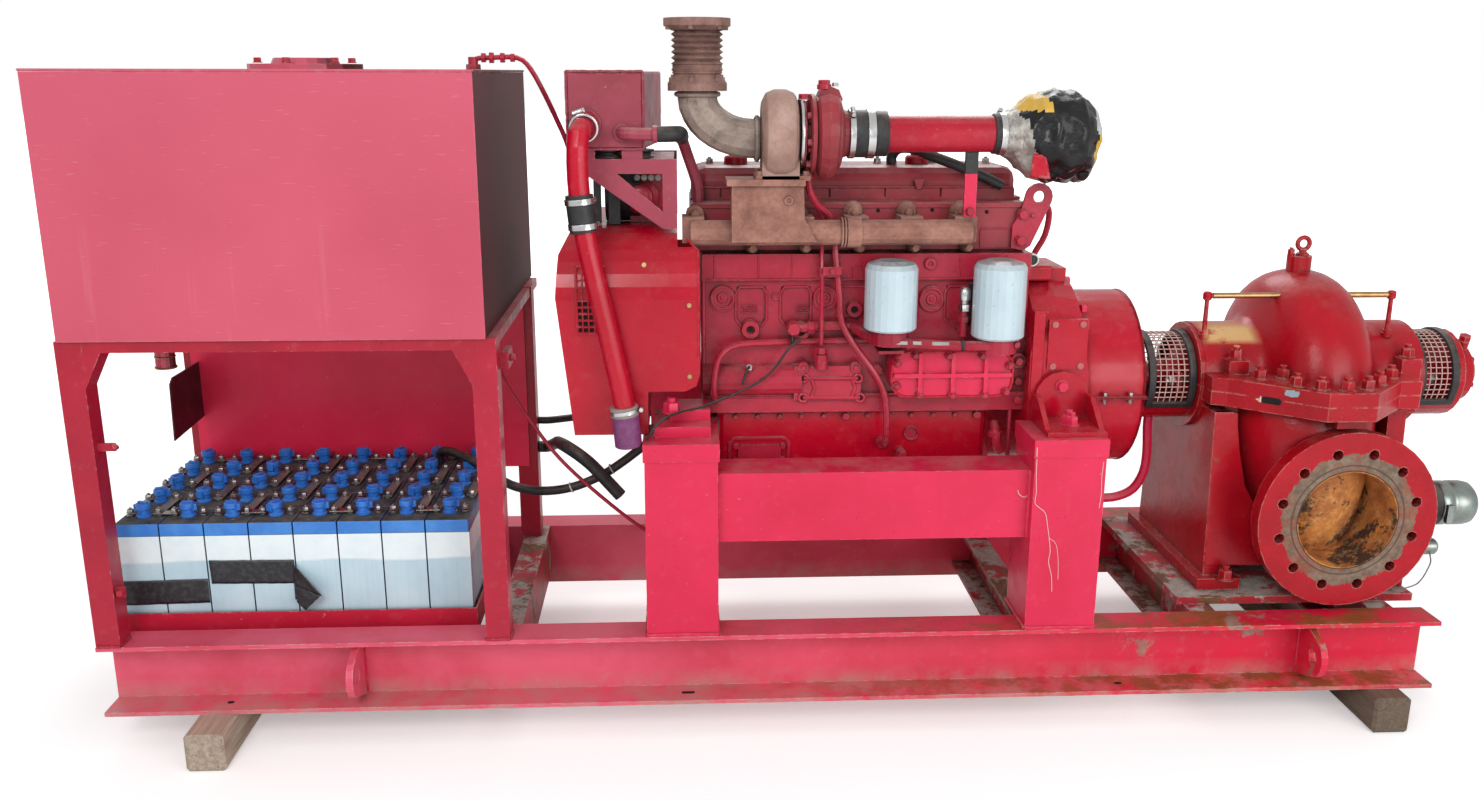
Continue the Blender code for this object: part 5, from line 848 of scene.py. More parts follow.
def cords():
    """Cables and hoses that hang free between the stand and the engine."""
    line_y = 0.3
    fuel = [
        (0.764, line_y, 0.774), (0.764, line_y, 0.745), (0.769, 0.29, 0.7), (0.787, 0.265, 0.65),
        (0.809, 0.248, 0.608), (0.85, 0.244, 0.541), (0.908, 0.244, 0.458), (0.994, 0.244, 0.371),
        (1.088, 0.244, 0.292), (1.125, 0.25, 0.28), (1.15, 0.262, 0.31), (1.16, 0.272, 0.38),
        (1.172, 0.282, 0.455), (1.2, 0.285, 0.494), (1.228, 0.285, 0.5), (1.2467, 0.285, 0.5),
    ]
    cord("fuel_pipe_run", "fuel_line", fuel, 0.008, RED_ENGINE)
    battery = [
        (0.6, 0.5, 0.3676), (0.6, 0.5, 0.386), (0.605, 0.496, 0.399), (0.628, 0.476, 0.408),
        (0.67, 0.44, 0.404), (0.71, 0.405, 0.394), (0.75, 0.365, 0.38), (0.8, 0.33, 0.367),
        (0.86, 0.308, 0.364), (0.925, 0.3, 0.374), (0.99, 0.3, 0.4), (1.04, 0.3, 0.432),
        (1.089, 0.3, 0.47), (1.14, 0.31, 0.507), (1.19, 0.322, 0.528), (1.225, 0.33, 0.532),
        (1.2467, 0.33, 0.532),
    ]
    cord("battery_lead", "battery_cable", battery, 0.02, CABLE_RUBBER)
    hose = [
        (0.8203, 0.61, 0.376), (0.842, 0.61, 0.376), (0.865, 0.56, 0.398), (0.88, 0.47, 0.428),
        (0.896, 0.37, 0.456), (0.918, 0.3, 0.468), (0.947, 0.273, 0.457), (0.972, 0.27, 0.436),
        (0.995, 0.268, 0.411), (1.035, 0.266, 0.365),
    ]
    cord("open_ended_hose", "open_hose", hose, 0.028, RUBBER)
    link = [
        (0.8203, 0.62, 0.44), (0.85, 0.62, 0.44), (0.9, 0.64, 0.44), (0.96, 0.655, 0.442),
        (1.03, 0.655, 0.445), (1.07, 0.655, 0.446), (1.0957, 0.655, 0.446),
    ]
    cord("starter_lead", "starter_cable", link, 0.018, CABLE_RUBBER)
    breather = [
        (1.62, 0.33, 1.0753), (1.62, 0.33, 1.092), (1.632, 0.318, 1.108), (1.655, 0.29, 1.11),
        (1.69, 0.258, 1.097), (1.732, 0.25, 1.082), (1.797, 0.25, 1.056), (1.838, 0.25, 1.037),
    ]
    cord("breather_tube", "breather_hose", breather, 0.022, RUBBER)


# Small shapes used in many places


def turned_box(batch, base, size, turn):
    """A block standing on its base point, turned about the upright."""
    length, width, height = size
    c, s = cos(turn), sin(turn)
    corners = [(-length, -width), (length, -width), (length, width), (-length, width)]
    outline = [(base[0] + (a * c - b * s) / 2, base[1] + (a * s + b * c) / 2) for a, b in corners]
    batch.skin([[(a, b, z) for a, b in outline] for z in (base[2], base[2] + height)])


def weld(batch, start, end, size=0.004):
    """A lumpy bead between two points."""
    start, end = Vector(start), Vector(end)
    steps = max(3, round((end - start).length / 0.006))
    run = [start.lerp(end, i / steps) for i in range(steps + 1)]
    shake = random.Random(round(1000 * start.x + 100 * end.y))
    run = [p + Vector([shake.uniform(-1, 1) * size * 0.12 for _ in range(3)]) for p in run]
    batch.tube(run, size * 0.75, 6)


def rim(batch, outline, plane, size):
    """A raised line on a face that looks to the front; outline is (X, Z) points, closed."""
    points = [(x, plane, z) for x, z in outline]
    batch.tube([*points, points[0]], size, 6)


def round_rect(left, right, low, high, corner, steps=4):
    """A rectangle's outline with round corners."""
    centres = [(right - corner, high - corner), (left + corner, high - corner)]
    centres += [(left + corner, low + corner), (right - corner, low + corner)]
    points = []
    for quarter, (x, z) in enumerate(centres):
        for i in range(steps + 1):
            angle = pi / 2 * (quarter + i / steps)
            points.append((x + corner * cos(angle), z + corner * sin(angle)))
    return points


def worm_clamp(centre, axis, radius, width=0.011, screw=45):
    """A silver hose clamp with its worm housing; screw is the angle round the hose."""
    band = Batch(f"hose_clamp_{round(1000 * centre[0])}_{round(1000 * centre[2])}", CHROME, None)
    way = Vector(axis).normalized()
    base = Vector(centre) - way * width / 2
    lip = [(radius, 0), (radius + 0.0016, 0.0008), (radius + 0.0012, width / 2)]
    lip += [(radius + 0.0016, width - 0.0008), (radius, width), (radius - 0.002, width), (radius - 0.002, 0)]
    band.lathe(lip, base, axis, 28, True)
    turn = across(axis)
    out = turn @ Vector((cos(radians(screw)), sin(radians(screw)), 0))
    along = way.cross(out)
    seat = Vector(centre) + out * (radius + 0.005)
    band.drum(seat - along * 0.01, along, 0.0048, 0.02, 12)
    band.hexagon(seat + along * 0.01, along, 0.0085, 0.005)
    band.done(0.0003)


def patch(name, look, corners, lift, ripple, slot, cuts=(24, 8)):
    """A thin crumpled sheet between four corners: top left, top right, bottom right, bottom left."""
    a, b, c, d = (Vector(p) for p in corners)
    columns, rows = cuts
    sheet = bmesh.new()
    grid = []
    for j in range(rows + 1):
        v = j / rows
        line = []
        for i in range(columns + 1):
            u = i / columns
            place = a.lerp(b, u).lerp(d.lerp(c, u), v)
            wave = noise.noise(place * 60) * ripple + noise.noise(place * 190) * ripple * 0.5
            edge = noise.noise(Vector((u * 9, v * 40, 3.0))) * ripple
            place.y -= lift + abs(wave)
            place.z += edge if v in (0, 1) else 0
            line.append(sheet.verts.new(place + SKID_CORNER))
        grid.append(line)
    for j in range(rows):
        for i in range(columns):
            sheet.faces.new((grid[j][i], grid[j + 1][i], grid[j + 1][i + 1], grid[j][i + 1]))
    data = bpy.data.meshes.new(name)
    sheet.to_mesh(data)
    sheet.free()
    data.materials.append(look)
    piece = placed(name, data)
    for face in data.polygons:
        face.use_smooth = True
    skin = piece.modifiers.new("thickness", "SOLIDIFY")
    skin.thickness = 0.0006
    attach(piece, "root")


# Batteries

TERMINAL_OFFSET = 0.029
LID_TOP = CELLS_TOP + 0.003
LINK_SIZE = (0.02, 0.003)


def vent_cap(batch, x, y, turn):
    """A flip-top vent cap."""
    profile = [(0.0155, 0), (0.0155, 0.004), (0.0122, 0.006), (0.0122, 0.016), (0.015, 0.018)]
    profile += [(0.015, 0.028), (0.0134, 0.03)]
    batch.lathe(profile, (x, y, LID_TOP), Z_AXIS, 14)
    c, s = cos(turn), sin(turn)
    turned_box(batch, (x + 0.013 * c, y + 0.013 * s, LID_TOP + 0.013), (0.011, 0.014, 0.014), turn)
    turned_box(batch, (x, y, LID_TOP + 0.0295), (0.021, 0.007, 0.004), turn)


def terminal(posts, x, y):
    """A terminal with its washer, nut and stud."""
    posts.drum((x, y, LID_TOP), Z_AXIS, 0.0085, 0.005, 14)
    posts.drum((x, y, LID_TOP + 0.008), Z_AXIS, 0.008, 0.0015, 14, 0.0003)
    posts.hexagon((x, y, LID_TOP + 0.0095), Z_AXIS, 0.0115, 0.006, random.random())
    posts.drum((x, y, LID_TOP + 0.015), Z_AXIS, 0.003, 0.004, 10)


def cell_tops():
    """Lids, vent caps, terminals and the flat links that join the cells."""
    lids = Batch("cell_lids", BLUE_LID, "cell_case")
    caps = Batch("cell_vent_caps", BLUE_CAP, "cell_case")
    posts = Batch("cell_terminals", STEEL, None)
    links = Batch("cell_links", LINK_METAL, None)
    bright = Batch("front_cell_links", STEEL, None)
    width, thick = LINK_SIZE
    level = (LID_TOP + 0.005, LID_TOP + 0.005 + thick)
    for row in range(CELL_ROWS):
        for column in range(CELL_COLUMNS):
            x = CELLS_LEFT + CELL_WIDTH * (column + 0.5)
            y = CELLS_FRONT + CELL_DEPTH * (row + 0.5)
            lid_x = (x - 0.0438, x + 0.0438)
            lid_y = (y - 0.0467, y + 0.045)
            lids.box(lid_x, lid_y, (CELLS_TOP - LID_HEIGHT, LID_TOP))
            vent_cap(caps, x, y, random.choice((0.3, 1.4, 2.6, 4.4)) + random.uniform(-0.3, 0.3))
            for side in (-TERMINAL_OFFSET, TERMINAL_OFFSET):
                terminal(posts, x + side, y + 0.004)
            right = x + TERMINAL_OFFSET
            if column % 2 == 0 and row in (0, CELL_ROWS - 1):
                link_x = (right - 0.009, right + CELL_WIDTH - 2 * TERMINAL_OFFSET + 0.009)
                bright.box(link_x, (y + 0.004 - width / 2, y + 0.004 + width / 2), level)
            if row < CELL_ROWS - 1 and row % 2 != column % 2:
                continue
            if row < CELL_ROWS - 1:
                link_x = (right - width / 2, right + width / 2)
                links.box(link_x, (y - 0.004, y + CELL_DEPTH + 0.012), level)
    lids.done(0.0018, 2)
    caps.done(0.0006, 1)
    posts.done(0.0)
    links.done(0.0008)
    bright.done(0.0008)


def cell_tape():
    """Black tape across the front cases, with one end hanging off."""
    front = CELLS_FRONT
    low = [(0.0135, front, 0.246), (0.1895, front, 0.249), (0.1895, front, 0.196), (0.015, front, 0.193)]
    patch("cell_tape_low", TAPE, low, 0.001, 0.001, "black_tape")
    high = [(0.196, front, 0.289), (0.368, front, 0.288), (0.3675, front, 0.236), (0.1975, front, 0.238)]
    patch("cell_tape_high", TAPE, high, 0.0012, 0.001, "black_tape")
    flap = [(0.364, front, 0.276), (0.374, front - 0.01, 0.276), (0.427, front - 0.026, 0.218),
            (0.364, front, 0.2)]
    patch("cell_tape_flap", TAPE, flap, 0.0012, 0.003, "black_tape", (10, 10))
    fold = [(0.365, front - 0.002, 0.232), (0.424, front - 0.028, 0.219), (0.389, front - 0.02, 0.184)]
    fold.append((0.37, front - 0.008, 0.196))
    patch("cell_tape_fold", TAPE, fold, 0.0012, 0.003, "black_tape", (10, 10))


# Tank and stand


def stand_fittings():
    """The tank's drain rings, and hooks, weld beads and a side clip on the stand."""
    brass = Batch("tank_drain_rings", BRASS, None)
    for height, radius in ((0.69, 0.0215), (0.712, 0.0205), (0.742, 0.02), (0.764, 0.0225)):
        brass.ring((0.141, 0.15, height), Z_AXIS, radius - 0.002, 0.0022, 20, 6)
    brass.done()
    hooks = Batch("stand_hooks", RED_FRAME)
    hooks.box((0.05, 0.084), (0.014, 0.019), (0.556, 0.572))
    hooks.tube([(0.083, 0.0165, 0.564), (0.088, 0.01, 0.565), (0.089, 0.002, 0.57)], 0.005, 8)
    hooks.box((0.05, 0.068), (0.01, 0.016), (0.256, 0.276))
    hooks.bolt((0.06, 0.01, 0.266), FRONT, 0.012)
    hooks.done(0.0008)
    beads = Batch("stand_welds", RED_FRAME)
    for x in (0.004, 0.05, 0.772, 0.82):
        weld(beads, (x, 0.003, DECK + 0.002), (x, 0.045, DECK + 0.002))
    weld(beads, (0.004, -0.001, DECK + 0.002), (0.05, -0.001, DECK + 0.002))
    weld(beads, (0.772, -0.001, DECK + 0.002), (0.82, -0.001, DECK + 0.002))
    weld(beads, (0.052, 0.001, 0.75), (0.052, 0.001, 0.774), 0.003)
    beads.done()
    clip = Batch("stand_side_clip", RED_FRAME)
    clip.box((0.8205, 0.834), (0.06, 0.12), (0.7, 0.735))
    clip.bolt((0.834, 0.09, 0.717), X_AXIS, 0.012)
    clip.done(0.001)


def tank_fittings():
    """Seams of the tank, its filler's details and the vent's unions."""
    seam = Batch("tank_seams", TANK_PAINT)
    left, right, front, rear = 0.01, 0.802, -0.007, 0.758
    top = 1.2657
    corners = ((left, front), (right, front), (right, rear), (left, front), (left, rear), (right, rear))
    for start, end in ((0, 1), (1, 2), (3, 4), (4, 5)):
        seam.tube([(*corners[start], top - 0.001), (*corners[end], top - 0.001)], 0.0022, 6)
    seam.done()
    knobs = Batch("filler_clamps", RED_FRAME)
    for step in range(6):
        angle = pi * step / 3 + 0.4
        place = (0.395 + 0.094 * cos(angle), 0.4 + 0.094 * sin(angle), top + 0.014)
        knobs.bolt(place, Z_AXIS, 0.014)
    knobs.done()
    unions = Batch("vent_unions", RED_ENGINE, DARK_RED)
    unions.hexagon((0.757, 0.3, top), Z_AXIS, 0.026, 0.012)
    unions.drum((0.757, 0.3, top + 0.01), Z_AXIS, 0.01, 0.016, 14)
    for x, width in ((0.774, 0.018), (0.79, 0.021), (0.812, 0.019), (0.832, 0.016)):
        unions.hexagon((x, 0.3, 1.29), X_AXIS, width, 0.009)
    unions.done(0.0006)


# Skid and pedestals


def skid_fittings():
    """Weld beads round the posts and lugs, and painted shade for the small holes in the bottom flange."""
    beads = Batch("skid_welds", RED_BRIGHT)
    for low, high in ((1.096, 1.241), (1.872, 2.017)):
        z = DECK + 0.003
        weld(beads, (low, 0.003, z), (high, 0.003, z), 0.005)
        for x in (low - 0.001, high + 0.001):
            weld(beads, (x, 0.004, z), (x, 0.149, z), 0.005)
        weld(beads, (low, back(0.003), z), (high, back(0.003), z), 0.005)
    for x in (1.242, 1.871):
        weld(beads, (x, 0.029, 0.346), (x, 0.029, 0.489), 0.005)
        weld(beads, (x, back(0.029), 0.346), (x, back(0.029), 0.489), 0.005)
    for x in (0.502, 2.497):
        for offset in (-0.008, 0.008):
            weld(beads, (x + offset, 0.066, 0.012), (x + offset, 0.066, 0.14), 0.004)
    beads.done()
    # Painted shade: thin dark patches stand in for the holes in the bottom flange.
    holes = Batch("flange_hole_shade", HOLE_SHADE, None)
    for x, width in ((0.24, 0.007), (1.178, 0.014), (2.09, 0.008)):
        holes.prism(round_rect(-width, width, -0.005, 0.005, 0.0045), (x, 0.034, 0.0089), Z_AXIS, 0.0004)
    holes.done()


def pedestal_fittings():
    """Bolts on the caps, and the pale drips on the right post and the beam."""
    bolts = Batch("pedestal_bolts", RED_BRIGHT)
    for y in (0.084, back(0.084)):
        bolts.bolt((1.15, y, 0.6025), Z_AXIS, 0.03, 0.3)
        bolts.drum((1.15, y, 0.612), Z_AXIS, 0.009, 0.022, 14)
        bolts.nut((1.96, y, 0.567), Z_AXIS, 0.026, 0.2)
    bolts.done(0.0008)
    drips = Batch("paint_drips", PALE_PAINT, None)
    edge = [(1.8735, 0.001, 0.545), (1.874, 0.0005, 0.526)]
    drips.tube(edge, 0.0009, 5)
    post, web = 0.0036, 0.0297
    right = [(1.8755, 0.52), (1.876, 0.487), (1.8785, 0.452), (1.877, 0.428), (1.886, 0.418), (1.9, 0.405)]
    right += [(1.906, 0.378), (1.911, 0.352), (1.915, 0.322), (1.913, 0.3), (1.921, 0.27), (1.924, 0.235)]
    branch = [(1.911, 0.352), (1.926, 0.338), (1.933, 0.3), (1.935, 0.262)]
    beam = [(1.848, 0.446), (1.852, 0.437), (1.862, 0.431), (1.87, 0.436)]
    far = [(2.011, 0.512), (2.0095, 0.48), (2.011, 0.445), (2.009, 0.415)]
    for run, face, size in ((right, post, 0.0007), (branch, post, 0.0005), (beam, web, 0.0009),
                            (far, post, 0.0006)):
        drips.tube(smooth_route([(x, face, z) for x, z in run], 3), size, 5)
    drips.done()


# Engine


PAD_HOLES = ((1.4241, 0.6468), (1.5386, 0.6457), (1.4236, 0.6048), (1.5437, 0.6036))


def core_plug(batch, x, z, radius):
    """A pressed plug in its raised ring."""
    ring = [(radius, 0), (radius, 0.005), (radius - 0.002, 0.007), (radius * 0.8, 0.007),
            (radius * 0.74, 0.002)]
    ring += [(radius * 0.45, 0.0015), (radius * 0.4, 0.004), (radius * 0.18, 0.004), (radius * 0.14, 0.0055)]
    batch.lathe(ring, (x, BLOCK_FACE, z), FRONT, 28)


def boss(batch, x, z, radius, height=0.01, hole=0.4, face=BLOCK_FACE):
    """A round casting boss with a sunk middle."""
    inner = radius * hole
    profile = [(radius * 1.15, 0), (radius, height * 0.4), (radius, height), (inner * 1.2, height)]
    profile += [(inner, height * 0.5), (inner * 0.5, height * 0.5)]
    batch.lathe(profile, (x, face, z), FRONT, 20)


def knurl(batch, x, z):
    """A cast grip patch: rows of small points."""
    for row in range(4):
        for column in range(6):
            place = (x + 0.0055 * (column - 2.5) + 0.00275 * (row % 2), BLOCK_FACE, z + 0.005 * (row - 1.5))
            batch.prism([(0.0022, 0), (0, 0.0022), (-0.0022, 0), (0, -0.0022)], place, FRONT, 0.0018)


def block_castings():
    """Relief of the block's face: plugs, bosses, pockets and ribs."""
    relief = Batch("block_castings", RED_ENGINE, DARK_RED)
    core_plug(relief, 1.2564, 0.8141, 0.026)
    core_plug(relief, 1.469, 0.813, 0.026)
    core_plug(relief, 1.6904, 0.8079, 0.027)
    boss(relief, 1.3142, 0.7484, 0.0185, 0.016)
    boss(relief, 1.418, 0.744, 0.0185, 0.016)
    boss(relief, 1.5296, 0.789, 0.016, 0.014)
    boss(relief, 1.366, 0.8159, 0.008, 0.004, 0.5)
    boss(relief, 1.6828, 0.8844, 0.012, 0.008, 0.35, LEDGE_FACE)
    boss(relief, 1.8779, 0.678, 0.0165, 0.014)
    for x, z in ((1.3115, 0.7897), (1.4231, 0.7889), (1.5276, 0.7682)):
        knurl(relief, x, z)
    for left, right in ((1.284, 1.348), (1.376, 1.44), (1.495, 1.56), (1.599, 1.663), (1.719, 1.783)):
        arch = [(left, 0.768), (left, 0.822), (left + 0.008, 0.836), (right - 0.008, 0.836), (right, 0.822)]
        arch += [(right, 0.768), (right - 0.012, 0.752)]
        relief.tube([(x, BLOCK_FACE, z) for x, z in arch], 0.0034, 6)
        relief.tube([(left, BLOCK_FACE, 0.768), (left + 0.016, BLOCK_FACE, 0.748)], 0.0034, 6)
    rim(relief, round_rect(1.5215, 1.5415, 0.853, 0.88, 0.005, 2), LEDGE_FACE, 0.0022)
    for x in (1.24, 1.33, 1.398, 1.61, 1.745, 1.842):
        relief.tube([(x, LEDGE_FACE, 0.853), (x, LEDGE_FACE, 0.902)], 0.002, 6)
    for x in (1.217, 1.868):
        relief.tube([(x, BLOCK_FACE, 0.612), (x, BLOCK_FACE, 0.85)], 0.005, 8)
    for (left, low), (right, high) in (PAD_HOLES[:2], PAD_HOLES[2:]):
        relief.tube([(left, 0.18, low), (right, 0.18, high)], 0.0052, 8)
    for x, z in PAD_HOLES:
        relief.ring((x, 0.179, z), FRONT, 0.0085, 0.0036, 18, 8)
    for x in (1.44, 1.525):
        relief.tube([(x, 0.18, 0.6468), (x + 0.008, 0.18, 0.6262), (x, 0.18, 0.6048)], 0.0042, 8)
    relief.tube([(1.225, LEDGE_FACE, 0.604), (1.89, LEDGE_FACE, 0.604)], 0.0025, 6)
    relief.tube([(1.225, LEDGE_FACE, 0.853), (1.89, LEDGE_FACE, 0.853)], 0.003, 6)
    relief.done(0.0008)


def block_hole_shade():
    """Painted shade: thin dark discs in the middles of the pad's, the head's and the bosses' holes."""
    dark = Batch("block_hole_shade", HOLE_SHADE, None)
    for x, z in PAD_HOLES:
        dark.drum((x, 0.1795, z), FRONT, 0.0058, 0.0006, 14, 0.0001)
    for x, z in ((1.5754, 0.9903), (1.6871, 0.991), (1.7997, 0.9868)):
        dark.drum((x, 0.2115, z), FRONT, 0.0042, 0.0006, 12, 0.0001)
    for x, z in ((1.3142, 0.7484), (1.418, 0.744), (1.5296, 0.789)):
        dark.drum((x, BLOCK_FACE - 0.0085, z), FRONT, 0.0064, 0.0006, 12, 0.0001)
    dark.done()


def block_bolts():
    """Bolts on the block, sump rail, cooler cover and rear flange."""
    bolts = Batch("block_bolts", RED_ENGINE, DARK_RED)
    for x, z in ((1.4237, 0.6705), (1.5336, 0.6695)):
        boss(bolts, x, z - 0.001, 0.0115, 0.004, 0.4, 0.1795)
        bolts.hexagon((x, 0.1775, z - 0.001), FRONT, 0.011, 0.006, 0.4)
    for step in range(12):
        x = 1.285 + 0.047 * step
        width = 0.016 if step in (5, 11) else 0.01
        bolts.bolt((x, SUMP_FACE, 0.5545), FRONT, width)
    for x, z, face in ((1.8817, 0.6319, BLOCK_FACE), (1.8797, 0.5937, LEDGE_FACE), (1.8779, 0.678, 0.188)):
        bolts.bolt((x, face, z), FRONT, 0.015)
    for x, z in (
        *((1.6497, 0.7032), (1.719, 0.7025), (1.7881, 0.7019), (1.613, 0.687), (1.8456, 0.68)),
        *((1.84, 0.625), (1.66, 0.619), (1.728, 0.619), (1.796, 0.619), (1.613, 0.64)),
    ):
        cooler_bolt(bolts, x, z)
    bolts.bolt((1.5802, BLOCK_FACE, 0.6605), FRONT, 0.022)
    bolts.bolt((1.59, BLOCK_FACE, 0.623), FRONT, 0.014)
    bolts.done(0.0004)
    gasket = Batch("cooler_gasket", RED_GUARD)
    rim(gasket, round_rect(1.603, 1.853, 0.615, 0.709, 0.034, 5), 0.1405, 0.0032)
    gasket.done()


def cooler_bolt(batch, x, z):
    """A bolt on its round boss at the cooler cover's edge."""
    batch.drum((x, 0.148, z), FRONT, 0.0085, 0.016, 16, 0.002)
    batch.bolt((x, 0.133, z), FRONT, 0.0105)


def sump_fittings():
    """The sump's side plate, boss, drain and rail."""
    parts = Batch("sump_castings", RED_ENGINE, DARK_RED)
    rim(parts, round_rect(1.272, 1.398, 0.446, 0.506, 0.014), SUMP_FACE, 0.0045)
    parts.prism(round_rect(-0.046, 0.046, -0.019, 0.019, 0.009), (1.336, SUMP_FACE, 0.474), FRONT, 0.006)
    for x, z in ((1.286, 0.488), (1.386, 0.488), (1.286, 0.458), (1.386, 0.458)):
        parts.bolt((x, SUMP_FACE, z), FRONT, 0.011)
    boss(parts, 1.6617, 0.5142, 0.015, 0.008, 0.75, SUMP_FACE)
    parts.hexagon((1.599, SUMP_FACE, 0.497), FRONT, 0.026, 0.014)
    parts.drum((1.64, SUMP_FACE, 0.47), FRONT, 0.012, 0.018, 16)
    parts.hexagon((1.64, SUMP_FACE - 0.018, 0.47), FRONT, 0.018, 0.01)
    parts.tube([(1.869, 0.2, 0.57), (1.869, 0.2, 0.43)], 0.0045, 8)
    parts.tube(smooth_route([(1.84, 0.215, 0.535), (1.838, 0.19, 0.52), (1.842, 0.188, 0.495),
                             (1.852, 0.192, 0.48)]), 0.01, 10)
    parts.hexagon((1.838, 0.192, 0.512), Z_AXIS, 0.026, 0.012)
    parts.done(0.0006)


def oil_sensor():
    """The silver oil pressure sensor on its red base, with a rubber boot."""
    chrome = Batch("oil_sensor", CHROME, None)
    x, y = 1.749, 0.15
    chrome.hexagon((x, y, 0.793), Z_AXIS, 0.022, 0.014)
    chrome.drum((x, y, 0.806), Z_AXIS, 0.0085, 0.012, 16)
    chrome.lathe([(0.012, 0), (0.013, 0.004), (0.013, 0.018), (0.011, 0.024), (0.006, 0.028)], (x, y, 0.815),
                 Z_AXIS, 18)
    chrome.done(0.0005)
    base = Batch("oil_sensor_base", RED_ENGINE, DARK_RED)
    base.hexagon((x, y, 0.77), Z_AXIS, 0.021, 0.012)
    base.drum((x, y, 0.74), Z_AXIS, 0.0085, 0.055, 14)
    base.tube([(x, y, 0.746), (x, BLOCK_FACE, 0.746)], 0.007, 10)
    base.done(0.0005)
    boot = Batch("oil_sensor_boot", RUBBER, BLACK)
    boot.tube(smooth_route([(1.766, 0.178, 0.845), (1.772, 0.18, 0.82), (1.771, 0.182, 0.78),
                            (1.766, 0.19, 0.755)]), 0.0055, 8)
    boot.done()


def pipe_unions():
    """Banjo fittings, clamps, wear bands and nuts of the oil pipes."""
    nuts = Batch("pipe_unions", RED_ENGINE, DARK_RED)
    nuts.drum((1.402, 0.196, 0.753), FRONT, 0.015, 0.024, 18)
    nuts.hexagon((1.402, 0.174, 0.753), FRONT, 0.024, 0.01, 0.2)
    nuts.hexagon((1.432, 0.18, 0.7545), X_AXIS, 0.024, 0.014)
    nuts.hexagon((1.452, 0.18, 0.7555), X_AXIS, 0.02, 0.01)
    nuts.hexagon((1.4585, 0.16, 0.688), Z_AXIS, 0.026, 0.014)
    nuts.hexagon((1.4585, 0.16, 0.704), Z_AXIS, 0.021, 0.012)
    nuts.drum((1.4585, 0.16, 0.672), Z_AXIS, 0.014, 0.018, 16)
    nuts.tube([(1.4585, 0.16, 0.68), (1.4585, BLOCK_FACE, 0.68)], 0.011, 10)
    nuts.drum((1.4235, EXHAUST_Y, 1.06), Z_AXIS, 0.012, 0.03, 16)
    nuts.box((1.458, 1.495), (0.148, 0.152), (0.868, 0.884))
    nuts.bolt((1.476, 0.148, 0.876), FRONT, 0.01)
    nuts.tube([(1.476, 0.152, 0.876), (1.476, BLOCK_FACE, 0.876)], 0.004, 8)
    for x in (1.592, 1.812):
        nuts.box((x - 0.026, x + 0.026), (0.094, 0.146), (0.716, 0.722))
        nuts.bolt((x + 0.034, 0.098, 0.733), FRONT, 0.012)
    nuts.done(0.0005)
    bands = Batch("pipe_tie_bands", RUBBER, BLACK)
    bands.drum((1.732, 0.0915, 0.7325), X_AXIS, 0.0118, 0.006, 16)
    bands.drum((1.397, 0.174, 0.729), X_AXIS, 0.0118, 0.004, 16)
    bands.done()
    bare = Batch("pipe_wear", STEEL, None)
    for left, right, height in ((1.6, 1.622, 0.7375), (1.633, 1.65, 0.737), (1.672, 1.706, 0.7355)):
        run = [(left, 0.0832, height + 0.0036), (right, 0.0832, height + 0.0028)]
        bare.band(run, (0, 0.5, 1), 0.007, 0.0012)
    bare.done()


def sensor_wire():
    """The thin black wire that hangs from its clip on the block to the left."""
    places = [
        (1.416, 0.166, 0.729), (1.398, 0.16, 0.722), (1.384, 0.158, 0.706), (1.368, 0.156, 0.682),
        (1.35, 0.155, 0.662), (1.322, 0.153, 0.642), (1.29, 0.146, 0.628), (1.252, 0.132, 0.616),
        (1.226, 0.118, 0.61), (1.2, 0.1, 0.6065), (1.17, 0.075, 0.6063), (1.142, 0.046, 0.604),
        (1.122, 0.032, 0.592), (1.108, 0.026, 0.574), (1.1, 0.026, 0.5625),
    ]
    cord("sensor_wire", None, places, 0.005, CABLE_RUBBER)
    sensor = Batch("block_sensor", CHROME, None)
    sensor.drum((1.3108, 0.18, 0.665), (0, -0.75, 0.66), 0.007, 0.014, 14)
    sensor.hexagon((1.3108, 0.186, 0.659), (0, -0.75, 0.66), 0.016, 0.008)
    sensor.done()
    lead = Batch("block_sensor_lead", CABLE_RUBBER, BLACK)
    run = [(1.3108, 0.1695, 0.675), (1.306, 0.16, 0.672), (1.3, 0.155, 0.655), (1.295, 0.152, 0.64)]
    lead.tube(smooth_route(run), 0.0026, 8)
    lead.done()


def head_castings():
    """Relief of the head and the rocker cover's flange."""
    relief = Batch("head_castings", RED_HEAD, DARK_RED)
    face = 0.2115
    rim(relief, round_rect(1.789, 1.851, 0.914, 0.953, 0.004, 2), face, 0.0022)
    relief.box((1.194, 1.885), (face - 0.003, face), (0.9955, 1.0055))
    relief.box((1.194, 1.885), (back(face), back(face) + 0.003), (0.9955, 1.0055))
    seams = (1.2, 1.2559, 1.4819, 1.5982, 1.7149, 1.872)
    for left, right in zip(seams, seams[1:]):
        x = (left + 0.0015, right - 0.0015)
        relief.box(x, (0.269, 0.2745), (1.007, 1.03))
        relief.box(x, (back(0.2745), back(0.269)), (1.007, 1.03))
    relief.tube([(1.204, 0.27, 1.032), (1.868, 0.27, 1.032)], 0.003, 6)
    lug = [(-0.011, 0), (0.011, 0), (0.005, 0.02), (-0.005, 0.02)]
    relief.prism([(a, -b) for a, b in lug], (1.668, 0.27, 1.048), FRONT, 0.008)
    relief.done(0.0012)


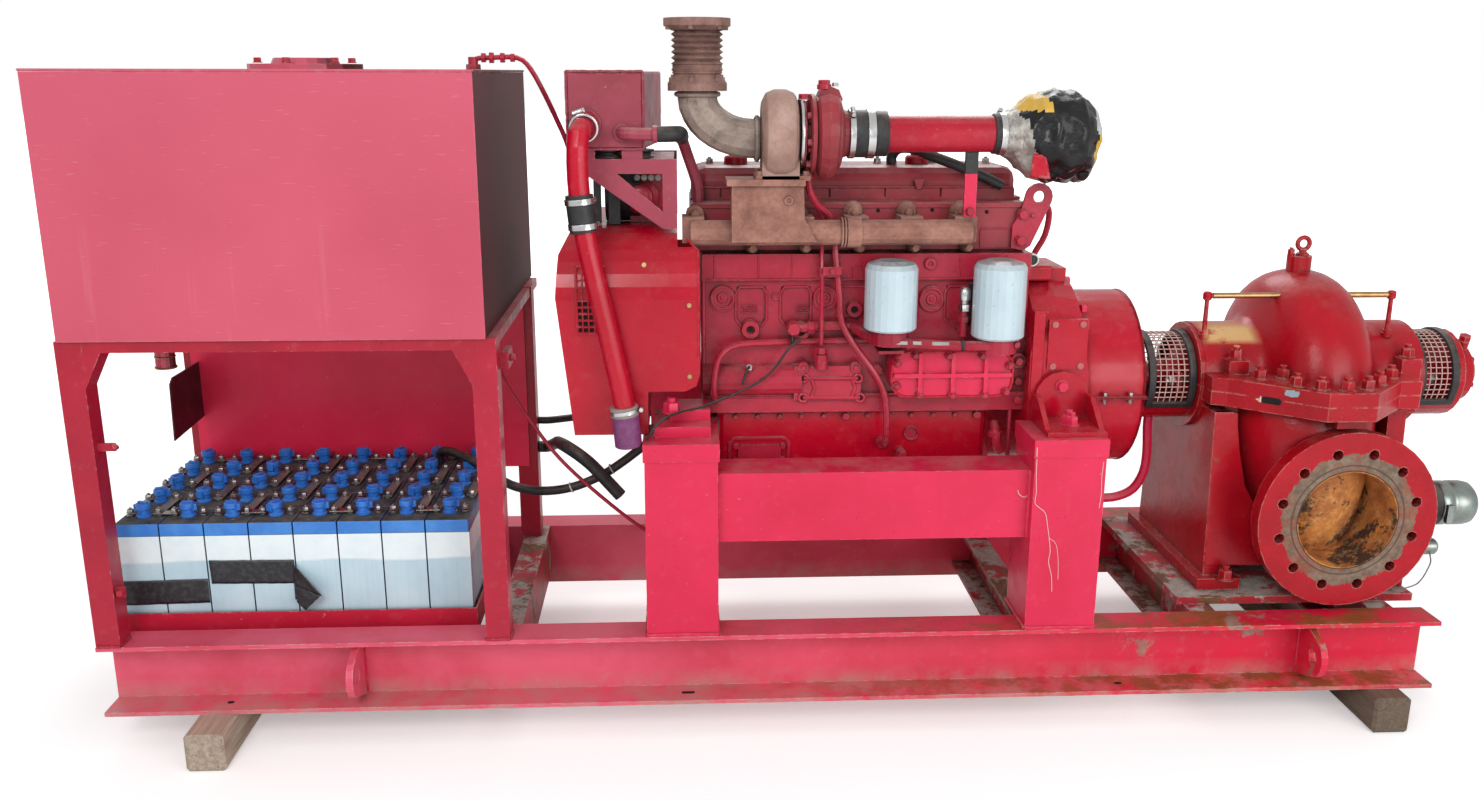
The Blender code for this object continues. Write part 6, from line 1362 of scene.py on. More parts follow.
def rocker_fittings():
    """Caps and bolts of the rocker cover, the lifting bracket's bolts and the head's end plug."""
    caps = Batch("rocker_caps", RED_GUARD)
    for x, y in ((1.29, 0.345), (1.676, 0.345)):
        profile = [(0.025, 0), (0.025, 0.014), (0.022, 0.018), (0.014, 0.018), (0.013, 0.024), (0.01, 0.026)]
        caps.lathe(profile, (x, y, 1.0745), Z_AXIS, 12)
    caps.done(0.0008)
    silver = Batch("rocker_bolts", STEEL, None)
    for x in (1.235, 1.48, 1.595, 1.7115, 1.83):
        silver.bolt((x, 0.3665, 1.075), Z_AXIS, 0.014)
        silver.drum((x, 0.3665, 1.083), Z_AXIS, 0.004, 0.006, 10)
    silver.done()
    bracket = Batch("lifting_bolts", RED_ENGINE, DARK_RED)
    bracket.bolt((1.8725, 0.2025, 0.9826), FRONT, 0.018)
    bracket.bolt((1.87, 0.2025, 0.929), FRONT, 0.018)
    bracket.drum((1.894, 0.2025, 0.98), FRONT, 0.005, 0.004, 12)
    bracket.done()
    ring = Batch("head_end_ring", STEEL, None)
    ring.lathe([(0.014, 0), (0.014, 0.01), (0.01, 0.01), (0.01, 0)], (1.9, 0.215, 0.888), FRONT, 20, True)
    ring.done(0.0006)
    core = Batch("head_end_plug", RUBBER, BLACK)
    core.drum((1.9, 0.213, 0.888), FRONT, 0.01, 0.006, 16)
    core.tube([(1.9, 0.214, 0.888), (1.888, 0.225, 0.888)], 0.009, 10)
    core.done()


PORT_PLACES = (1.524, 1.633, 1.742)


def manifold_castings():
    """Port bosses, the riser's frame and bolts, and the collar of the manifold."""
    iron = Batch("manifold_castings", MANIFOLD_IRON, "rusty_iron")
    for x in PORT_PLACES:
        cone = [(0.021, 0), (0.019, 0.01), (0.011, 0.026), (0.009, 0.034), (0.004, 0.035)]
        iron.lathe(cone, (x, 0.2115, 0.99), FRONT, 14)
        iron.lathe([(0.018, 0), (0.014, 0.016), (0.006, 0.02)], (x - 0.002, 0.2115, 0.972), FRONT, 12)
    for x in (1.3174, 1.4269, 1.5376, 1.6502, 1.76):
        iron.lathe([(0.015, 0), (0.013, 0.012), (0.009, 0.024), (0.004, 0.025)], (x, 0.2115, 0.9175), FRONT,
                   12)
        iron.hexagon((x, 0.1875, 0.9175), FRONT, 0.013, 0.008)
    for x in PORT_PLACES:
        iron.hexagon((x, 0.177, 0.99), FRONT, 0.013, 0.007)
    iron.drum((1.202, 0.2115, 0.985), FRONT, 0.018, 0.03, 18, 0.004)
    iron.bolt((1.202, 0.1815, 0.985), FRONT, 0.016)
    boss(iron, 1.3827, 1.0215, 0.0085, 0.006, 0.5, 0.106)
    iron.box((1.318, 1.424), (0.1, 0.18), (1.06, 1.069))
    for x, y in ((1.326, 0.108), (1.416, 0.108), (1.326, 0.172), (1.416, 0.172)):
        iron.bolt((x, y, 1.069), Z_AXIS, 0.012)
    for step in range(3):
        collar_x = 1.492 + 0.006 * step
        iron.ring((collar_x, EXHAUST_Y, 0.955), X_AXIS, 0.0285, 0.0022, 24, 6)
    iron.done(0.0008)


def turbo_castings():
    """Volute, flanges, bolts and oil fittings of the turbocharger."""
    y, z = EXHAUST_Y, 1.147
    iron = Batch("turbine_castings", TURBINE_IRON, "heat_grey_steel")
    profile = [(0.03, -0.034), (0.062, -0.036), (0.078, -0.028), (0.0845, -0.012), (0.0845, 0.01)]
    profile += [(0.078, 0.026), (0.062, 0.034), (0.03, 0.034)]
    iron.lathe(profile, (1.367, y, z), X_AXIS, 40)
    iron.box((1.336, 1.399), (0.108, 0.172), (1.069, 1.09))
    iron.done(0.0015, 2)
    volute = Batch("compressor_cover", RED_DULL, DARK_RED)
    volute.lathe([(0.07, 0), (0.076, 0.003), (0.076, 0.01), (0.07, 0.013), (0.04, 0.013), (0.04, 0)],
                 (1.423, y, z), X_AXIS, 36)
    for step in range(8):
        angle = 2 * pi * step / 8 + 0.2
        place = (1.4235, y + 0.066 * cos(angle), z + 0.066 * sin(angle))
        volute.bolt(place, (-1, 0, 0), 0.011)
    volute.done(0.001)
    fittings = Batch("turbo_fittings", RED_ENGINE, DARK_RED)
    for step in range(6):
        angle = 2 * pi * step / 6 + 0.5
        place = (1.418, y + 0.054 * cos(angle), z + 0.054 * sin(angle))
        fittings.bolt(place, X_AXIS, 0.011)
    fittings.drum((1.413, y - 0.01, z + 0.04), Z_AXIS, 0.012, 0.028, 16)
    fittings.hexagon((1.413, y - 0.01, z + 0.066), Z_AXIS, 0.02, 0.01)
    fittings.drum((1.452, y, z + 0.084), Z_AXIS, 0.014, 0.01, 16)
    fittings.hexagon((1.452, y, z + 0.093), Z_AXIS, 0.02, 0.009)
    fittings.done(0.0006)
    clips = Batch("turbo_clips", CHROME, None)
    clips.ring((1.4075, y, z), X_AXIS, 0.0655, 0.0035, 36, 8)
    clips.drum((1.413, y - 0.01, z + 0.062), Z_AXIS, 0.013, 0.004, 16)
    clips.hexagon((1.472, 0.128, 1.237), Z_AXIS, 0.011, 0.007)
    clips.done()


def intake_fittings():
    """Hose joint and clamps of the intake, and the support bar's black top and bolt."""
    y, z = EXHAUST_Y, 1.147
    joint = Batch("intake_hose", RUBBER, BLACK)
    joint.lathe([(0.044, 0), (0.0455, 0.003), (0.0455, 0.046), (0.044, 0.05)], (1.502, y, z), X_AXIS, 32)
    joint.drum((1.576, y, z), (-1, 0, 0), 0.0435, 0.024, 32)
    joint.drum((1.785, y, z), X_AXIS, 0.039, 0.014, 32)
    joint.done(0.0008)
    for clamp in ((1.506, 0.0462, 0.012, 120), (1.543, 0.0462, 0.016, 20), (1.802, 0.04, 0.013, 60)):
        worm_clamp((clamp[0], y, z), X_AXIS, *clamp[1:])
    top = Batch("support_bar_top", RUBBER, BLACK)
    top.box((1.7345, 1.7595), (0.1345, 0.1455), (1.07, 1.112))
    top.done(0.0008)
    bolt = Batch("support_bar_bolt", RED_ENGINE, DARK_RED)
    bolt.bolt((1.747, 0.136, 0.996), FRONT, 0.014)
    bolt.drum((1.747, 0.144, 0.996), (0, 1, 0), 0.008, 0.03, 12)
    bolt.done(0.0005)


INLET_MIDDLE = (EXHAUST_Y + 0.004, 1.146)
INLET_STATIONS = (
    (1.796, 0.037), (1.806, 0.041), (1.82, 0.049), (1.835, 0.061), (1.852, 0.074),
    (1.872, 0.083), (1.895, 0.088), (1.918, 0.089), (1.94, 0.086), (1.96, 0.08),
    (1.976, 0.069), (1.988, 0.052), (1.9945, 0.028),
)
INLET_SIDES = 72
INLET_NECK = 1.8
SAG_START = 1.86
FOIL_END = 1.846
YELLOW_END = 1.905
YELLOW_HEIGHT = 0.046
NOSE_START = 1.976


def crumpled(x, radius, angle):
    """A point of the bound inlet's skin, crumpled past its neck and sagging to its nose."""
    out = Vector((0, cos(angle), sin(angle)))
    place = Vector((x, *INLET_MIDDLE)) + out * radius
    swell = max(0.0, min(1.0, (x - INLET_NECK) / 0.05))
    crumple = 0.0085 * (0.5 - abs(noise.noise(place * 24)) * 2.0) + 0.0035 * noise.noise(place * 70)
    facet = 0.0045 * noise.cell(Vector((place.x * 22, angle * 1.9, 0.5)))
    place += out * swell * (crumple - facet)
    place.z -= 0.01 * swell * max(0.0, (x - SAG_START) / 0.13)
    return place


def tape_index(centre):
    """Which tape covers a place: black 0, foil 1, yellow 2, grey 3."""
    height = centre.z - INLET_MIDDLE[1]
    shift = 0.012 * noise.noise(centre * 40)
    seam = centre.x + 0.4 * height + shift
    if seam < FOIL_END:
        return 1
    if height > YELLOW_HEIGHT and seam < YELLOW_END + shift:
        return 2
    if centre.x + shift > NOSE_START:
        return 3 if height > 0 else 2
    return 0


def wrapped_inlet():
    """The inlet bound in foil and glossy black tape, in place of its plain solid."""
    body = bmesh.new()
    rows = []
    for point in smooth_route([(x, radius, 0) for x, radius in INLET_STATIONS], 4):
        turns = [2 * pi * k / INLET_SIDES for k in range(INLET_SIDES)]
        rows.append([body.verts.new(crumpled(point.x, point.y, a) + SKID_CORNER) for a in turns])
    for low, high in zip(rows, rows[1:]):
        for k in range(INLET_SIDES):
            after = (k + 1) % INLET_SIDES
            body.faces.new((low[k], low[after], high[after], high[k]))
    body.faces.new(list(reversed(rows[0])))
    body.faces.new(rows[-1])
    bmesh.ops.recalc_face_normals(body, faces=body.faces)
    for face in body.faces:
        face.smooth = True
        face.material_index = tape_index(face.calc_center_median() - SKID_CORNER)
    data = bpy.data.meshes.new("taped_inlet")
    body.to_mesh(data)
    body.free()
    for look in (WRAP_TAPE, FOIL, YELLOW_TAPE, GREY_TAPE):
        data.materials.append(look)
    piece = placed("taped_inlet", data)
    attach(piece, "root")
    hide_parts("wrapped_inlet")
    corners = [(1.85, 0.072, 1.113), (1.876, 0.072, 1.11), (1.888, 0.076, 1.064), (1.848, 0.076, 1.068)]
    patch("inlet_red_flap", RED_GUARD, corners, 0.0, 0.0015, "red_paint", (8, 8))


def coolant_fittings():
    """Hose joint and clamps of the coolant pipe, the purple hose end and the side pipe's hose."""
    hose = Batch("coolant_hose_joint", RUBBER, BLACK)
    hose.tube([(0.9835, 0.022, 1.041), (0.985, 0.022, 1.02), (0.9875, 0.022, 0.995), (0.9905, 0.022, 0.972)],
              0.0262, 24)
    hose.done(0.0006)
    way = (0.006, 0, -0.069)
    worm_clamp((0.984, 0.022, 1.029), way, 0.0268, 0.012, 30)
    worm_clamp((0.9893, 0.022, 0.983), way, 0.0268, 0.012, 30)
    worm_clamp((0.993, 0.06, 1.162), (0, 1, 0.25), 0.0262, 0.012, 70)
    end = Batch("coolant_hose_end", PURPLE_RUBBER, BLACK)
    end.tube([(1.0595, 0.0225, 0.618), (1.0625, 0.0245, 0.59), (1.0655, 0.027, 0.552)], 0.0268, 24)
    end.done(0.0008)
    dusty = Batch("coolant_hose_band", PALE_DUST, None)
    dusty.tube([(1.058, 0.0225, 0.633), (1.0598, 0.0228, 0.614)], 0.0278, 24)
    dusty.done(0.0008)
    worm_clamp((1.0592, 0.0226, 0.624), (0.02, 0.003, -0.14), 0.0282, 0.009, 100)
    side = Batch("side_pipe_hose", RUBBER, BLACK)
    run = [(1.128, 0.0865, 1.149), (1.145, 0.088, 1.149), (1.166, 0.1, 1.149), (1.173, 0.132, 1.147),
           (1.175, 0.175, 1.14)]
    side.tube(smooth_route(run), 0.0152, 16)
    side.done(0.0006)
    collar = Batch("side_pipe_collars", RED_HEADER)
    collar.drum((1.12, 0.0865, 1.149), X_AXIS, 0.0165, 0.01, 18)
    collar.drum((1.062, 0.1198, 1.15), FRONT, 0.017, 0.008, 18)
    collar.drum((0.993, 0.1198, 1.166), FRONT, 0.03, 0.006, 24)
    collar.done(0.0008)


def header_fittings():
    """Weld beads of the header tank, and the pulleys, belt and water pump under it."""
    beads = Batch("header_welds", RED_HEADER)
    left, right, front, low, high = 0.957, 1.103, 0.12, 1.119, 1.264
    for start, end in (
        ((left, front, low), (right, front, low)), ((left, front, high), (right, front, high)),
        ((left, front, low), (left, front, high)), ((right, front, low), (right, front, high)),
    ):
        weld(beads, start, end, 0.0035)
    beads.done()
    discs = Batch("fan_pulleys", RUBBER, BLACK)
    for x in (1.03, 1.092):
        sheave = [(0.03, 0), (0.03, 0.003), (0.022, 0.007), (0.022, 0.009), (0.03, 0.013), (0.03, 0.016)]
        discs.lathe(sheave, (x, 0.16, 1.101), Z_AXIS, 28)
    discs.done(0.0005)
    belt = Batch("fan_belt", RUBBER, BLACK)
    belt.box((0.998, 1.013), (0.205, 0.215), (0.966, 1.09))
    belt.box((1.028, 1.052), (0.19, 0.196), (0.966, 1.085))
    belt.done(0.001)
    body = Batch("water_pump_body", RED_ENGINE, DARK_RED)
    profile = [(0.034, 0), (0.036, 0.004), (0.036, 0.02), (0.026, 0.026), (0.024, 0.05), (0.016, 0.054)]
    body.lathe(profile, (1.092, 0.24, 1.02), FRONT, 20)
    body.box((1.07, 1.15), (0.232, 0.262), (0.966, 1.065))
    for x, z in ((1.078, 1.046), (1.106, 1.048), (1.074, 0.996), (1.11, 0.994)):
        body.bolt((x, 0.232, z), FRONT, 0.012)
    body.done(0.0015)
    steel = Batch("water_pump_studs", STEEL, None)
    for x in (1.086, 1.1, 1.114, 1.128):
        steel.nut((x, 0.205, 1.058), FRONT, 0.009)
        steel.drum((x, 0.235, 1.058), FRONT, 0.003, 0.03, 8)
    steel.done()


GUARD_RADIUS = 0.13
GUARD_FRONT = 0.06
GUARD_TOP = 0.965
GUARD_BOTTOM = 0.561


def guard_depth(z):
    """How far back the belt guard's face lies at a height."""
    turn = GUARD_TOP - GUARD_RADIUS
    if z <= turn:
        return GUARD_FRONT + 0.01 * (turn - z) / (turn - GUARD_BOTTOM)
    rise = z - turn
    return GUARD_FRONT + GUARD_RADIUS - sqrt(GUARD_RADIUS**2 - rise**2)


def guard_grille():
    """The small barred window of the belt guard, with painted shade behind its bars and screws on its sheet.
    """
    left, right, low, high = 0.969, 1.026, 0.7695, 0.8995
    levels = [low + (high - low) * i / 12 for i in range(13)]
    # Painted shade: dark strips behind the bars stand in for the hollow behind the window.
    dark = Batch("guard_window_shade", HOLE_SHADE, None)
    for slot in range(10):
        foot = 0.7725 + 0.013 * slot
        run = [(0.5 * (left + right), guard_depth(z) + 0.003, z) for z in (foot, foot + 0.007)]
        dark.band(run, X_AXIS, right - left - 0.001, 0.0006)
    dark.done()
    bars = Batch("guard_window_bars", RED_GUARD)
    for column in range(6):
        x = left + (right - left) * column / 5
        thick = 0.003 if column in (0, 5) else 0.0016
        bars.tube([(x, guard_depth(z) - 0.0012, z) for z in levels], thick, 6)
    for row in range(11):
        z = low + 0.013 * row
        thick = 0.003 if row in (0, 10) else 0.0018
        bars.tube([(left, guard_depth(z) - 0.0012, z), (right, guard_depth(z) - 0.0012, z)], thick, 6)
    bars.done()
    screws = Batch("guard_screws", BRASS, None)
    for x, z in ((1.1004, 0.901), (1.187, 0.824), (1.187, 0.68)):
        screws.drum((x, guard_depth(z) - 0.0002, z), (0, -1, 0.2), 0.0055, 0.003, 12)
    screws.done()
    seams = Batch("guard_edges", RED_GUARD)
    run = [(1.2055, guard_depth(z) + 0.0005, z) for z in (0.72, 0.8, 0.835, 0.87, 0.9)]
    run += [(1.2055 - (z - 0.925) * 1.1, guard_depth(z) + 0.0005, z) for z in (0.925, 0.945)]
    seams.tube(run, 0.003, 6)
    seams.done()


def flywheel_fittings():
    """Cover plate, stepped top and bolts of the flywheel housing."""
    plate = Batch("housing_cover", RED_GUARD)
    face = 0.155
    plate.box((1.896, 1.92), (face - 0.003, face + 0.01), (0.6, 0.79))
    plate.done(0.0012)
    screws = Batch("housing_screws", SCREW_PAINT, None)
    for x, z in ((1.94, 0.762), (1.998, 0.762), (1.94, 0.674), (1.998, 0.674)):
        screws.drum((x, face - 0.004, z), FRONT, 0.0072, 0.0035, 16, 0.0012)
    screws.done()
    step = Batch("housing_top_step", RED_GUARD)
    step.box((1.896, 1.96), (0.255, 0.475), (0.835, 0.868))
    step.done(0.006, 2)
    insert = Batch("housing_top_plug", PALE_DUST, None)
    insert.drum((1.977, 0.318, 0.856), Z_AXIS, 0.013, 0.004, 16)
    insert.done()
    bolts = Batch("housing_bolts", RED_BRIGHT)
    for y, out in ((0.141, FRONT), (back(0.141), (0, 1, 0))):
        bolts.bolt((1.9586, y, 0.6343), out, 0.02)
    for y in (0.075, back(0.075)):
        bolts.nut((1.964, y, 0.569), Z_AXIS, 0.022)
    for step_number in range(10):
        angle = radians(36 * step_number + 18)
        y = SHAFT_Y + 0.215 * cos(angle)
        z = SHAFT_Z + 0.215 * sin(angle)
        if abs(y - SHAFT_Y) < 0.19:
            bolts.bolt((2.02, y, z), X_AXIS, 0.015)
    bolts.done(0.0005)


def coupling_fittings():
    """The coupling guard's split flange, ends and bolts, and the left gland bracket."""
    split = Batch("coupling_guard_flange", RED_DRUM)
    for y, sign in ((0.1745, -1), (back(0.1745), 1)):
        outer = y + sign * 0.02
        split.box((2.024, 2.148), tuple(sorted((y, outer))), (0.603, 0.6055))
        split.box((2.024, 2.148), tuple(sorted((y, outer))), (0.5995, 0.602))
    split.ring((2.0235, SHAFT_Y, SHAFT_Z), X_AXIS, 0.1925, 0.0035, 64, 6)
    split.ring((2.147, SHAFT_Y, SHAFT_Z), X_AXIS, 0.1905, 0.003, 64, 6)
    split.done(0.0005)
    pins = Batch("coupling_guard_bolts", STEEL, None)
    for x in (2.06, 2.115):
        for y in (0.1645, back(0.1645)):
            pins.bolt((x, y, 0.6055), Z_AXIS, 0.01)
            pins.nut((x, y, 0.5995), (0, 0, -1), 0.01)
    pins.done()
    arms = Batch("left_bearing_bracket", RED_PUMP)
    for angle in (150, 205, 335, 30, 90, 270):
        a = radians(angle)
        y = SHAFT_Y + 0.07 * cos(a)
        z = SHAFT_Z + 0.07 * sin(a)
        arms.tube([(2.1505, y, z), (2.193, y, z)], 0.007, 10)
        arms.bolt((2.179, y + 0.004 * cos(a), z), (-1, 0, 0), 0.014)
    arms.done(0.0005)


CAGE_RADIUS = 0.098
CAGE_START = -35
CAGE_END = 215
MESH_PITCH = 0.013


def cage_point(x, angle, radius):
    """A point of the cage's arc; the angle is in degrees."""
    a = radians(angle)
    return (x, SHAFT_Y + radius * cos(a), SHAFT_Z + radius * sin(a))


def gland_cage(side, left, right):
    """A bent wire mesh guard with thick rubber trim, in place of its plain shell."""
    trim = Batch(f"gland_trim_{side}", RUBBER, BLACK)
    edge = 0.0085
    arc = [CAGE_START + (CAGE_END - CAGE_START) * i / 60 for i in range(61)]
    for x in (left + edge, right - edge):
        trim.band([cage_point(x, a, CAGE_RADIUS - 0.001) for a in arc], X_AXIS, 0.017, 0.009)
    for angle in (CAGE_START + 4, CAGE_END - 4):
        way = Vector(cage_point(0, angle + 90, 1.0)) - Vector((0, SHAFT_Y, SHAFT_Z))
        run = [cage_point(left + 0.002, angle, CAGE_RADIUS - 0.001),
               cage_point(right - 0.002, angle, CAGE_RADIUS - 0.001)]
        trim.band(run, way, 0.017, 0.0088)
    piece = trim.done(0.003, 3)
    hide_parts(f"gland_guard_{side}")
    wires = Batch(f"gland_mesh_{side}", PALE_WIRE, None)
    inner_left, inner_right = left + 0.014, right - 0.014
    columns = max(3, round((inner_right - inner_left) / MESH_PITCH))
    for column in range(columns + 1):
        x = inner_left + (inner_right - inner_left) * column / columns
        wires.tube([cage_point(x, a, CAGE_RADIUS - 0.002) for a in arc], 0.0012, 5)
    rows = round(radians(CAGE_END - CAGE_START) * CAGE_RADIUS / MESH_PITCH)
    for row in range(1, rows):
        angle = CAGE_START + (CAGE_END - CAGE_START) * row / rows
        run = [cage_point(inner_left, angle, CAGE_RADIUS - 0.0035),
               cage_point(inner_right, angle, CAGE_RADIUS - 0.0035)]
        wires.tube(run, 0.0012, 5)
    wires.done()


def glands():
    """Both cages and the gland followers that show through them."""
    gland_cage("left", 2.1923, 2.2997)
    gland_cage("right", 2.8003, 2.8927)
    parts = Batch("gland_followers", RED_PUMP)
    nuts = Batch("gland_nuts", STEEL, None)
    for wall, sign in ((2.3, -1), (2.8, 1)):
        way = (sign, 0, 0)
        profile = [(0.06, 0), (0.06, 0.01), (0.04, 0.014), (0.036, 0.04), (0.03, 0.042)]
        parts.lathe(profile, (wall, SHAFT_Y, SHAFT_Z), way, 28)
        plate_x = tuple(sorted((wall + sign * 0.026, wall + sign * 0.038)))
        parts.box(plate_x, (SHAFT_Y - 0.08, SHAFT_Y + 0.08), (SHAFT_Z - 0.02, SHAFT_Z + 0.02))
        for y in (SHAFT_Y - 0.066, SHAFT_Y + 0.066):
            nuts.drum((wall, y, SHAFT_Z), way, 0.006, 0.06, 12)
            nuts.hexagon((wall + sign * 0.038, y, SHAFT_Z), way, 0.02, 0.014)
    parts.done(0.0015, 2)
    nuts.done(0.0005)
    knob = Batch("bearing_cap_parts", RED_PUMP)
    knob.drum((2.925, 0.33, 0.662), (0, -0.3, 1), 0.012, 0.026, 16, 0.003)
    knob.hexagon((2.925, 0.3225, 0.686), (0, -0.3, 1), 0.022, 0.012)
    for angle in (20, 80, 140, 200, 260, 320):
        a = radians(angle)
        knob.bolt((2.9445, SHAFT_Y + 0.056 * cos(a), SHAFT_Z + 0.056 * sin(a)), X_AXIS, 0.012)
    knob.done(0.0008)


SPLIT_TOP = 0.634
SPLIT_NUTS = (
    (2.4, 0.186), (2.451, 0.191), (2.448, 0.121), (2.484, 0.088), (2.532, 0.076),
    (2.58, 0.086), (2.628, 0.128), (2.684, 0.184),
)

# Height, middle, half width and front of the lower casing's bulge
CASING_BULGE = (
    (0.5735, 2.53, 0.16, 0.118), (0.54, 2.53, 0.162, 0.104), (0.5, 2.532, 0.16, 0.098),
    (0.45, 2.536, 0.152, 0.1), (0.4, 2.542, 0.142, 0.108), (0.35, 2.548, 0.13, 0.118),
    (0.3, 2.553, 0.116, 0.132), (0.26, 2.556, 0.095, 0.15), (0.235, 2.56, 0.06, 0.175),
)
# Outline of the left leg's web, as (X, Z)
LEG_WEB = (
    (2.313, 0.56), (2.364, 0.56), (2.366, 0.53), (2.374, 0.474), (2.392, 0.397),
    (2.418, 0.35), (2.46, 0.29), (2.5, 0.243), (2.52, 0.215), (2.313, 0.215),
)
# Distance from the volute's middle and radius of the smooth skin over the volute and its necks
VOLUTE_SKIN = (
    (0.244, 0.1187), (0.16, 0.1188), (0.138, 0.1196), (0.123, 0.123), (0.113, 0.131), (0.107, 0.145),
    (0.101, 0.164), (0.095, 0.178), (0.088, 0.1915), (0.076, 0.2078), (0.062, 0.2195), (0.046, 0.2282),
    (0.03, 0.233), (0.015, 0.2357), (0.0, 0.2366),
)


def volute_skin():
    """The smooth skin of the volute and its necks, rounded where they meet."""
    shell = Batch("volute_skin", RED_PUMP)
    half = [(radius, PUMP_X - reach) for reach, radius in VOLUTE_SKIN]
    profile = half + [(radius, 2 * PUMP_X - x) for radius, x in reversed(half[:-1])]
    loops = []
    for radius, x in profile:
        turns = [radians(360 * i / 96) for i in range(96)]
        loops.append([(x, SHAFT_Y + radius * cos(t), SHAFT_Z + radius * sin(t)) for t in turns])
    shell.skin(loops, ends=False)
    shell.done()


def casing_bulge():
    """The smooth swelling of the lower casing behind each branch, and the web of the left leg."""
    cast = Batch("lower_casing_bulge", RED_PUMP)
    for side in (lambda y: y, back):
        loops = []
        for z, middle, half, front in CASING_BULGE:
            turns = [radians(180 * i / 28) for i in range(29)]
            loops.append(
                [(middle - half * cos(t), side(0.3 - (0.3 - front) * sin(t) ** 0.9), z) for t in turns]
            )
        cast.skin(loops)
        webs = []
        for depth in (0.001, 0.02):
            webs.append([(x, side(0.1885 - 0.02 * (0.56 - z) / 0.344 + depth), z) for x, z in LEG_WEB])
        cast.skin(webs)
    cast.done(0.004, 2, 50)


def chips_on_split_flange():
    """Two places where the split flange's paint has chipped off."""
    blue = ("blue_grey_chip", CHIP_GREY, 2.432, 0.623, 0.016)
    cream = ("cream_chip", CHIP_CREAM, 2.386, 0.5985, 0.009)
    for name, tone, x, z, reach in (blue, cream):
        chip = Batch(name, tone, None)
        outline = []
        for i in range(18):
            turn = radians(20 * i)
            size = reach * random.uniform(0.6, 1.15)
            outline.append((size * cos(turn), 0.55 * size * sin(turn)))
        chip.prism(outline, (x, 0.055 + 0.8882 * (2.487 - x), z), (-0.664, -0.748, 0), 0.0006)
        chip.done()


def pump_fittings():
    """Nuts of the split flange and foot, casting bosses, and the flange's recess: painted shade in it and a
    pale rim.
    """
    nuts = Batch("split_flange_nuts", RED_PUMP)
    for side in (0, 1):
        for x, y in SPLIT_NUTS:
            y = back(y) if side else y
            nuts.nut((x, y, SPLIT_TOP), Z_AXIS, 0.024)
        for x in (2.372, 2.754):
            y = back(0.25) if side else 0.25
            nuts.nut((x, y, 0.664), Z_AXIS, 0.024)
    for x, y in ((2.352, 0.148), (2.352, back(0.148))):
        nuts.nut((x, y, 0.194), Z_AXIS, 0.026)
    nuts.done(0.0008)
    bosses = Batch("pump_casting_bosses", RED_PUMP)
    for x, y, z in ((2.395, 0.24, 0.48), (2.43, 0.225, 0.482)):
        bosses.lathe([(0.02, 0), (0.016, 0.012), (0.008, 0.018)], (x, y, z), (-0.2, -1, 0.2), 16)
    bosses.box((2.52, 2.575), (0.075, 0.12), (0.552, 0.574))
    bosses.done(0.003, 2)
    # Painted shade: a thin dark patch stands in for the hollow of the split flange's recess.
    recess = Batch("split_flange_recess_shade", HOLE_SHADE, None)
    outline = [(a, -b) for a, b in round_rect(-0.02, 0.02, -0.007, 0.007, 0.006)]
    recess.prism(outline, (2.402, 0.1299, 0.6005), (-0.66, -0.75, 0), 0.0006)
    recess.done()
    rim_look = Batch("recess_rim", PALE_PAINT, None)
    rim_look.box((2.3845, 2.3865), (0.144, 0.146), (0.594, 0.607))
    rim_look.done()


def eyebolt_and_seal_pipes():
    """The eyebolt and cock on the volute, and the seal pipes' brass and knuckles."""
    eye = Batch("pump_eyebolt", RED_PUMP)
    x, y, top = 2.553, SHAFT_Y, 0.872
    eye.lathe([(0.014, 0), (0.014, 0.004), (0.008, 0.008), (0.008, 0.014)], (x, y, top), Z_AXIS, 18)
    eye.ring((x, y, 0.898), FRONT, 0.0135, 0.0052, 28, 10)
    eye.drum((2.526, y - 0.002, 0.86), Z_AXIS, 0.0075, 0.02, 14)
    eye.hexagon((2.526, y - 0.002, 0.878), Z_AXIS, 0.014, 0.008)
    eye.box((2.5245, 2.5275), (y - 0.009, y + 0.005), (0.886, 0.89))
    eye.done(0.0008)
    pipes = Batch("seal_pipe_brass", BRASS, None)
    for start, end in ((2.33, 2.488), (2.622, 2.72)):
        pipes.tube([(start, 0.3, 0.794), (end, 0.3, 0.794)], 0.0066, 12)
    pipes.done()
    knuckles = Batch("seal_pipe_knuckles", RED_PUMP)
    for x in (2.318, 2.73):
        knuckles.drum((x, 0.3, 0.7), Z_AXIS, 0.011, 0.01, 14)
        knuckles.hexagon((x, 0.3, 0.708), Z_AXIS, 0.018, 0.008)
        knuckles.drum((x, 0.3, 0.784), Z_AXIS, 0.0095, 0.019, 14, 0.003)
    for x, way in ((2.488, X_AXIS), (2.622, (-1, 0, 0))):
        knuckles.drum((x, 0.3, 0.794), way, 0.0095, 0.012, 14)
    knuckles.done(0.0005)


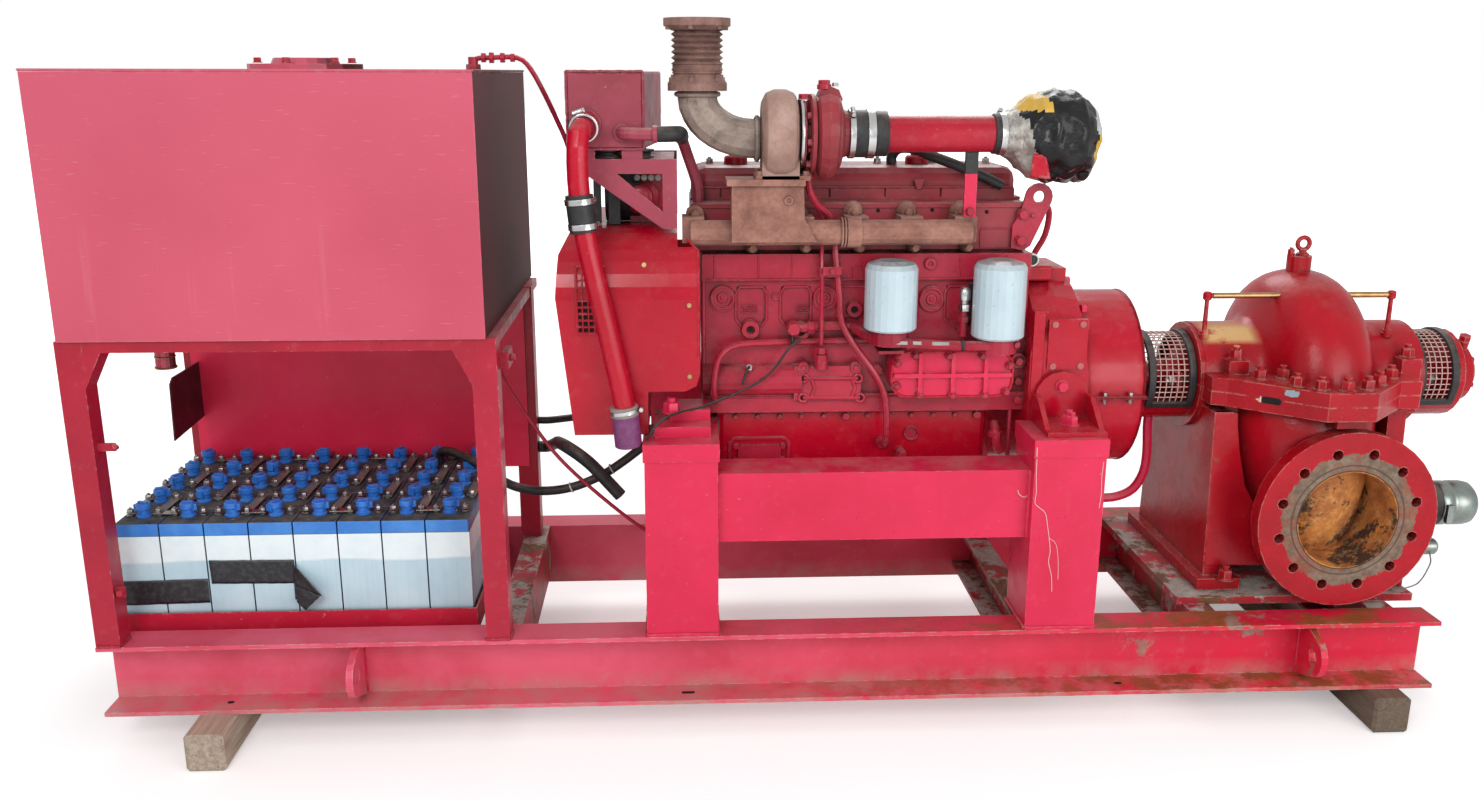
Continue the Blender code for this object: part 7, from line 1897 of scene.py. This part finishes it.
def side_coupling():
    """The silver hose coupling on the casing's right leg, its small plug and thin wire."""
    y, z = 0.25, 0.327
    stub = Batch("side_coupling_stub", RUBBER, BLACK)
    profile = [(0.036, 0), (0.036, 0.04), (0.048, 0.0415), (0.0482, 0.11), (0.0475, 0.13)]
    stub.lathe(profile, (2.7335, y, z), X_AXIS, 28)
    stub.done(0.001)
    cap = Batch("side_coupling", COUPLING_METAL, None)
    shell = [(0.0485, 0), (0.05, 0.003), (0.05, 0.02), (0.0488, 0.022), (0.0488, 0.03), (0.05, 0.032)]
    shell += [(0.05, 0.06), (0.047, 0.074), (0.038, 0.083), (0.02, 0.087)]
    cap.lathe(shell, (2.86, y, z), X_AXIS, 40)
    cap.box((2.862, 2.876), (y - 0.058, y - 0.046), (z - 0.03, z + 0.012))
    cap.drum((2.7335, y, 0.222), X_AXIS, 0.012, 0.12, 18)
    cap.lathe([(0.017, 0), (0.019, 0.004), (0.019, 0.026), (0.014, 0.032)], (2.85, y, 0.222), X_AXIS, 20)
    cap.hexagon((2.84, y, 0.222), X_AXIS, 0.03, 0.012)
    cap.done(0.0008)
    wire = Batch("side_coupling_wire", LINK_METAL, None)
    run = [(2.86, y - 0.018, 0.214), (2.858, y - 0.03, 0.196), (2.846, y - 0.04, 0.18),
           (2.838, y - 0.044, 0.168)]
    run += [(2.828, y - 0.05, 0.16), (2.812, y - 0.06, 0.1545), (2.78, y - 0.075, 0.153),
            (2.752, y - 0.082, 0.153)]
    wire.tube(smooth_route(run), 0.0016, 8)
    wire.done()


def exhaust_fittings():
    """Bolts and rings of the bellows, and the elbow's flange rings."""
    iron = Batch("bellows_bolts", BELLOWS_IRON, "rusty_iron")
    for step in range(6):
        angle = 2 * pi * step / 6 + 0.3
        place = (1.207 + 0.049 * cos(angle), EXHAUST_Y + 0.049 * sin(angle))
        iron.nut((*place, 1.2425), Z_AXIS, 0.013)
        iron.bolt((1.207 + 0.057 * cos(angle), EXHAUST_Y + 0.057 * sin(angle), 1.348), (0, 0, -1), 0.01)
    for step in range(4):
        iron.ring((1.207, EXHAUST_Y, 1.262 + 0.004 * step), Z_AXIS, 0.046, 0.0022, 30, 6)
    iron.done(0.0005)
    flange = Batch("elbow_flange", ELBOW_IRON, "heat_grey_steel")
    flange.ring((1.207, EXHAUST_Y, 1.222), Z_AXIS, 0.04, 0.005, 30, 8)
    flange.ring((1.322, EXHAUST_Y, 1.138), X_AXIS, 0.04, 0.0055, 30, 8)
    flange.done()


def drain_fittings():
    """Unions at the foot and the top of the gland drain."""
    nuts = Batch("drain_unions", RED_ENGINE)
    nuts.hexagon((2.09, SHAFT_Y, 0.306), (-0.7, 0, -0.3), 0.026, 0.014)
    nuts.drum((2.078, SHAFT_Y, 0.301), (-0.7, 0, -0.3), 0.011, 0.026, 14)
    nuts.hexagon((2.15, SHAFT_Y, 0.44), (0.1, 0, 1), 0.026, 0.012)
    nuts.done(0.0006)


def cable_ties():
    """Pale ties where the hose and the lead meet."""
    ties = Batch("cable_ties", PALE_PLASTIC, None)
    ties.ring((0.925, 0.3, 0.374), (0.9, 0, 0.35), 0.0108, 0.0016, 20, 6)
    ties.ring((1.015, 0.3, 0.416), (0.85, 0, 0.5), 0.0108, 0.0016, 20, 6)
    ties.done()


DETAILS = (
    cell_tops, cell_tape, stand_fittings, tank_fittings, skid_fittings, pedestal_fittings, block_castings,
    block_hole_shade, block_bolts, sump_fittings, oil_sensor, pipe_unions, sensor_wire, head_castings,
    rocker_fittings, manifold_castings, turbo_castings, intake_fittings, wrapped_inlet, coolant_fittings,
    header_fittings, guard_grille, flywheel_fittings, coupling_fittings, glands, volute_skin,
    casing_bulge, chips_on_split_flange, pump_fittings, eyebolt_and_seal_pipes, side_coupling,
    exhaust_fittings, drain_fittings, cable_ties,
)


# Room and light


def studio_floor():
    """A white floor that keeps the object's shadow."""
    look = Look("studio_floor", 0.9)
    look.base = look.blend(look.noise(1.2, 3), (0.86, 0.86, 0.86), (0.9, 0.9, 0.9))
    look.put("Emission Color", (1.0, 1.0, 1.0))
    far = look.node("ShaderNodeVectorMath", {0: look.place}, "Value", operation="LENGTH")
    lift = look.node("ShaderNodeMapRange",
                     {"Value": far, "From Min": 2.0, "From Max": 6.0, "To Min": FLOOR_LIFT})
    seen = look.node("ShaderNodeLightPath", {}, "Is Camera Ray")
    look.put("Emission Strength", look.times(seen, lift))
    floor = bpy.data.meshes.new("studio_floor")
    reach = 40.0
    corners = [(-reach, -reach, 0), (reach, -reach, 0), (reach, reach, 0), (-reach, reach, 0)]
    floor.from_pydata(corners, [], [(0, 1, 2, 3)])
    floor.materials.append(look.finished())
    ground = placed("studio_floor", floor)


def studio_world():
    """An even pale world, plain white where the camera sees it."""
    world = bpy.data.worlds.new("studio")
    bpy.context.scene.world = world
    world.use_nodes = True
    nodes = world.node_tree.nodes
    sky = nodes["Background"]
    sky.inputs["Color"].default_value = (1.0, 1.0, 1.0, 1.0)
    level = nodes.new("ShaderNodeMapRange")
    level.inputs["To Min"].default_value = WORLD_LIGHT
    level.inputs["To Max"].default_value = 1.0
    world.node_tree.links.new(nodes.new("ShaderNodeLightPath").outputs["Is Camera Ray"],
                              level.inputs["Value"])
    world.node_tree.links.new(level.outputs[0], sky.inputs["Strength"])


def studio():
    """The floor, the world and three soft lamps."""
    studio_floor()
    studio_world()
    for name, place, size, power in LAMPS:
        data = bpy.data.lights.new(name, "AREA")
        data.shape = "DISK"
        data.size = size
        data.energy = power
        lamp = placed(name, data)
        lamp.location = place
        lamp.rotation_euler = (Vector((0, 0, 0.6)) - Vector(place)).to_track_quat("-Z", "Y").to_euler()


random.seed(7)
camera()
cords()
finish_nodes()
for make in DETAILS:
    make()
studio()
bpy.context.scene.view_settings.view_transform = "Standard"
